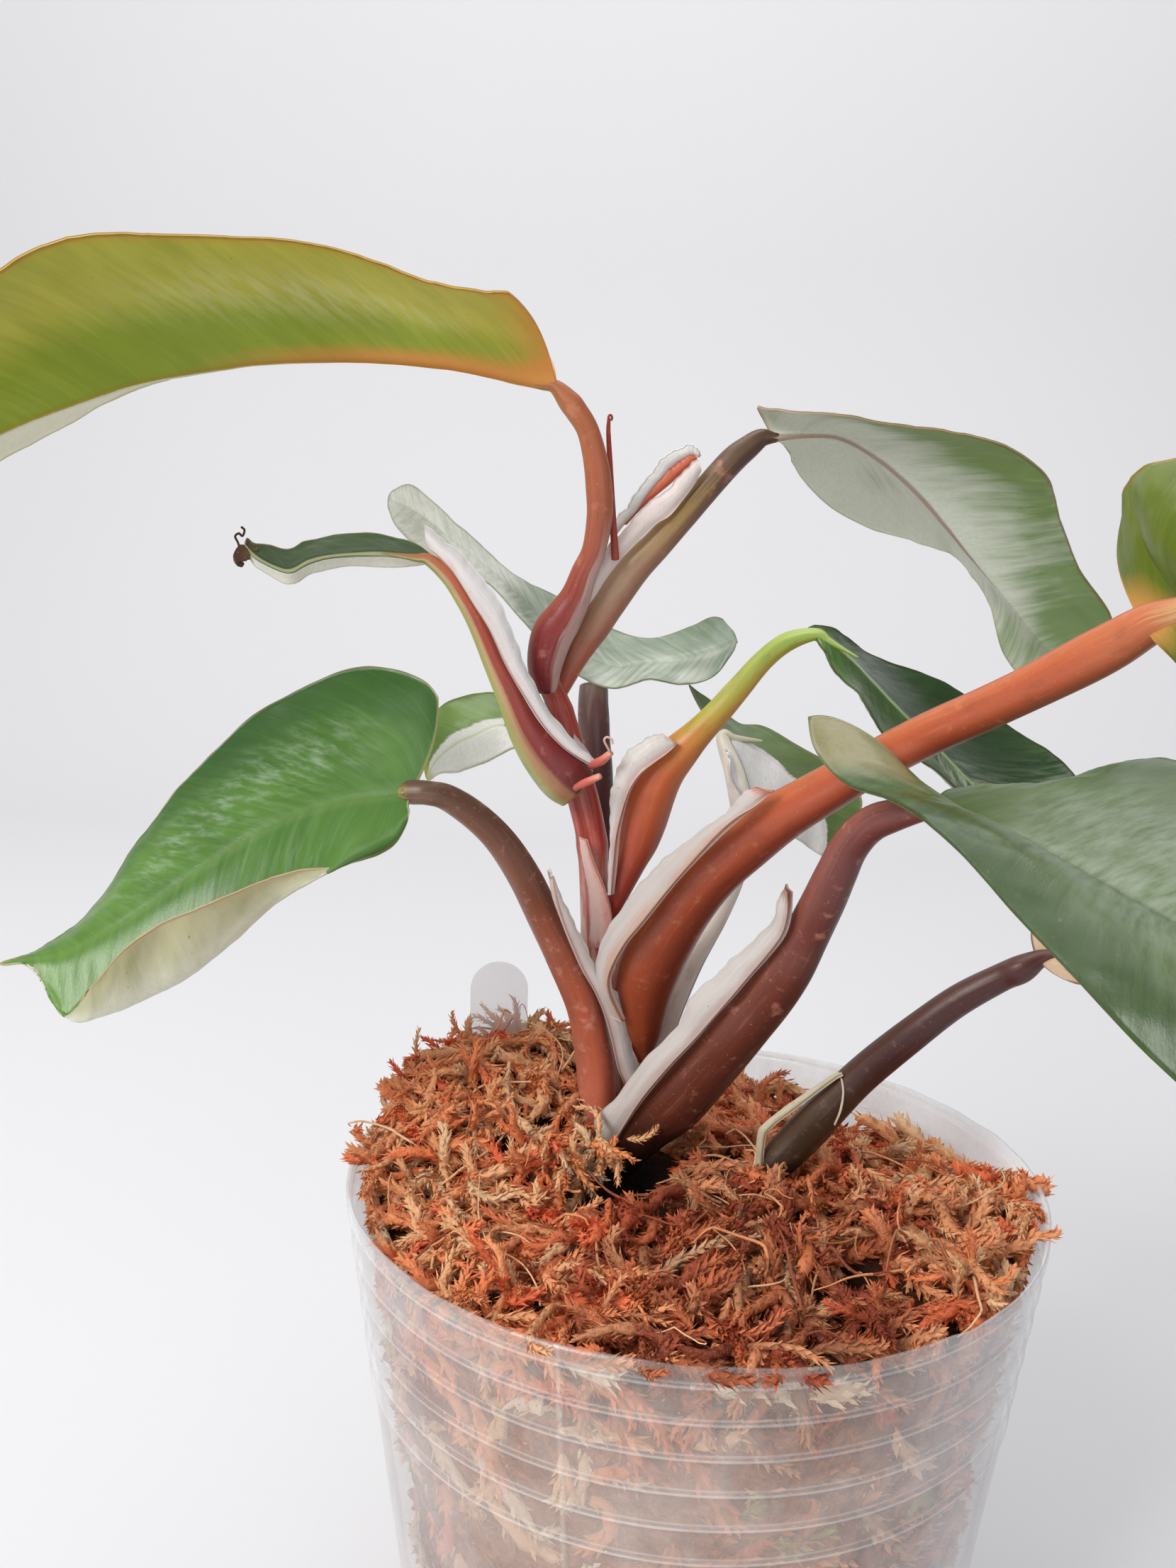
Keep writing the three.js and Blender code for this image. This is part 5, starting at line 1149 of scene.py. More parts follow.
STALK_LOOK = {
    "leaf_stalk_1": dict(stops=[(0.0, R(120, 30, 34)), (0.22, R(142, 46, 40)), (0.36, R(166, 84, 62)), (0.6, R(180, 98, 58)), (0.85, R(182, 108, 56)), (1.0, R(176, 134, 60))],
        side=[([(0, R(206, 176, 168)), (0.35, R(214, 190, 184)), (0.45, R(176, 98, 66)), (1, R(176, 100, 66))], 0.75, 2.75, 0.72, 0.95), ([(0.5, R(176, 98, 66)), (0.8, R(150, 132, 60)), (1, R(148, 150, 62))], 0.6, -0.2, 0.3, 0.95)], seed=1.0),
    "leaf_stalk_2": dict(stops=[(0.0, R(180, 70, 50)), (0.14, R(190, 104, 76)), (0.3, R(190, 140, 112)), (0.45, R(168, 130, 94)), (0.58, R(96, 66, 46)), (0.88, R(74, 52, 34)), (0.96, R(66, 84, 38)), (1.0, R(80, 112, 44))],
        # the second side tint of leaf_stalk_2 is painted shade on its lower face
        side=[([(0, R(150, 66, 56)), (0.3, R(176, 150, 120)), (0.45, R(166, 134, 66)), (0.52, R(160, 130, 54)), (0.58, R(112, 82, 58)), (1, R(96, 74, 50))], 0.75, 0.9, 0.1, 0.7), ([(0, R(110, 66, 54)), (1, R(72, 48, 38))], 0.5, -3.3, 0.2, 0.9)], seed=2.0, speckle=0.2),
    "leaf_stalk_3": dict(stops=[(0.0, R(150, 146, 84)), (0.16, R(196, 132, 88)), (0.35, R(196, 100, 64)), (0.55, R(174, 74, 54)), (0.8, R(142, 44, 44)), (1.0, R(116, 34, 36))],
        side=[([(0, R(206, 200, 160)), (0.6, R(214, 190, 140)), (1, R(206, 150, 110))], 0.8, -3.75, 0.55, 0.85), ([(0, R(130, 128, 60)), (0.35, R(176, 172, 96)), (0.7, R(170, 180, 84)), (1, R(196, 196, 136))], 0.95, -3.35, 0.62, 0.86), ([(0, R(96, 78, 50)), (0.6, R(130, 104, 64)), (1, R(196, 204, 120))], 0.8, -2.9, 0.88, 0.97)], seed=3.0, speckle=0.15),
    "leaf_stalk_4": dict(stops=[(0.0, R(156, 66, 42)), (0.12, R(176, 82, 46)), (0.3, R(164, 76, 48)), (0.5, R(190, 88, 54)), (0.75, R(194, 94, 58)), (0.88, R(204, 116, 74)), (0.945, R(206, 180, 124)), (0.96, R(214, 190, 136)), (0.975, R(206, 150, 92)), (1.0, R(206, 140, 76))],
        # leaf_stalk_4: painted highlight on its lit upper face, painted shade on its lower face
        side=[([(0, R(196, 96, 50)), (0.3, R(196, 112, 60)), (1, R(212, 130, 92))], 0.55, 0.1, 0.4, 0.98), ([(0, R(84, 32, 26)), (0.5, R(116, 46, 36)), (1, R(156, 66, 46))], 0.6, -3.3, 0.2, 0.95)], seed=4.0),
    "leaf_stalk_5": dict(stops=[(0.0, R(176, 72, 62)), (0.2, R(184, 84, 54)), (0.36, R(196, 96, 50)), (0.46, R(196, 122, 50)), (0.56, R(176, 154, 56)), (0.72, R(140, 164, 66)), (0.9, R(130, 160, 64)), (1.0, R(116, 146, 52))],
        side=[([(0, R(176, 84, 62)), (0.4, R(206, 110, 62)), (0.52, R(160, 176, 60)), (1, R(206, 216, 150))], 0.55, 0.1, 0.2, 0.95), ([(0, R(140, 52, 40)), (0.5, R(206, 112, 50)), (0.68, R(206, 150, 60)), (0.85, R(130, 156, 50)), (1, R(110, 146, 50))], 0.55, -3.3, 0.3, 0.95)], seed=5.0, speckle=0.15),
    # leaf_stalk_6: its near-black foot is a painted shadow where it enters the moss; its side tints are painted
    # highlight above and painted shade below
    "leaf_stalk_6": dict(stops=[(0.0, R(44, 28, 20)), (0.08, R(70, 38, 26)), (0.2, R(112, 54, 38)), (0.45, R(124, 64, 52)), (0.65, R(122, 66, 62)), (0.78, R(136, 74, 68)), (0.88, R(186, 104, 82)), (1.0, R(206, 130, 96))],
        side=[([(0, R(96, 60, 36)), (0.3, R(156, 80, 54)), (1, R(166, 100, 86))], 0.55, 0.1, 0.3, 0.98), ([(0, R(34, 20, 18)), (0.5, R(70, 34, 34)), (1, R(116, 60, 54))], 0.6, -3.3, 0.2, 0.95)], seed=6.0, light=R(206, 140, 120), blotch=0.45),
    "leaf_stalk_7": dict(stops=[(0.0, R(40, 28, 18)), (0.25, R(66, 46, 30)), (0.36, R(64, 32, 30)), (0.8, R(88, 42, 40)), (0.92, R(130, 74, 62)), (0.96, R(186, 150, 126)), (1.0, R(196, 120, 84))],
        # leaf_stalk_7: its side tint is a painted highlight on the upper face
        side=[([(0, R(96, 72, 48)), (1, R(122, 82, 78))], 0.45, 0.2, 0.3, 0.98)], seed=7.0, light=R(150, 120, 110)),
    "leaf_stalk_8": dict(stops=[(0.0, R(206, 104, 80)), (0.14, R(216, 112, 84)), (0.30, R(196, 100, 70)), (0.48, R(126, 74, 52)), (0.8, R(100, 72, 52)), (0.90, R(116, 92, 54)), (0.955, R(160, 150, 78)), (1.0, R(170, 172, 96))],
        # leaf_stalk_8: painted shade on one face and a painted highlight on the other
        side=[([(0, R(146, 62, 50)), (0.4, R(96, 58, 50)), (1, R(104, 76, 60))], 0.5, -3.2, 0.2, 0.95), ([(0, R(216, 150, 130)), (0.3, R(150, 96, 78)), (1, R(170, 140, 118))], 0.4, 0.6, 0.3, 0.98)], seed=8.0, light=R(226, 176, 156), blotch=0.4),
    # leaf_stalk_9: its side tint is a painted highlight
    "leaf_stalk_9": dict(stops=[(0.0, R(84, 44, 42)), (0.6, R(80, 42, 46)), (0.9, R(96, 66, 64)), (1.0, R(130, 112, 96))], side=[([(0, R(120, 96, 84)), (1, R(122, 104, 92))], 0.5, 0.4, 0.5, 0.98)], seed=9.0),
    "leaf_stalk_10": dict(stops=[(0.0, R(120, 80, 56)), (0.6, R(140, 120, 66)), (1.0, R(160, 170, 96))], seed=10.0),
    "leaf_stalk_11": dict(stops=[(0.0, R(196, 160, 140)), (0.15, R(216, 200, 190)), (0.6, R(222, 214, 206)), (1.0, R(196, 196, 160))], side=[([(0, R(96, 50, 46)), (1, R(84, 56, 52))], 0.95, -2.95, 0.80, 0.93)], seed=11.0, speckle=0.1, light=R(230, 224, 214), blotch=0.1),
}

SHEATH_LOOK = {
    "sheath_4": dict(body=R(206, 198, 194), flush=R(206, 140, 96), tip=R(190, 96, 56), seed=1.0, flush_amt=0.5),
    "sheath_5": dict(body=R(210, 204, 200), flush=R(196, 130, 110), tip=R(176, 100, 66), seed=2.0, flush_amt=0.5),
    "sheath_6": dict(body=R(206, 200, 196), flush=R(166, 110, 90), tip=R(140, 84, 60), seed=3.0, flush_amt=0.45),
    "sheath_8": dict(body=R(216, 208, 204), flush=R(176, 110, 88), tip=R(160, 110, 84), seed=4.0),
    "sheath_3": dict(body=R(216, 214, 214), flush=R(214, 150, 130), tip=R(206, 200, 196), seed=5.0, flush_amt=0.25),
    "sheath_2": dict(body=R(212, 200, 196), flush=R(200, 170, 160), tip=R(214, 206, 202), seed=6.0),
    "flap_2": dict(body=R(216, 214, 212), flush=R(214, 190, 180), tip=R(206, 190, 180), seed=6.5),
    "groove_2": dict(body=R(196, 100, 70), flush=R(170, 76, 50), tip=R(206, 120, 84), seed=6.8),
    "sheath_7": dict(body=R(206, 196, 170), flush=R(150, 124, 90), tip=R(206, 190, 160), seed=7.0),
    "collar_7": dict(body=R(206, 186, 160), flush=R(190, 160, 140), tip=R(200, 180, 160), seed=8.0),
    "flap_3": dict(body=R(220, 216, 214), flush=R(216, 196, 190), tip=R(210, 200, 196), seed=9.0),
    "stem_wrap": dict(body=R(214, 180, 172), flush=R(196, 116, 102), tip=R(180, 90, 78), seed=10.0, flush_amt=0.6),
}


# painted shade: each stalk's colours are dimmed by a factor running from its base (first value) to its blade end
# (second value), and these sheaths by one factor each
STALK_PAINTED_SHADE = {
    "leaf_stalk_1": (0.82, 0.76), "leaf_stalk_2": (1.0, 0.46), "leaf_stalk_3": (0.95, 0.66), "leaf_stalk_4": (0.72, 0.88), "leaf_stalk_5": (0.82, 0.96),
    "leaf_stalk_6": (0.62, 0.90), "leaf_stalk_7": (0.90, 0.90), "leaf_stalk_8": (0.92, 0.68),
}
SHEATH_PAINTED_SHADE = {"sheath_4": 0.80, "sheath_5": 0.86, "sheath_6": 0.88, "sheath_8": 0.92}


def scaled(c, f):
    return tuple(v * f for v in c[:3]) + tuple(c[3:])


for _node, (_a, _b) in STALK_PAINTED_SHADE.items():
    _look = STALK_LOOK[_node]
    _look["stops"] = [(t, scaled(c, _a + (_b - _a) * t)) for t, c in _look["stops"]]
    _look["side"] = [([(t, scaled(c, _a + (_b - _a) * t)) for t, c in ramp], *rest) for ramp, *rest in _look.get("side", [])]
for _node, _f in SHEATH_PAINTED_SHADE.items():
    for _key in ("body", "flush", "tip"):
        SHEATH_LOOK[_node][_key] = scaled(SHEATH_LOOK[_node][_key], _f)


def join(objs, name):
    """One object from several, keeping their material slots."""
    base = objs[0]
    if len(objs) > 1:
        with bpy.context.temp_override(active_object=base, object=base, selected_objects=objs, selected_editable_objects=objs):
            bpy.ops.object.join()
    base.name = name
    base.data.name = name
    return base


def lead_into_blade(node, st):
    """Carries the stalk a little way along its blade's midrib, thinning out."""
    rows = BLADES["leaf_" + node.split("_")[-1]]["rows"]
    m = 1 if len(rows[0]) == 3 else 2
    a, b = np.array(rows[0][m]), np.array(rows[1][m])
    st = [list(p) for p in st]
    back = np.linalg.norm(np.array(st[0][:3]) - a) < np.linalg.norm(np.array(st[-1][:3]) - a)
    if back:
        st = st[::-1]
    e = st[-1]
    if np.linalg.norm(np.array(e[:3]) - a) > 5:
        return st[::-1] if back else st
    d = unit(b - a)
    c = np.array(st[-2][:3])
    while len(st) > 4 and (a - np.array(st[-1][:3])) @ unit(a - c) < 0.9:
        st.pop()
        c = np.array(st[-1][:3])
    steps = {"leaf_stalk_8": ((0.1, 1.15), (0.9, 1.05), (1.7, 0.55)), "leaf_stalk_4": ((0.5, 1.05), (4.0, 0.85), (8.0, 0.5), (12.0, 0.2))}
    for k, f in steps.get(node, ((0.3, 0.72), (2.0, 0.46), (4.4, 0.24), (6.5, 0.12))):
        st.append([*(a + d * k), max(e[3], 0.9) * f, max(e[4], 0.8) * f])
    return st[::-1] if back else st


def make_stalks():
    for node, st in CORES.items():
        if node == "leaf_stalk_4":
            # the foot of this stalk narrows to a blunt point in the sheath below it
            a, b = np.array(st[0]), np.array(st[1])
            d = unit(a[:3] - b[:3])
            st = [[*(a[:3] + d * 3.2), a[3] * 0.42, a[4] * 0.45], [*a[:3], a[3] * 0.85, a[4] * 0.9], *st[1:]]
        look = STALK_LOOK[node]
        mat = stalk_material(node + "_skin", **look)
        seed = look["seed"]
        st = lead_into_blade(node, st)
        swell = lambda t, a, seed=seed: 1 + 0.018 * np.sin(a * 3 + seed + 5 * t) + 0.012 * np.sin(t * 37 + seed) + 0.01 * np.sin(a * 7 + 21 * t)
        v, q, tr, t, an, s = tube(st, 90, 28, swell)
        o = build_mesh(node + "_look", v, quads=q, tris=tr, attrs=dict(t=t, an=an, s=s, k=t * 0), mats=[mat])
        parts = [o]
        for sname, sp in STRIPS.items():
            if sp["stalk"] != node:
                continue
            sm = sheath_material(sname + "_skin", **SHEATH_LOOK[sname])
            small = sname.startswith(("collar", "flap_3", "sheath_7"))
            vv, qq, tt, kk = strip_mesh(sp["a"], sp["b"], n=60 if small else 120, m=5 if small else 11, thick=0.35 if small else 0.7, bow=0.1 if small else 0.45, ragged=0.04 if small else 0.2, seed=SHEATH_LOOK[sname]["seed"])
            so = build_mesh(sname, vv, quads=qq, attrs=dict(t=tt, k=kk, an=tt * 0, s=tt * 0), mats=[sm])
            parts.append(so)
        add(join(parts, node + "_look"), node)


def make_stem():
    m = Nodes("stem_skin")
    t, an, s = m.attr("t"), m.attr("an"), m.attr("s")
    cx, sx = m.math("MULTIPLY", m.math("COSINE", an), 2.0), m.math("MULTIPLY", m.math("SINE", an), 2.0)
    streak = m.noise(m.combine(cx, sx, m.math("MULTIPLY", s, 0.06)), 1.5, 5.0, 0.6)
    blot = m.noise(m.combine(cx, sx, m.math("MULTIPLY", s, 0.3)), 0.8, 3.0, 0.6)
    col = m.ramp(streak, [(0.30, R(150, 54, 48)), (0.46, R(196, 118, 104)), (0.60, R(222, 190, 176)), (0.8, R(230, 214, 204))])
    col = m.mix(m.math("MULTIPLY", m.smoothstep(blot, 0.5, 0.75), 0.4), col, R(142, 62, 54))
    col = m.mix(m.math("MULTIPLY", m.math("SUBTRACT", 1.0, m.smoothstep(t, 0.1, 0.3)), 0.6), col, R(96, 52, 40))
    red = m.ramp(streak, [(0.30, R(120, 34, 32)), (0.5, R(156, 54, 44)), (0.66, R(182, 84, 68)), (0.8, R(206, 150, 140))])
    col = m.mix(m.math("MULTIPLY", m.smoothstep(m.math("ADD", t, m.math("MULTIPLY", m.math("SUBTRACT", streak, 0.5), 0.1)), 0.44, 0.54), 0.92), col, red)
    p = position_mm(m)
    nrm = m.bump(m.math("ADD", streak, m.noise(p, 1.6, 3.0, 0.6)), 0.4, 0.0002)
    mat = m.finish(m.bsdf(col, 0.4, nrm, spec=0.4, coat=0.1, subsurface=0.15, sss_scale=0.0015))

    def swell(t, a):
        k = 1 + 0.03 * np.sin(a * 4 + 9 * t)
        for c in (0.30, 0.52, 0.70, 0.82):
            k = k + 0.07 * np.exp(-(((t - c) / 0.018) ** 2))
        return k

    v, q, tr, t, an, s = tube([*STEM, [-21.9, 10.9, 149.6, 1.5, 1.4], [-21.8, 10.7, 151.6, 1.1, 1.0]], 120, 28, swell)
    o = build_mesh("stem_look", v, quads=q, tris=tr, attrs=dict(t=t, an=an, s=s, k=t * 0), mats=[mat])
    parts = [o]
    sp = STRIPS["stem_wrap"]
    sm = sheath_material("stem_wrap_skin", **SHEATH_LOOK["stem_wrap"])
    vv, qq, tt, kk = strip_mesh(sp["a"], sp["b"], n=80, m=9, thick=0.35, bow=0.25, ragged=0.06, seed=1.5)
    parts.append(build_mesh("stem_wrap", vv, quads=qq, attrs=dict(t=tt, k=kk, an=tt * 0, s=tt * 0), mats=[sm]))
    add(join(parts, "stem_look"), "stem")


def make_small():
    dried = stalk_material("dried_skin", [(0.0, R(150, 60, 44)), (0.5, R(150, 44, 34)), (1.0, R(120, 34, 28))], seed=21.0, rough=0.5, coat=0.0)
    # a straight dried thread with a hooked end
    pts = [list(p) for p in DRIED_TIP]
    end = np.array(pts[-1][:3])
    hook = [end + np.array(d) for d in ((-0.05, 0.0, 0.35), (0.10, 0.0, 0.60), (0.32, 0.0, 0.52), (0.40, 0.0, 0.18), (0.28, 0.0, -0.05))]
    st = [[*p[:3], 0.50 - 0.07 * i, 0.34 - 0.045 * i] for i, p in enumerate(pts)] + [[*h, 0.14, 0.12] for h in hook]
    v, q, tr, t, an, s = tube(st, 70, 10)
    add(build_mesh("dried_sheath_tip_look", v, quads=q, tris=tr, attrs=dict(t=t, an=an, s=s), mats=[dried]), "dried_sheath_tip")
    root = stalk_material("root_skin", [(0.0, R(176, 84, 74)), (0.6, R(206, 104, 92)), (1.0, R(216, 150, 130))], seed=23.0, rough=0.45)
    for nm, st0, node in (("root_stub_a_look", ROOT_A, "root_stub_a"), ("root_stub_b_look", ROOT_B, "root_stub_b")):
        st = [[*p[:3], p[3] * k, p[4] * k] for p, k in zip(st0, (1.25, 1.15, 1.0))]
        v, q, tr, t, an, s = tube(st, 24, 14, lambda t, a: 1 + 0.06 * np.sin(a * 3 + 8 * t))
        o = build_mesh(nm, v, quads=q, tris=tr, attrs=dict(t=t, an=an, s=s), mats=[root])
        parts = [o]
        if nm.startswith("root_stub_a"):
            e = np.array(st0[-1][:3])
            curl = [e + np.array(d) for d in ((-0.1, -0.1, 0.2), (-0.5, -0.2, 0.9), (-0.85, -0.3, 1.7), (-0.5, -0.3, 2.1), (0.1, -0.2, 1.8), (0.2, -0.1, 1.2))]
            v, q, tr, t, an, s = tube([[*c, 0.11, 0.11] for c in curl], 40, 8)
            hair = stalk_material("root_hair_skin", [(0.0, R(190, 150, 140)), (1.0, R(206, 190, 180))], seed=24.0, rough=0.5, coat=0.0)
            parts.append(build_mesh("root_curl", v, quads=q, tris=tr, attrs=dict(t=t, an=an, s=s), mats=[hair]))
        add(join(parts, nm), node)


def z(*a):
    return sum(a)


def make_blades():
    def ridge(x, c, w):
        return np.exp(-(((x - c) / w) ** 2))

    # leaf 1: olive underside with orange margins and midrib, pale far half
    def r1(U, S, L, dm, ed):
        near = (S < 0)
        vg = np.where(near, -0.05 + 0.12 * wave_noise(L * 0.08, dm * 0.1, 1.0), 0.85 + 0.2 * wave_noise(L * 0.07, dm * 0.1, 2.0))
        hi = smooth(-0.25, -0.6, S)
        gm = 0.10 + 0.75 * hi * (1 - 0.35 * smooth(0.6, 1.0, U)) + 0.18 * wave_noise(L * 0.06, dm * 0.12, 3.0) + 0.30 * (1 - smooth(0.05, 0.3, U))
        low = (1 - smooth(0.3, 2.6 + 2.2 * (1 - smooth(0.0, 0.25, U)), np.abs(dm))) * (1 - smooth(0.22, 0.52, U))
        wm = 0.9 * low + 0.62 * (1 - smooth(0.0, 0.13, U)) + 0.35 * (1 - smooth(0.0, 1.6, ed)) * near
        return vg, gm, np.clip(wm, 0, 0.85)

    # painted sheen on leaf 1: a band of painted reflection along its near half
    def s1(U, S, L, dm, ed):
        return 0.8 * ridge(S, -0.55, 0.20) * smooth(0.10, 0.22, U) * (1 - smooth(0.38, 0.62, U))

    m1 = leaf_material("leaf_1_skin", R(128, 150, 10), R(192, 184, 80), R(226, 224, 204), R(166, 162, 60), R(184, 116, 56), R(176, 124, 56), R(206, 128, 52), seed=1.0, streak=0.35, under_fac=0.12, rib_fac=0.25, veins=0.0, painted_sheen=R(206, 206, 160), painted_sheen_amt=0.45, edge_w=0.4, patchy=(0.36, 0.66))
    add(blade("leaf_1_look", BLADES["leaf_1"], r1, m1, seed=0.3, wave=0.5, waves=3.5, rib_h=0.6, rib_w=0.8, nu=120, nv=52, painted_sheen=s1, edges=(0.5, 0.4), ripple=0.010), "leaf_1")

    # leaf 2: grey-white underside, green along the right margin
    def r2(U, S, L, dm, ed):
        g = 0.95 * smooth(0.30, 1.0, S) * smooth(0.10, 0.35, U) * (1 - smooth(0.50, 0.80, U)) + 0.95 * ridge(U, 0.92, 0.20) * (0.8 + 0.4 * wave_noise(L * 0.12, dm * 0.14, 21.0))
        g = g + 0.45 * ridge(U, 0.30, 0.06) * ridge(S, -0.35, 0.25) + 0.25 * ridge(U, 0.62, 0.16) * smooth(0.0, -0.5, S)
        g = g + 0.30 * smooth(-0.1, 0.35, S)
        vg = 0.90 - 0.72 * np.clip(g, 0, 1)
        gm = 0.2 + 0.5 * smooth(0.3, 0.9, S) * (1 - smooth(0.4, 0.8, U))
        wm = np.clip(0.5 * (1 - smooth(0.0, 1.2, ed)) * (S > 0) * (1 - smooth(0.25, 0.6, U)), 0, 0.6)
        return vg, gm, wm

    m2 = leaf_material("leaf_2_skin", R(84, 116, 46), R(112, 138, 40), R(206, 210, 198), R(172, 182, 162), R(140, 92, 66), R(140, 106, 80), R(160, 124, 84), seed=2.0, streak=0.60, sharp=0.32, under_fac=0.18, veins=0.02, edge_w=0.35, rib_fac=0.65)
    add(blade("leaf_2_look", BLADES["leaf_2"], r2, m2, seed=1.1, wave=0.5, waves=3.0, rib_h=0.6, rib_w=0.42, round_base=0.03, nu=120, nv=52, edges=(0.35, 0.6), rib_end=0.70, ripple=0.010), "leaf_2")

    # leaf 3: stunted, curled blade with a dead tip
    def r3(U, S, L, dm, ed):
        low = (S < -0.2)
        vg = 0.10 + 0.95 * low + 0.22 * wave_noise(L * 0.3, dm, 3.0)
        gm = 0.25 + 0.35 * smooth(-0.1, 0.6, S)
        wm = np.clip(smooth(0.88, 0.96, U), 0, 0.95)
        return vg, gm, wm

    m3 = leaf_material("leaf_3_skin", R(44, 72, 52), R(88, 112, 72), R(230, 228, 216), R(66, 88, 62), R(186, 186, 140), R(150, 140, 110), R(80, 56, 38), seed=3.0, streak=0.3, under_fac=0.15, edge_w=0.3)
    o3 = blade("leaf_3_core", BLADES["leaf_3"], r3, m3, seed=2.0, wave=0.2, waves=4, rib_h=0.4, rib_w=0.35, nu=90, nv=36, edges=(0.4, 0.7))
    tip = np.mean(np.array(BLADES["leaf_3"]["rows"][-1]), axis=0)
    dead = stalk_material("dead_tip_skin", [(0.0, R(96, 88, 50)), (0.5, R(88, 56, 34)), (1.0, R(50, 34, 26))], seed=31.0, rough=0.7, coat=0.0)
    rng = np.random.default_rng(5)
    pts = [tip + np.array([1.6, 0.2, -0.6]), tip + np.array([0.4, 0.0, -0.9]), tip + np.array([-0.5, -0.1, -1.3]), tip + np.array([-0.9, -0.1, -2.2]), tip + np.array([-0.3, 0.0, -2.6])]
    v, q, tr, t, an, s = tube([[*p, w, w * 0.7] for p, w in zip(pts, (0.5, 0.95, 0.9, 0.55, 0.25))], 40, 16, lambda t, a: 1 + 0.22 * np.sin(a * 3 + 9 * t) * np.sin(t * 17 + 1) + 0.1 * np.sin(a * 7 - 20 * t))
    d1 = build_mesh("dead_a", v, quads=q, tris=tr, attrs=dict(t=t, an=an, s=s), mats=[dead])
    pts = [tip + np.array([-0.7, 0, -0.9]), tip + np.array([-0.9, 0, 0.1]), tip + np.array([-1.2, -0.2, 0.9]), tip + np.array([-0.7, -0.3, 1.3]), tip + np.array([-0.3, -0.1, 1.0]), tip + np.array([-0.1, 0.1, 1.7]), tip + np.array([-0.5, 0.1, 2.1])]
    v, q, tr, t, an, s = tube([[*p, 0.13, 0.13] for p in pts], 50, 8)
    d2 = build_mesh("dead_b", v, quads=q, tris=tr, attrs=dict(t=t * 0 + 1, an=an, s=s), mats=[dead])
    add(join([o3, d1, d2], "leaf_3_look"), "leaf_3")

    # leaf 4: olive, warm base
    def r4(U, S, L, dm, ed):
        vg = 0.02 + 0.22 * wave_noise(L * 0.07, dm * 0.08, 4.0) + 0.35 * smooth(0.5, 1.0, S)
        gm = 0.35 + 0.35 * wave_noise(L * 0.08, dm * 0.1, 5.0)
        wm = np.clip(0.9 * (1 - smooth(0.02, 0.15, U)) * (1 - smooth(1.5, 7.0, np.abs(dm))) + 0.3 * (1 - smooth(0.0, 0.8, ed)) + 0.35 * (1 - smooth(0.3, 3.0, np.abs(dm))) * (1 - smooth(0.2, 0.7, U)), 0, 0.9)
        return vg, gm, wm

    m4 = leaf_material("leaf_4_skin", R(78, 96, 0), R(110, 120, 0), R(170, 166, 80), R(96, 106, 0), R(196, 140, 78), R(150, 100, 52), R(196, 140, 66), seed=4.0, streak=0.5, veins=0.03, rib_fac=0.6, under_fac=0.3)
    add(blade("leaf_4_look", BLADES["leaf_4"], r4, m4, seed=3.0, wave=0.6, waves=3.5, rib_h=1.0, rib_w=0.8, nu=110, nv=48, edges=(0.6, 0.6), ripple=0.010), "leaf_4")

    # leaf 5: dark glossy half and brighter half, white streaks near the tip
    def r5(U, S, L, dm, ed):
        vg = 0.02 + 0.30 * smooth(0.45, 0.95, U) * (0.5 + wave_noise(L * 0.1, dm * 0.15, 5.0)) + 0.10 * (S < 0)
        gm = np.where(S < 0, 0.50 + 0.5 * smooth(-0.6, -0.95, S), 0.10) + 0.15 * wave_noise(L * 0.1, dm * 0.2, 6.0)
        wm = 0.5 * (1 - smooth(0.0, 0.06, U))
        return vg, gm, wm

    # painted sheen on leaf 5: painted reflection across the middle and near the tip
    def s5(U, S, L, dm, ed):
        return 0.9 * ridge(U, 0.72, 0.17) * ridge(S, -0.25, 0.4) + 0.5 * ridge(U, 0.86, 0.1)

    m5 = leaf_material("leaf_5_skin", R(38, 66, 32), R(84, 118, 52), R(214, 220, 200), R(150, 176, 120), R(170, 196, 120), R(60, 60, 34), R(150, 176, 84), seed=5.0, streak=0.5, rough=0.28, under_fac=0.6, painted_sheen=R(206, 214, 190), painted_sheen_amt=0.75, veins=0.03)
    add(blade("leaf_5_look", BLADES["leaf_5"], r5, m5, seed=4.0, wave=0.4, waves=3.0, rib_h=0.7, rib_w=0.5, painted_sheen=s5, ripple=0.015), "leaf_5")

    # leaf 6: big near leaf, green with a painted grey sheen and an olive-cream basal ear
    def r6(U, S, L, dm, ed):
        ear = (1 - smooth(0.06, 0.24, U)) * smooth(-0.10, -0.5, S)
        vg = 0.02 + 0.80 * ear + 0.10 * wave_noise(L * 0.07, dm * 0.08, 7.0) + 0.06 * smooth(0.5, 1.0, S)
        gm = 0.55 + 0.25 * wave_noise(L * 0.05, dm * 0.07, 8.0) - 0.60 * smooth(-0.35, -0.95, S) * smooth(0.15, 0.4, U) - 0.2 * smooth(0.55, 0.9, U)
        wm = 0.0 * U
        return vg, gm, wm

    # painted sheen on leaf 6: a grey painted reflection across the middle of the blade
    def s6(U, S, L, dm, ed):
        return np.clip(0.85 * smooth(-0.75, -0.15, S) * (1 - smooth(0.35, 0.8, S)) * smooth(0.08, 0.28, U) + 0.02, 0, 1)

    m6 = leaf_material("leaf_6_skin", R(44, 68, 20), R(88, 108, 58), R(124, 118, 80), R(112, 124, 84), R(112, 128, 84), R(88, 100, 60), R(160, 140, 86), seed=6.0, streak=0.20, sharp=0.3, under_fac=0.12, rib_fac=0.0, veins=0.0, painted_sheen=R(140, 152, 134), painted_sheen_amt=0.8, edge_w=0.35, patchy=(0.15, 0.75))
    add(blade("leaf_6_look", BLADES["leaf_6"], r6, m6, seed=5.0, wave=0.4, waves=3.0, rib_h=0.25, rib_w=0.9, nu=120, nv=52, round_base=0.03, painted_sheen=s6, edges=(0.35, 0.45), ripple=0.004), "leaf_6")

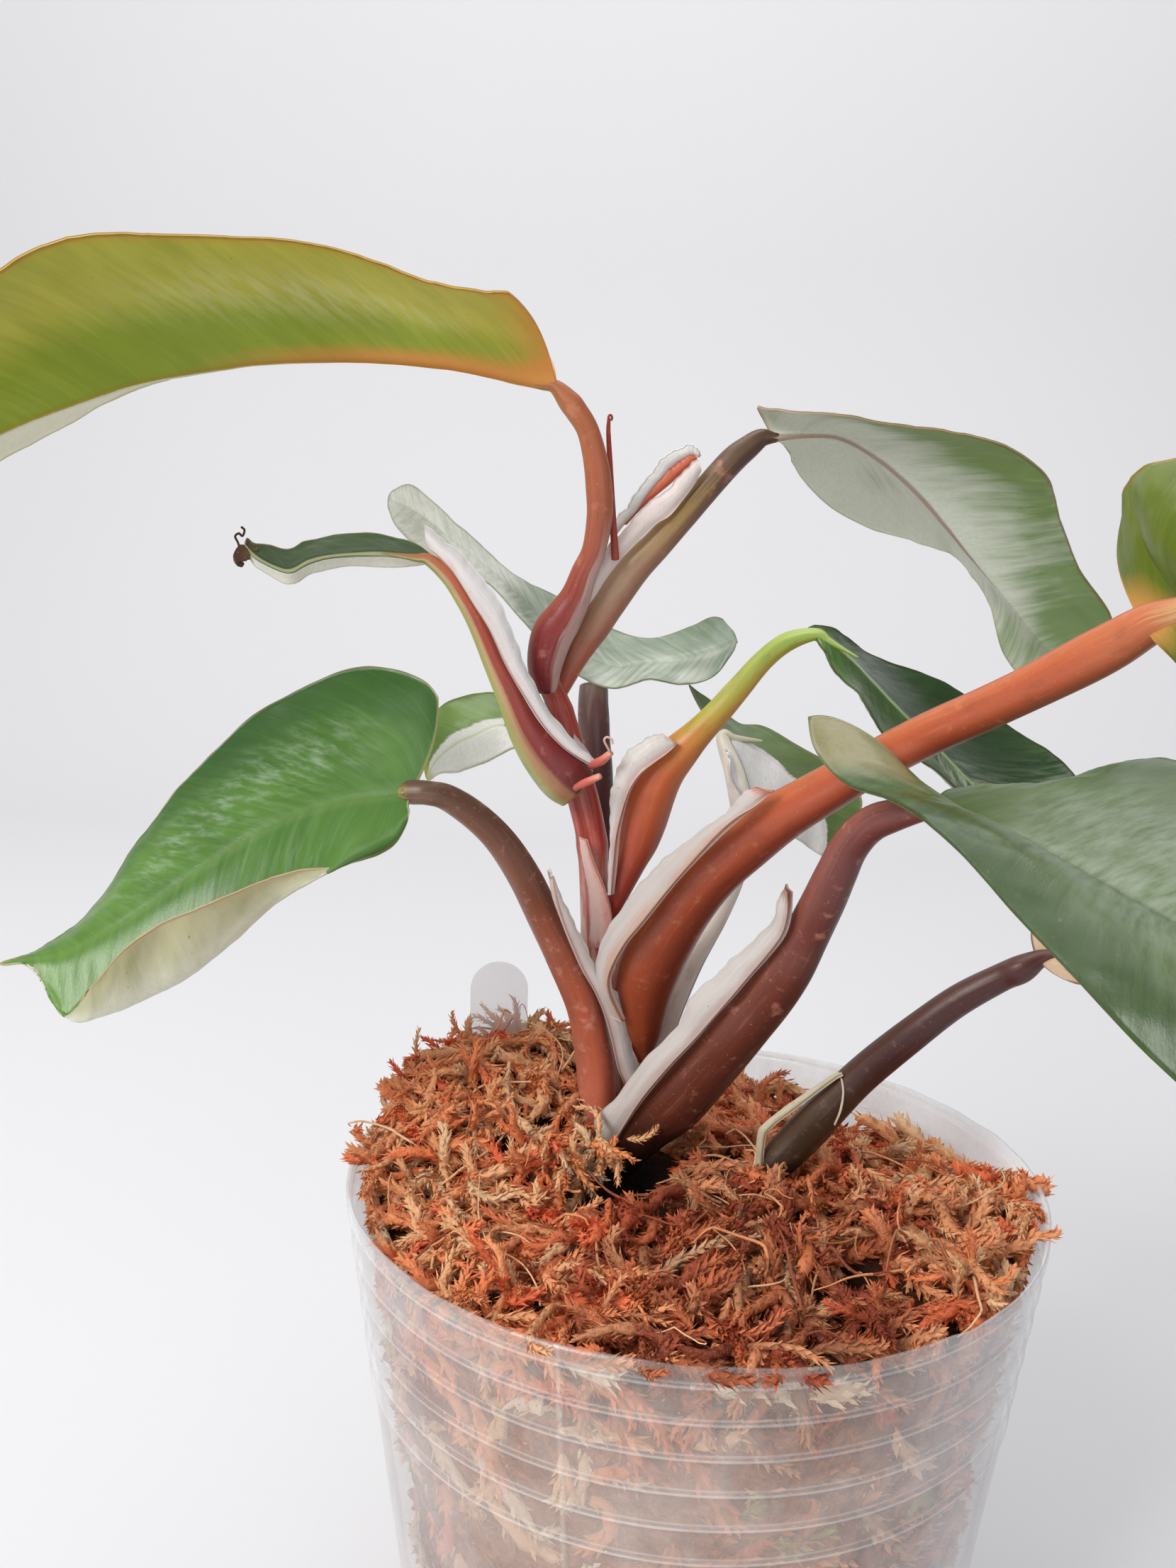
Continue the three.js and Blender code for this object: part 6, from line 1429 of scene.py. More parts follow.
    def r7(U, S, L, dm, ed):
        vg = 0.20 + 0.8 * (1 - smooth(0.02, 0.14, U)) + 0.30 * wave_noise(L * 0.12, dm * 0.15, 9.0)
        gm = 0.4 + 0.3 * wave_noise(L * 0.1, dm * 0.1, 10.0)
        wm = 0.0 * U
        return vg, gm, wm

    m7 = leaf_material("leaf_7_skin", R(56, 92, 46), R(108, 140, 74), R(216, 186, 156), R(170, 160, 120), R(170, 146, 116), R(120, 80, 60), R(206, 160, 140), seed=7.0, streak=0.7, veins=0.03)
    add(blade("leaf_7_look", BLADES["leaf_7"], r7, m7, seed=6.0, wave=0.35, waves=3.0, rib_h=0.7, rib_w=0.6, ripple=0.015), "leaf_7")

    # leaf 8: the green leaf at the left, a painted whitish sheen, cream underside on the curled near half
    def r8(U, S, L, dm, ed):
        up = 0.02 + 0.14 * wave_noise(L * 0.10, dm * 0.13, 11.0) + 0.10 * smooth(0.85, 1.0, U) * smooth(0.2, -0.4, S)
        lo = 0.58 + 0.46 * smooth(-0.85, -0.40, S) - 0.22 * np.clip(wave_noise(L * 0.12, dm * 0.15, 12.0), 0, 1)
        gm = 0.32 + 0.30 * smooth(0.25, 0.9, U) + 0.25 * wave_noise(L * 0.1, dm * 0.12, 13.0) - 0.45 * smooth(0.55, 0.95, S)
        wlo = np.clip(0.70 * smooth(-0.55, -0.95, S) * smooth(0.10, 0.25, U) * (1 - 0.7 * smooth(0.75, 1.0, U)), 0, 0.8)
        return (up, lo), gm, (0.0 * U, wlo)

    # painted sheen on leaf 8: painted reflection in bands either side of the midrib
    def s8(U, S, L, dm, ed):
        a = ridge(S, 0.42, 0.24) * smooth(0.08, 0.22, U) * (1 - smooth(0.50, 0.72, U))
        b = 0.45 * ridge(S, -0.35, 0.3) * smooth(0.10, 0.3, U) * (1 - smooth(0.6, 0.8, U))
        return np.clip(a + b, 0, 1)

    m8 = leaf_material("leaf_8_skin", R(60, 102, 44), R(106, 146, 60), R(216, 216, 198), R(200, 200, 172), R(132, 156, 92), R(196, 168, 134), R(166, 156, 108), seed=8.0, streak=0.42, sharp=0.22, rough=0.30, under_fac=0.30, rib_fac=0.16, veins=0.04, painted_sheen=R(160, 180, 156), painted_sheen_amt=0.55, edge_w=0.5, patchy=(0.42, 0.70))
    add(blade("leaf_8_look", BLADES["leaf_8"], r8, m8, seed=7.0, wave=0.3, waves=3.0, rib_h=0.4, rib_w=0.55, nu=130, nv=66, painted_sheen=s8, edges=(0.6, 0.30), ripple=0.008), "leaf_8")

    # leaf 9: pale grey-green leaf behind, cream end
    def r9(U, S, L, dm, ed):
        vg = 0.26 + 0.85 * smooth(0.52, 0.76, U) + 0.22 * wave_noise(L * 0.08, dm * 0.2, 14.0)
        gm = 0.5 + 0.3 * wave_noise(L * 0.09, dm * 0.15, 15.0)
        wm = 0.0 * U
        return vg, gm, wm

    # leaf 9 carries painted sheen all over: a grey-green painted reflection in patches
    m9 = leaf_material("leaf_9_skin", R(100, 120, 96), R(134, 150, 126), R(226, 228, 218), R(136, 150, 132), R(160, 170, 142), R(140, 146, 116), R(180, 170, 140), seed=9.0, streak=0.45, sharp=0.24, under_fac=0.3, rib_fac=0.2, veins=0.02, painted_sheen=R(146, 156, 144), painted_sheen_amt=0.5)
    add(blade("leaf_9_look", BLADES["leaf_9"], r9, m9, seed=8.0, wave=0.35, waves=3.0, rib_h=0.4, rib_w=0.5, painted_sheen=lambda U, S, L, dm, ed: 0.6 + 0 * U, ripple=0.008, edges=(0.4, 0.4)), "leaf_9")

    def r10(U, S, L, dm, ed):
        vg = 0.22 + 0.80 * smooth(0.40, 0.0, S) + 0.15 * wave_noise(L * 0.2, dm * 0.2, 16.0)
        gm = 0.6 + 0.3 * wave_noise(L * 0.2, dm * 0.2, 17.0)
        wm = np.clip(smooth(0.88, 0.98, U), 0, 0.7)
        return vg, gm, wm

    m10 = leaf_material("leaf_10_skin", R(98, 132, 60), R(136, 166, 90), R(232, 234, 230), R(186, 194, 170), R(196, 206, 160), R(160, 160, 110), R(190, 186, 90), seed=10.0, streak=0.4, veins=0.03)
    add(blade("leaf_10_look", BLADES["leaf_10"], r10, m10, seed=9.0, wave=0.25, waves=3.0, rib_h=0.3, rib_w=0.35, nu=70, nv=40, edges=(0.35, 0.35), ripple=0.008), "leaf_10")

    def r11(U, S, L, dm, ed):
        vg = 0.12 + 0.80 * smooth(0.30, -0.15, S) + 0.15 * wave_noise(L * 0.2, dm * 0.2, 18.0) - 0.25 * (1 - smooth(0.1, 0.3, U))
        gm = 0.4 + 0.3 * wave_noise(L * 0.2, dm * 0.2, 19.0)
        wm = 0.0 * U
        return vg, gm, wm

    m11 = leaf_material("leaf_11_skin", R(76, 96, 50), R(112, 134, 84), R(226, 224, 226), R(190, 194, 184), R(170, 140, 120), R(150, 130, 110), R(180, 150, 110), seed=11.0, streak=0.4, veins=0.02, under_fac=0.12, rib_fac=0.2)
    add(blade("leaf_11_look", BLADES["leaf_11"], r11, m11, seed=10.0, wave=0.25, waves=3.0, rib_h=0.2, rib_w=0.35, nu=80, nv=44, round_base=0.0, edges=(0.25, 0.45), ripple=0.008), "leaf_11")


# ------------------------------------------------------------------ moss
GAPS = [(-7.6, 2.4, 6.0, 7.6, 79.5), (-11.5, -8.5, 2.6, 3.4, 83.5), (20.4, -21.5, 2.5, 4.6, 81.0), (3.0, 3.0, 4.5, 2.4, 82.0)]


def moss_material(name, hue_shift=0.0):
    m = Nodes(name)
    col = m.attr_color("Col")
    p = position_mm(m)
    n1 = m.noise(p, 1.3, 5.0, 0.65)
    n2 = m.noise(p, 3.6, 4.0, 0.65)
    col = m.mix(m.math("MULTIPLY", m.smoothstep(n1, 0.50, 0.78), 0.10), col, rgb(160, 76, 38))
    col = m.mix(m.math("MULTIPLY", m.smoothstep(n2, 0.54, 0.80), 0.40), col, rgb(252, 206, 156))
    nrm = m.bump(m.math("ADD", n1, n2), 0.8, 0.0005)
    r = m.math("ADD", 0.30, m.math("MULTIPLY", n2, 0.35))
    return m.finish(m.bsdf(col, r, nrm, spec=0.40, coat=0.10, coat_rough=0.3))


def strands(rng, P0, D0, Lg, rad, colors, scales=22, seg=9, core_sides=4, curl=1.0, keep=None, gaps=True, scale_l=1.0, scale_w=0.30, core_fac=0.66, out_l=0.48):
    """Sphagnum branchlets: a thin core with pointed leaf scales. All arrays are per strand."""
    n = len(P0)
    t = np.linspace(0, 1, seg + 1)
    # a heading that turns smoothly along each strand
    ax = unit(rng.normal(size=(n, 3)))
    turn = rng.normal(0.0, 0.9 * curl, n)
    pts = np.zeros((n, seg + 1, 3))
    pts[:, 0] = P0
    d = unit(D0)
    ax = unit(ax - d * (ax * d).sum(1, keepdims=True))
    wob = rng.normal(0, 0.10 * curl, (n, seg, 3))
    for k in range(seg):
        a = (turn / seg)[:, None]
        d = unit(d * np.cos(a) + np.cross(ax, d) * np.sin(a) + wob[:, k] + np.array([0, 0, -0.02]))
        pts[:, k + 1] = pts[:, k] + d * (Lg / seg)[:, None]
    if keep is not None:
        pts = keep(pts)
    if gaps:
        out = np.ones(n, bool)
        for gx, gy, ga, gb, gz in GAPS:
            inside = ((pts[..., 0] - gx) / ga) ** 2 + ((pts[..., 1] - gy) / gb) ** 2 < 1
            out &= ~(inside & (pts[..., 2] > gz)).any(1)
        pts, rad, colors = pts[out], rad[out], colors[out]
        n = len(pts)
    T = unit(np.gradient(pts, axis=1))
    ref = unit(rng.normal(size=(n, 1, 3)))
    X = unit(np.cross(T, ref))
    Y = np.cross(T, X)
    env = np.sin(math.pi * np.clip(t * 0.93 + 0.05, 0, 1)) ** 0.55
    # core
    ang = np.linspace(0, 2 * math.pi, core_sides, endpoint=False)
    cr = (rad[:, None] * core_fac) * env[None] * (1 + 0.20 * np.sin(np.arange(seg + 1)[None] * 2.6 + rng.uniform(0, 6.28, (n, 1))))
    ring = pts[:, :, None] + cr[..., None, None] * (X[:, :, None] * np.cos(ang)[None, None, :, None] + Y[:, :, None] * np.sin(ang)[None, None, :, None])
    core_v = ring.reshape(n, -1, 3)
    cq = grid_quads(seg + 1, core_sides, 0, False, wrap=True)
    # scales
    f = np.linspace(0.02, 0.97, scales)
    fi = f * seg
    i0 = np.minimum(fi.astype(int), seg - 1)
    w = (fi - i0)[None, :, None]
    c = pts[:, i0] * (1 - w) + pts[:, i0 + 1] * w
    tt = unit(T[:, i0] * (1 - w) + T[:, i0 + 1] * w)
    xx = X[:, i0]
    yy = Y[:, i0]
    phi = (np.arange(scales) * 2.39996)[None, :] + rng.uniform(0, 6.28, (n, 1))
    out = xx * np.cos(phi)[..., None] + yy * np.sin(phi)[..., None]
    side = np.cross(tt, out)
    ef = (np.sin(math.pi * np.clip(f * 0.93 + 0.05, 0, 1)) ** 0.55)[None, :]
    r = rad[:, None] * ef
    jit = rng.uniform(0.6, 1.4, (n, scales))
    rr = r[..., None]
    sl = (scale_l * jit * (0.80 + 0.20 * r))[..., None]
    sw = scale_w * (0.75 + 0.25 * rr)
    base = c + out * ((core_fac - 0.12) * rr) - tt * sl * 0.35
    midl = c + out * ((core_fac + 0.18) * rr) + tt * sl * 0.22 + side * sw
    midr = c + out * ((core_fac + 0.12) * rr) + tt * sl * 0.30 - side * sw
    tip = c + out * (rr * 0.92 + out_l * jit[..., None]) + tt * sl * 0.9
    sv = np.stack([base, midl, tip, midr], 2).reshape(n, -1, 3)
    nc, ns = core_v.shape[1], sv.shape[1]
    V = np.concatenate([core_v, sv], 1)
    per = nc + ns
    off = (np.arange(n) * per)[:, None, None]
    quads = (cq[None] + off).reshape(-1, 4)
    b = nc + np.arange(scales) * 4
    tr = np.concatenate([np.stack([b, b + 1, b + 2], -1), np.stack([b, b + 2, b + 3], -1)])
    tris = (tr[None] + off).reshape(-1, 3)
    # colour: each strand has its own, paler towards its tip; painted shade darkens its core and the bases of its
    # scales, painted highlight lightens the scale tips
    tc = np.concatenate([np.repeat(t, core_sides), np.repeat(f, 4)])
    inner = np.concatenate([np.full(nc, 0.96), np.tile([0.94, 1.14, 1.38, 1.18], scales)])
    shade = (0.94 + 0.24 * tc) * inner
    ph = rng.uniform(0, 6.28, (n, 1))
    blotch = 1 + 0.16 * np.sin(tc[None] * rng.uniform(4, 11, (n, 1)) + ph)
    col = colors[:, None, :] * (shade[None] * blotch)[..., None] * rng.uniform(0.88, 1.12, (n, per, 1))
    peak = col.max(-1, keepdims=True)
    col = col / np.maximum(peak / 0.97, 1.0)
    return V.reshape(-1, 3), quads, tris, col.reshape(-1, 3)


def lin(c):
    c = np.asarray(c, float) / 255.0
    return np.where(c <= 0.04045, c / 12.92, ((c + 0.055) / 1.055) ** 2.4)


PALETTE = np.array([lin(c) for c in [(232, 138, 88), (242, 152, 100), (220, 122, 76), (248, 168, 116), (202, 102, 64), (250, 182, 130), (228, 130, 82), (188, 88, 54)]])
STRAW = np.array([lin(c) for c in [(252, 176, 122), (254, 192, 140), (248, 164, 110), (254, 206, 158), (244, 152, 98)]])


def moss_colors(rng, P, shade_hollows=False):
    n = len(P)
    c = PALETTE[rng.integers(0, len(PALETTE), n)]
    left = smooth(-4, -26, P[:, 0]) * 0.62 + 0.62 * smooth(20, 34, P[:, 0]) + 0.10
    straw = rng.uniform(size=n) < left
    c = np.where(straw[:, None], STRAW[rng.integers(0, len(STRAW), n)], c)
    patch = wave_noise(P[:, 0] * 0.16, P[:, 1] * 0.16 + P[:, 2] * 0.1, 3.0)[:, None]
    c = c * (1 + 0.16 * patch)
    # painted light: the left and far right are brightened further, on top of their paler straw strands
    c = c * (1.0 + 0.60 * smooth(-2, -18, P[:, 0]) + 0.55 * smooth(18, 32, P[:, 0]))[:, None]
    # a pale sprig right at the stem's foot
    near = np.exp(-(((P[:, 0] + 13) / 4.5) ** 2 + ((P[:, 1] - 3) / 4.0) ** 2))
    near = near * (P[:, 2] > 84)
    pale = rng.uniform(size=n) < near * 0.75
    c = np.where(pale[:, None], lin((250, 200, 150))[None], c)
    # the front is darker and redder
    front_dark = smooth(-20, -6, P[:, 0]) * smooth(32, 22, P[:, 0]) * smooth(6, -6, P[:, 1])
    c = c * (1 - front_dark[:, None] * np.array([0.43, 0.51, 0.52]))
    if shade_hollows:
        # painted shade: darker in the heap's hollows, lighter on its clumps
        c = c * (1 + 0.30 * np.clip(relief(P[:, 0], P[:, 1]) / 1.9, -1, 1))[:, None]
    c = c * rng.uniform(0.85, 1.15, (n, 1))
    return c / np.maximum(c.max(1, keepdims=True) / 0.96, 1.0)


def keep_in(pts, inset=1.75):
    """Pushes points inside the cup's wall below the rim."""
    r = np.linalg.norm(pts[..., :2], axis=-1)
    lim = wall_r(np.clip(pts[..., 2], 0, 90)) - inset
    over = smooth(87.5, 90.5, pts[..., 2]) * 2.8
    lim = lim + over
    k = np.where(r > lim, lim / np.maximum(r, 1e-6), 1.0)
    pts = pts.copy()
    pts[..., 0] *= k
    pts[..., 1] *= k
    pts[..., 2] = np.maximum(pts[..., 2], 2.4)
    return pts


def relief(x, y):
    """Clumps and hollows of the heap, a few millimetres deep."""
    return 1.9 * wave_noise(x * 0.40, y * 0.46, 9.0, 3) * smooth(40, 34, np.hypot(x, y))


def lie_down(pts):
    """Keeps the strands of the top layer close to the heap's surface."""
    pts = keep_in(pts, 2.6)
    x, y = pts[..., 0], pts[..., 1]
    top = moss_top(x, y) + relief(x, y) - 0.6 - 2.2 * np.exp(-((x + 27) ** 2 + (y - 22) ** 2) / 260)
    over = pts[..., 2] - top
    pts[..., 2] = np.where(over > 0, top + 2.4 * np.tanh(over / 5.0), pts[..., 2])
    return pts


def make_moss():
    mat = moss_material("moss_skin")
    # filler mound, a little lower than the strands and darker; painted shade turns its top and the gaps near black
    m = Nodes("moss_core_skin")
    p = position_mm(m)
    a = m.noise(p, 0.55, 6.0, 0.7, 0.6)
    b = m.noise(p, 1.8, 5.0, 0.7)
    col = m.ramp(a, [(0.3, rgb(104, 50, 26)), (0.48, rgb(172, 90, 46)), (0.6, rgb(212, 124, 68)), (0.75, rgb(238, 178, 120))])
    col = m.mix(m.math("MULTIPLY", m.smoothstep(b, 0.5, 0.7), 0.5), col, rgb(70, 32, 18))
    # the colour attribute mixes in the painted shade towards near black
    col = m.mix(m.attr_color("Col"), rgb(14, 8, 6), col)
    core_mat = m.finish(m.bsdf(col, 0.6, m.bump(m.math("ADD", a, b), 1.0, 0.0012), spec=0.3))
    na = 120
    prof = [(0, 2.2), (30.5, 2.2), (31.8, 4), (wall_r(30) - 3.2, 30), (wall_r(58) - 3.2, 58), (wall_r(76) - 3.2, 76)]
    ks = [1.0, 0.96, 0.9, 0.83, 0.75, 0.66, 0.57, 0.48, 0.39, 0.3, 0.21, 0.12, 0.04]
    ang = np.linspace(0, 2 * math.pi, na, endpoint=False)
    rows = []
    zz = []
    # densify the wall
    dense = []
    for (r0, z0), (r1, z1) in zip(prof, prof[1:]):
        for s in np.linspace(0, 1, max(2, int(abs(z1 - z0) / 3) + 2))[:-1]:
            dense.append((r0 + (r1 - r0) * s, z0 + (z1 - z0) * s))
    dense.append(prof[-1])
    for r, zc in dense:
        jitter = 0.5 * wave_noise(ang * 9, zc * 0.6, 1.0) if r > 1 else 0
        rows.append(np.stack([(r + jitter) * np.cos(ang), (r + jitter) * np.sin(ang), np.full(na, zc)], -1))
    for k in ks:
        r = k * (wall_r(84) - 3.6)
        x, y = r * np.cos(ang), r * np.sin(ang)
        rows.append(np.stack([x, y, moss_top(x, y) - 3.6 + 1.3 * relief(x, y)], -1))
    V = np.concatenate(rows)
    q = grid_quads(len(rows), na, 0, False, wrap=True)
    k0 = len(V)
    V = np.vstack([V, [0, 0, float(moss_top(0.0, 0.0)) - 3.0]])
    j = np.arange(na)
    last = (len(rows) - 1) * na
    tri = np.stack([np.full(na, k0), last + j, last + (j + 1) % na], -1)
    # painted shade: the mound's top is darkened towards near black, and darker still under the gaps
    painted_light_level = np.where(V[:, 2] > 76, 0.22, 1.0)
    for gx, gy, ga, gb, gz in GAPS:
        hole = np.exp(-(((V[:, 0] - gx) / (ga * 1.1)) ** 2 + ((V[:, 1] - gy) / (gb * 1.1)) ** 2) ** 2)
        painted_light_level = np.where(V[:, 2] > 70, painted_light_level * (1 - 0.92 * hole), painted_light_level)
    core = build_mesh("moss_core", V, quads=q, tris=tri, colors=np.repeat(painted_light_level[:, None], 3, 1), mats=[core_mat])
    add(core, "sphagnum_moss")

    # top layer, in three pieces
    for part, (count, seed, drop) in enumerate([(480, 11, 0.0), (470, 12, 0.9), (400, 13, 2.2)]):
        rng = np.random.default_rng(seed)
        r = 42.6 * np.sqrt(rng.uniform(0, 1, count))
        th = rng.uniform(0, 2 * math.pi, count)
        x, y = r * np.cos(th), r * np.sin(th)
        zt = moss_top(x, y) + relief(x, y) - drop - rng.uniform(0, 1.0, count)
        P0 = np.stack([x, y, zt], -1)
        flow = 3.4 * wave_noise(x * 0.11, y * 0.11, 6.0) + rng.normal(0, 0.8, count)
        down = rng.uniform(size=count) < 0.75 * smooth(2, -14, y)
        flow = np.where(down, np.arctan2(y - 8.0, x) + rng.normal(0, 0.55, count), flow)
        el = rng.normal(0.12, 0.45, count) + 0.15 * (part == 0)
        D0 = np.stack([np.cos(flow) * np.cos(el), np.sin(flow) * np.cos(el), np.sin(el)], -1)
        Lg = rng.uniform(9.0, 23.0, count)
        rad = rng.uniform(0.65, 1.15, count) * np.where(rng.uniform(size=count) < 0.28, 1.40, 1.0) * (1 - 0.15 * smooth(-6, -26, x))
        P0 = P0 - D0 * (Lg * 0.4)[:, None]
        V, q, tr, col = strands(rng, P0, D0, Lg, rad, moss_colors(rng, P0, True), scales=86, seg=13, core_sides=6, curl=2.4, keep=lie_down, scale_l=1.02, scale_w=0.30, core_fac=0.70, out_l=0.38)
        add(build_mesh("moss_top_%d" % (part + 1), V, quads=q, tris=tr, colors=col, smooth_shade="quads", mats=[mat]), "sphagnum_moss")

    # tufts that stand up round the heap and over the edge, and thin loose threads
    rng = np.random.default_rng(21)
    spots = np.array([
        (-44, 0, 91, -1.0, -0.1, 0.15), (-41, 12, 95, -0.8, 0.2, 0.5), (-38, 17, 97, -0.6, 0.2, 0.8), (-35, 22, 97, -0.5, 0.1, 0.9),
        (-28, 24, 97, 0.1, 0.0, 1.0), (-25, 26, 97, 0.2, 0.1, 0.9), (-20, 24, 95, 0.6, 0.0, 0.6), (-33, 8, 96, -0.3, -0.4, 0.7),
        (-37, 4, 93, -0.6, -0.5, 0.3), (-30, 0, 92, -0.2, -0.8, 0.2), (-20, -4, 90, 0.1, -0.9, 0.2), (9, 30, 86, 0.1, 0.1, 1.0), (11, 28, 86, 0.5, 0.0, 0.8),
        (20, 20, 85, 0.4, 0.3, 0.6), (31, 10, 86, 0.6, 0.5, 0.4), (37, 4, 86.5, 0.8, 0.1, 0.5), (40, -2, 87.5, 0.9, 0.1, 0.4), (41, -8, 87.5, 0.9, -0.2, 0.1),
        (30, -22, 88, 0.5, -0.5, 0.4), (20, -30, 88, 0.2, -0.6, 0.5), (6, -34, 88, 0.0, -0.6, 0.5), (-8, -34, 88, -0.2, -0.6, 0.4), (-20, -30, 88, -0.2, -0.6, 0.5),
        (-30, -22, 88, -0.4, -0.5, 0.5), (-13, 3, 89, 0.3, -0.8, 0.3), (-15, 5, 90, -0.4, -0.6, 0.5), (4, -14, 88, 0.3, -0.6, 0.5), (14, -20, 88, -0.3, -0.6, 0.5), (24, -8, 88, 0.5, -0.4, 0.5),
    ])
    reps = 14
    base = np.repeat(spots, reps, 0)
    n = len(base)
    P0 = base[:, :3] + rng.normal(0, 1.5, (n, 3)) * np.array([1, 1, 0.5])
    lim = moss_top(P0[:, 0], P0[:, 1]) - 0.6 - 2.0 * np.exp(-((P0[:, 0] + 27) ** 2 + (P0[:, 1] - 22) ** 2) / 260)
    P0[:, 2] = np.minimum(P0[:, 2], lim)
    D0 = unit(base[:, 3:6] * np.array([1, 1, 0.7]) + rng.normal(0, 0.45, (n, 3)))
    Lg = rng.uniform(3.5, 9.0, n)
    rad = rng.uniform(0.40, 0.80, n)
    V, q, tr, col = strands(rng, P0 - D0 * 1.5, D0, Lg, rad, moss_colors(rng, P0), scales=40, seg=9, core_sides=5, curl=2.2, keep=lambda p: keep_in(p, 2.5), scale_l=0.90, scale_w=0.27, core_fac=0.68, out_l=0.36)
    add(build_mesh("moss_tufts", V, quads=q, tris=tr, colors=col, smooth_shade="quads", mats=[mat]), "sphagnum_moss")

    # the pale sprig at the stem's foot, hanging over the dark gap
    rng = np.random.default_rng(25)
    n = 30
    P0 = np.array([-15.0, -2.2, 90.2]) + rng.normal(0, 1, (n, 3)) * np.array([2.2, 0.9, 0.8])
    D0 = unit(np.stack([rng.normal(0.25, 0.9, n), rng.normal(-0.45, 0.35, n), rng.normal(-0.30, 0.45, n)], -1))
    k = rng.uniform(size=n) < 0.25
    D0[k] = unit(np.array([0.9, -0.35, -0.45]) + rng.normal(0, 0.12, (k.sum(), 3)))
    pale = np.array([lin(c) for c in [(252, 208, 164), (252, 220, 184), (250, 190, 138), (244, 158, 100)]])[rng.integers(0, 4, n)]
    V, q, tr, col = strands(rng, P0, D0, rng.uniform(4.0, 8.5, n), rng.uniform(0.45, 0.85, n), pale, scales=40, seg=9, core_sides=5, curl=2.0, gaps=False, scale_l=0.80, scale_w=0.28, core_fac=0.72, out_l=0.30)
    add(build_mesh("moss_sprig", V, quads=q, tris=tr, colors=col, smooth_shade="quads", mats=[mat]), "sphagnum_moss")

    # threads
    rng = np.random.default_rng(31)
    n = 130
    r = 40 * np.sqrt(rng.uniform(0, 1, n))
    th = rng.uniform(0, 2 * math.pi, n)
    x, y = r * np.cos(th), r * np.sin(th)
    P0 = np.stack([x, y, moss_top(x, y) + rng.uniform(-0.6, 0.9, n)], -1)
    a = rng.uniform(0, 2 * math.pi, n)
    el = rng.normal(0.15, 0.3, n)
    d = np.stack([np.cos(a) * np.cos(el), np.sin(a) * np.cos(el), np.sin(el)], -1)
    Lg = rng.uniform(7, 19, n)
    seg = 18
    pts = np.zeros((n, seg + 1, 3))
    pts[:, 0] = P0
    ax = unit(rng.normal(size=(n, 3)) + np.array([0, 0, 0.6]))
    turn = rng.normal(0, 2.4, n)
    for k in range(seg):
        aa = (turn / seg)[:, None]
        d = unit(d * np.cos(aa) + np.cross(ax, d) * np.sin(aa) + rng.normal(0, 0.06, (n, 3)))
        pts[:, k + 1] = pts[:, k] + d * (Lg / seg)[:, None]
    top = moss_top(pts[..., 0], pts[..., 1])
    pts[..., 2] = np.clip(pts[..., 2], top - 0.5, top + 3.2)
    pts = keep_in(pts)
    T = unit(np.gradient(pts, axis=1))
    X = unit(np.cross(T, unit(rng.normal(size=(n, 1, 3)))))
    Y = np.cross(T, X)
    sides = 4
    ang = np.linspace(0, 2 * math.pi, sides, endpoint=False)
    tr_ = (rng.uniform(0.10, 0.24, n)[:, None] * (1 - 0.6 * np.linspace(0, 1, seg + 1) ** 2)[None])
    ring = pts[:, :, None] + tr_[..., None, None] * (X[:, :, None] * np.cos(ang)[None, None, :, None] + Y[:, :, None] * np.sin(ang)[None, None, :, None])
    per = (seg + 1) * sides
    quads = (grid_quads(seg + 1, sides, 0, False, wrap=True)[None] + (np.arange(n) * per)[:, None, None]).reshape(-1, 4)
    cc = np.where((rng.uniform(size=n) < 0.6)[:, None], STRAW[rng.integers(0, len(STRAW), n)], PALETTE[rng.integers(0, 8, n)] * 0.6)
    col = np.repeat(cc, per, 0)
    add(build_mesh("moss_threads", ring.reshape(-1, 3), quads=quads, colors=col, mats=[mat]), "sphagnum_moss")

    # the layer pressed against the clear wall
    rng = np.random.default_rng(41)
    n = 900
    z0 = 4 + 80 * rng.uniform(0, 1, n)
    th = rng.uniform(0, 2 * math.pi, n)
    rr = wall_r(z0) - 3.2 - rng.uniform(0, 1.2, n)
    P0 = np.stack([rr * np.cos(th), rr * np.sin(th), z0], -1)
    a = rng.normal(0.3, 0.9, n)
    tang = np.stack([-np.sin(th), np.cos(th), np.zeros(n)], -1)
    D0 = tang * np.cos(a)[:, None] + np.array([0, 0, 1.0]) * np.sin(a)[:, None]
    Lg = rng.uniform(7, 16, n)
    rad = rng.uniform(1.2, 2.1, n)
    pale = wave_noise(th * 5, z0 * 0.09, 2.0) + 0.5 * wave_noise(th * 13, z0 * 0.3, 5.0)
    wc = moss_colors(rng, P0)
    cream = np.array([lin(c) for c in [(250, 218, 182), (250, 200, 156), (250, 228, 200)]])[rng.integers(0, 3, n)]
    wc = np.where((pale + rng.normal(0, 0.25, n) > 0.35)[:, None], cream, wc)
    grey = np.array([lin(c) for c in [(220, 160, 120), (200, 120, 84), (176, 160, 100)]])[rng.integers(0, 3, n)]
    wc = np.where((pale + rng.normal(0, 0.2, n) < -0.75)[:, None], grey, wc)
    V, q, tr, col = strands(rng, P0, D0, Lg, rad, wc, scales=30, seg=7, core_sides=5, curl=1.6, gaps=False, scale_l=1.1, scale_w=0.34, keep=lambda p: keep_in(np.concatenate([p[..., :2], np.clip(p[..., 2:3], 4.0, 83.5)], -1), 3.1))
    add(build_mesh("moss_wall", V, quads=q, tris=tr, colors=col, smooth_shade="quads", mats=[mat]), "sphagnum_moss")


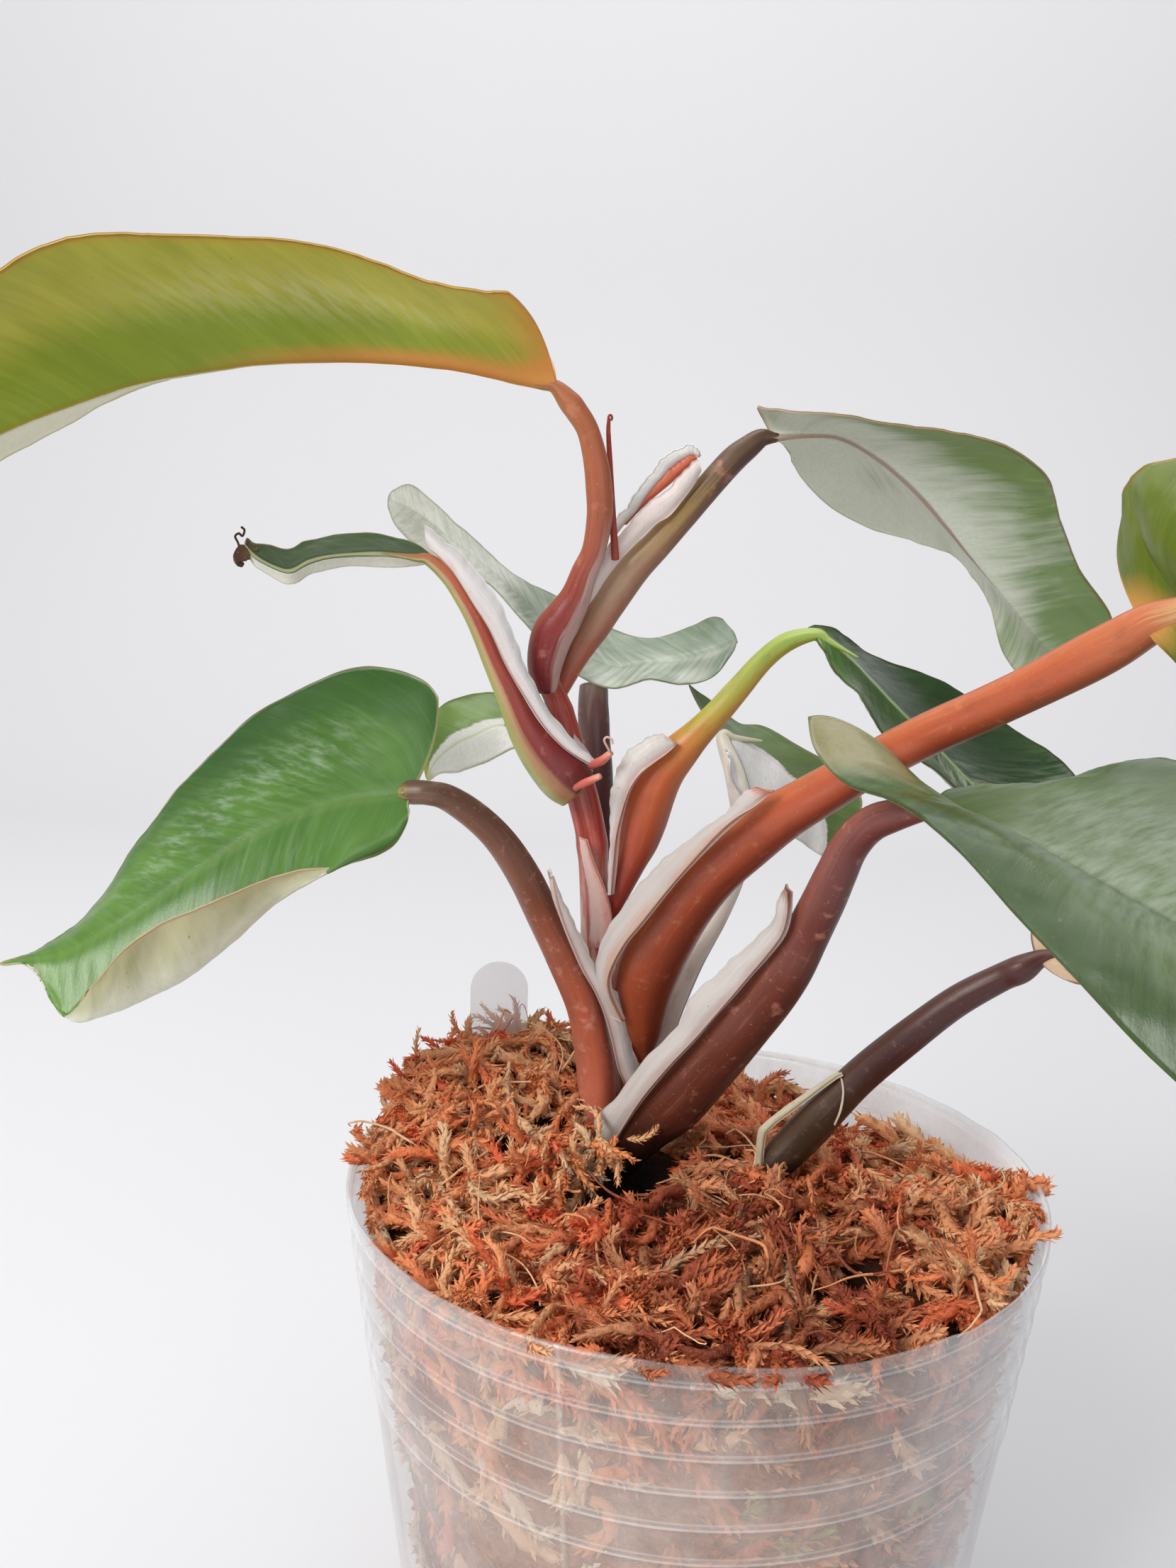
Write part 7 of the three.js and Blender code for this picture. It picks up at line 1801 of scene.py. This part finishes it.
# ------------------------------------------------------------------ cup
def cup_material():
    m = Nodes("cup_clear_plastic")
    p = position_mm(m)
    sep = m.new("ShaderNodeSeparateXYZ")
    m.t.links.new(p, sep.inputs[0])
    x, y, zc = sep.outputs
    th = m.math("ARCTAN2", y, x)
    big = m.noise(p, 0.06, 4.0, 0.6)
    fine = m.noise(m.combine(m.math("MULTIPLY", th, 18.0), m.math("MULTIPLY", zc, 0.25)), 1.0, 5.0, 0.6)
    dots = m.noise(p, 1.5, 2.0, 0.5)
    # painted highlight: a thin whiter, more opaque line along each rib's crest, standing in for the lamps' glint on it
    rel = m.math("DIVIDE", m.math("SUBTRACT", CUP_TOP_RIB_Z, zc), RIB_PITCH)
    near = m.math("ABSOLUTE", m.math("SUBTRACT", rel, m.math("ROUND", rel)))
    rib = m.math("SUBTRACT", 1.0, m.smoothstep(near, 0.018, 0.05))
    rib = m.math("MULTIPLY", rib, m.smoothstep(zc, CUP_TOP_RIB_Z - (RIB_COUNT - 0.5) * RIB_PITCH, CUP_TOP_RIB_Z - (RIB_COUNT - 0.6) * RIB_PITCH))
    seam = m.math("ABSOLUTE", m.math("ADD", th, 1.868))
    seam = m.math("SUBTRACT", 1.0, m.smoothstep(seam, 0.003, 0.008))
    haze = m.math("ADD", 0.22, m.math("MULTIPLY", m.math("SUBTRACT", big, 0.5), 0.44))
    haze = m.math("ADD", haze, m.math("MULTIPLY", m.math("SUBTRACT", fine, 0.5), 0.20))
    haze = m.math("ADD", haze, m.math("MULTIPLY", rib, 0.14))
    haze = m.math("ADD", haze, m.math("MULTIPLY", seam, 0.12))
    haze = m.math("ADD", haze, m.math("MULTIPLY", m.smoothstep(dots, 0.74, 0.79), 0.45))
    # painted reflection: the film grows hazier towards the cup's left and right sides, where the wall is seen at a
    # slant
    haze = m.math("ADD", haze, m.math("MULTIPLY", m.smoothstep(m.math("ABSOLUTE", m.math("SUBTRACT", x, -2.0)), 20.0, 42.0), 0.20))
    haze = m.math("MINIMUM", m.math("MAXIMUM", haze, 0.07), 0.85)
    # painted reflection: the film is whiter towards the cup's left and right sides
    edge = m.smoothstep(m.math("ABSOLUTE", m.math("ADD", x, 2.0)), 16.0, 40.0)
    col = m.mix(edge, rgb(226, 212, 202), rgb(238, 238, 242))
    # the painted rib highlight's colour
    col = m.mix(rib, col, rgb(238, 237, 236))
    nrm = m.bump(m.math("ADD", fine, m.math("MULTIPLY", m.noise(p, 0.5, 3.0, 0.6), 1.5)), 0.35, 0.0003)
    body = m.new("ShaderNodeBsdfPrincipled")
    m.put(body.inputs["Base Color"], col)
    body.inputs["Roughness"].default_value = 0.18
    body.inputs["Specular IOR Level"].default_value = 1.0
    body.inputs["Coat Weight"].default_value = 1.0
    body.inputs["Coat Roughness"].default_value = 0.07
    m.put(body.inputs["Normal"], nrm)
    m.put(body.inputs["Alpha"], haze)
    return m.finish(body.outputs[0])


def make_cup():
    n = 220
    ang = np.linspace(0, 2 * math.pi, n, endpoint=False)

    def rim(a):
        wavy = -0.45 * np.sin(a) + 0.2 * np.sin(3 * a + 1) + 0.12 * np.sin(7 * a)
        saw = (np.abs(((a * 30) % 1.0) - 0.5) - 0.25) * 0.35
        right = smooth(0.2, 0.9, np.cos(a + 0.35))
        step = 0.35 * np.tanh((np.cos(a) - math.cos(-0.86)) * 40) * smooth(-0.1, -0.6, np.sin(a))
        return wavy + saw * right + 0.10 * np.sin(23 * a) * np.sin(5 * a) - step * 0.8

    outer = [(0.0, 0.0), (16.0, 0.0), (26.0, 0.0), (wall_r(0) - 1.6, 0.0), (wall_r(0) - 0.7, 0.45), (wall_r(1.6), 1.7)]
    for zc in np.linspace(5, 60, 14):
        outer.append((wall_r(zc), zc))
    for k in range(RIB_COUNT - 1, -1, -1):
        zc = CUP_TOP_RIB_Z - k * RIB_PITCH
        outer += [(wall_r(zc) - 0.14, zc - 1.15), (wall_r(zc) - 0.06, zc - 0.65), (wall_r(zc) + 0.14, zc - 0.36), (wall_r(zc) + 0.26, zc - 0.12), (wall_r(zc) + 0.25, zc + 0.12), (wall_r(zc) + 0.12, zc + 0.36), (wall_r(zc) + 0.0, zc + 0.85)]
        if k:
            outer.append((wall_r(zc + 1.9) - 0.10, zc + 1.9))
    outer.append((wall_r(CUP_RIM_Z) + 0.1, CUP_RIM_Z))
    t = 0.45
    inner = [(wall_r(CUP_RIM_Z) - t + 0.1, CUP_RIM_Z)]
    for zc in (85, 80, 74, 68, 62, 50, 36, 20, 8):
        inner.append((wall_r(zc) - t - 0.15, zc))
    inner += [(wall_r(2.4) - t - 0.1, 2.2), (wall_r(0.9) - t - 1.3, 0.9), (26.0, 0.8), (16.0, 0.8), (0.0, 0.8)]
    rows = []
    prof = outer + inner
    n_out = len(outer)
    for i, (r, zc) in enumerate(prof):
        rr = np.full(n, r)
        zr = np.full(n, float(zc))
        if i in (n_out - 1, n_out):
            zr = zr + rim(ang)
        # shallow upright flutes below the ribs
        if r > 30 and 2 < zc < 61.5:
            f = np.exp(-((((ang * 14 / (2 * math.pi)) % 1.0 - 0.5) / 0.06) ** 2))
            band = smooth(2, 8, zc) * (1 - smooth(56, 61, zc))
            rr = rr - 0.42 * f * band
        rr = rr + 0.05 * np.sin(3 * ang + zc * 0.05) + 0.03 * np.sin(11 * ang + zc * 0.3) * (r > 30)
        if r < 1e-6:
            rr = np.zeros(n)
        rows.append(np.stack([rr * np.cos(ang), rr * np.sin(ang), zr], -1))
    # one point on the axis at each end
    V = np.concatenate(rows[1:-1])
    m = len(rows) - 2
    q = grid_quads(m, n, 0, False, wrap=True)
    c0 = len(V)
    V = np.vstack([V, [0, 0, 0.0], [0, 0, 0.8]])
    j = np.arange(n)
    last = (m - 1) * n
    tri = np.concatenate([np.stack([np.full(n, c0), (j + 1) % n, j], -1), np.stack([np.full(n, c0 + 1), last + j, last + (j + 1) % n], -1)])
    o = build_mesh("nursery_cup_look", V, quads=q, tris=tri, mats=[cup_material()])
    # drainage holes
    for k in range(DRAIN_COUNT):
        a = k / DRAIN_COUNT * 2 * math.pi + 0.3
        bpy.ops.mesh.primitive_cylinder_add(vertices=28, radius=DRAIN_R * MM, depth=0.006, location=(DRAIN_RING * MM * math.cos(a), DRAIN_RING * MM * math.sin(a), 0))
        cutter = bpy.context.object
        mod = o.modifiers.new("drain", "BOOLEAN")
        mod.operation = "DIFFERENCE"
        mod.solver = "EXACT"
        mod.object = cutter
        dg = bpy.context.evaluated_depsgraph_get()
        me = bpy.data.meshes.new_from_object(o.evaluated_get(dg))
        o.modifiers.clear()
        o.data = me
        bpy.data.objects.remove(cutter, do_unlink=True)
    o.data.polygons.foreach_set("use_smooth", np.ones(len(o.data.polygons), bool))
    add(o, "nursery_cup")


def make_label():
    m = Nodes("label_plastic")
    p = position_mm(m)
    n = m.noise(p, 0.8, 4.0, 0.6)
    col = m.mix(m.math("MULTIPLY", m.smoothstep(n, 0.45, 0.75), 0.25), rgb(226, 229, 233), rgb(205, 208, 213))
    mat = m.finish(m.bsdf(m.mix(0.5, col, rgb(250, 250, 250)), 0.45, m.bump(n, 0.15, 0.0002), spec=0.3, subsurface=0.0))
    for node in mat.node_tree.nodes:
        if node.type == "BSDF_PRINCIPLED":
            node.inputs["Alpha"].default_value = 0.31
    w, t, z0, z1 = 4.2, 0.3, 64.0, 107.0
    pts = [(-w, z0 + 6), (0, z0), (w, z0 + 6)]
    pts += [(w * math.cos(a), z1 - w + w * math.sin(a)) for a in np.linspace(0, math.pi, 25)]
    pts = np.array(pts)
    k = len(pts)
    lay = []
    for inset, yy in ((0.12, -t), (0.0, -t + 0.1), (0.0, t - 0.1), (0.12, t)):
        cen = np.array([0, (z0 + z1) / 2])
        q = pts + unit(cen - pts) * inset
        lay.append(np.stack([q[:, 0], np.full(k, yy), q[:, 1]], -1))
    V = np.concatenate(lay)
    a = 0.12
    rot = np.array([[math.cos(a), -math.sin(a), 0], [math.sin(a), math.cos(a), 0], [0, 0, 1]])
    V = V @ rot.T + np.array([-29.6, 21.5, 0])
    me = bpy.data.meshes.new("plant_label_look")
    faces = [list(range(k)), list(range(3 * k, 4 * k))[::-1]]
    for l in range(3):
        for i in range(k):
            j = (i + 1) % k
            faces.append([l * k + j, l * k + i, (l + 1) * k + i, (l + 1) * k + j])
    me.from_pydata((V * MM).tolist(), [], faces)
    me.materials.append(mat)
    me.update()
    o = bpy.data.objects.new("plant_label_look", me)
    bpy.context.scene.collection.objects.link(o)
    add(o, "plant_label")


# ------------------------------------------------------------------ room, light and camera
def make_stage():
    m = Nodes("backdrop_paper")
    p = m.new("ShaderNodeTexCoord").outputs["Object"]
    n = m.noise(p, 6.0, 3.0, 0.5)
    col = m.mix(n, rgb(216, 216, 218), rgb(214, 214, 217))
    mat = m.finish(m.bsdf(col, 0.85, None, spec=0.15))
    pts = [(-2.4, 0.0), (0.52, 0.0)]
    for a in np.linspace(0, math.pi / 2, 20)[1:]:
        pts.append((0.52 + 0.33 * math.sin(a), 0.33 - 0.33 * math.cos(a)))
    pts.append((0.85, 1.8))
    verts, faces = [], []
    for i, (yy, zz) in enumerate(pts):
        verts += [(-2.2, yy, zz), (2.2, yy, zz)]
        if i:
            b = 2 * i
            faces.append((b - 2, b - 1, b + 1, b))
    me = bpy.data.meshes.new("floor_and_backdrop")
    me.from_pydata(verts, [], faces)
    me.materials.append(mat)
    for f in me.polygons:
        f.use_smooth = True
    me.update()
    o = bpy.data.objects.new("floor_and_backdrop", me)
    bpy.context.scene.collection.objects.link(o)

    world = bpy.data.worlds.new("studio")
    bpy.context.scene.world = world
    world.use_nodes = True
    bg = world.node_tree.nodes["Background"]
    bg.inputs["Color"].default_value = (0.985, 0.985, 0.99, 1)
    bg.inputs["Strength"].default_value = WORLD

    def area(name, loc, target, size, power, color=(1, 1, 1)):
        li = bpy.data.lights.new(name, "AREA")
        li.shape = "RECTANGLE"
        li.size, li.size_y = size
        li.energy = power
        li.color = color
        ob = bpy.data.objects.new(name, li)
        ob.location = loc
        d = Vector(target) - Vector(loc)
        ob.rotation_euler = d.to_track_quat("-Z", "Y").to_euler()
        bpy.context.scene.collection.objects.link(ob)

    area("key", (-0.66, -0.74, 0.78), (0, 0, 0.10), (0.55, 0.55), 11.5, (1.0, 0.985, 0.96))
    area("top", (-0.10, 0.0, 0.80), (0, 0, 0.10), (0.5, 0.5), 1.7, (1.0, 1.0, 1.0))
    area("backdrop_light", (0.0, 0.30, 1.10), (0.0, 0.85, 0.30), (1.2, 0.3), 4.2, (1.0, 1.0, 1.0))
    area("fill", (0.30, -0.85, 0.30), (0, 0, 0.09), (0.6, 0.6), 1.5, (0.96, 0.97, 1.0))


WORLD = 0.385


def make_camera():
    cam = bpy.data.cameras.new("photo_camera")
    cam.sensor_fit = "HORIZONTAL"
    cam.sensor_width = 36.0
    cam.lens = 2000.0 * 36.0 / 1659.0
    cam.clip_start = 0.005
    cam.clip_end = 10
    ob = bpy.data.objects.new("photo_camera", cam)
    fw = Vector((-0.08689588, 0.9755723, -0.20176174))
    rt = Vector((0.99510362, 0.09457411, 0.02871441))
    up = Vector((-0.04709442, 0.19827868, 0.97901363))
    m = Matrix((rt, up, -fw)).transposed().to_4x4()
    m.translation = Vector((0.0, -0.1742, 0.1746))
    ob.matrix_world = m
    bpy.context.scene.collection.objects.link(ob)
    bpy.context.scene.camera = ob


make_stage()
make_camera()
make_cup()
make_label()
make_moss()
make_stem()
make_stalks()
make_small()
make_blades()

vs = bpy.context.scene.view_settings
vs.view_transform = "Standard"
vs.look = "None"
vs.exposure = 0.0
vs.gamma = 1.0
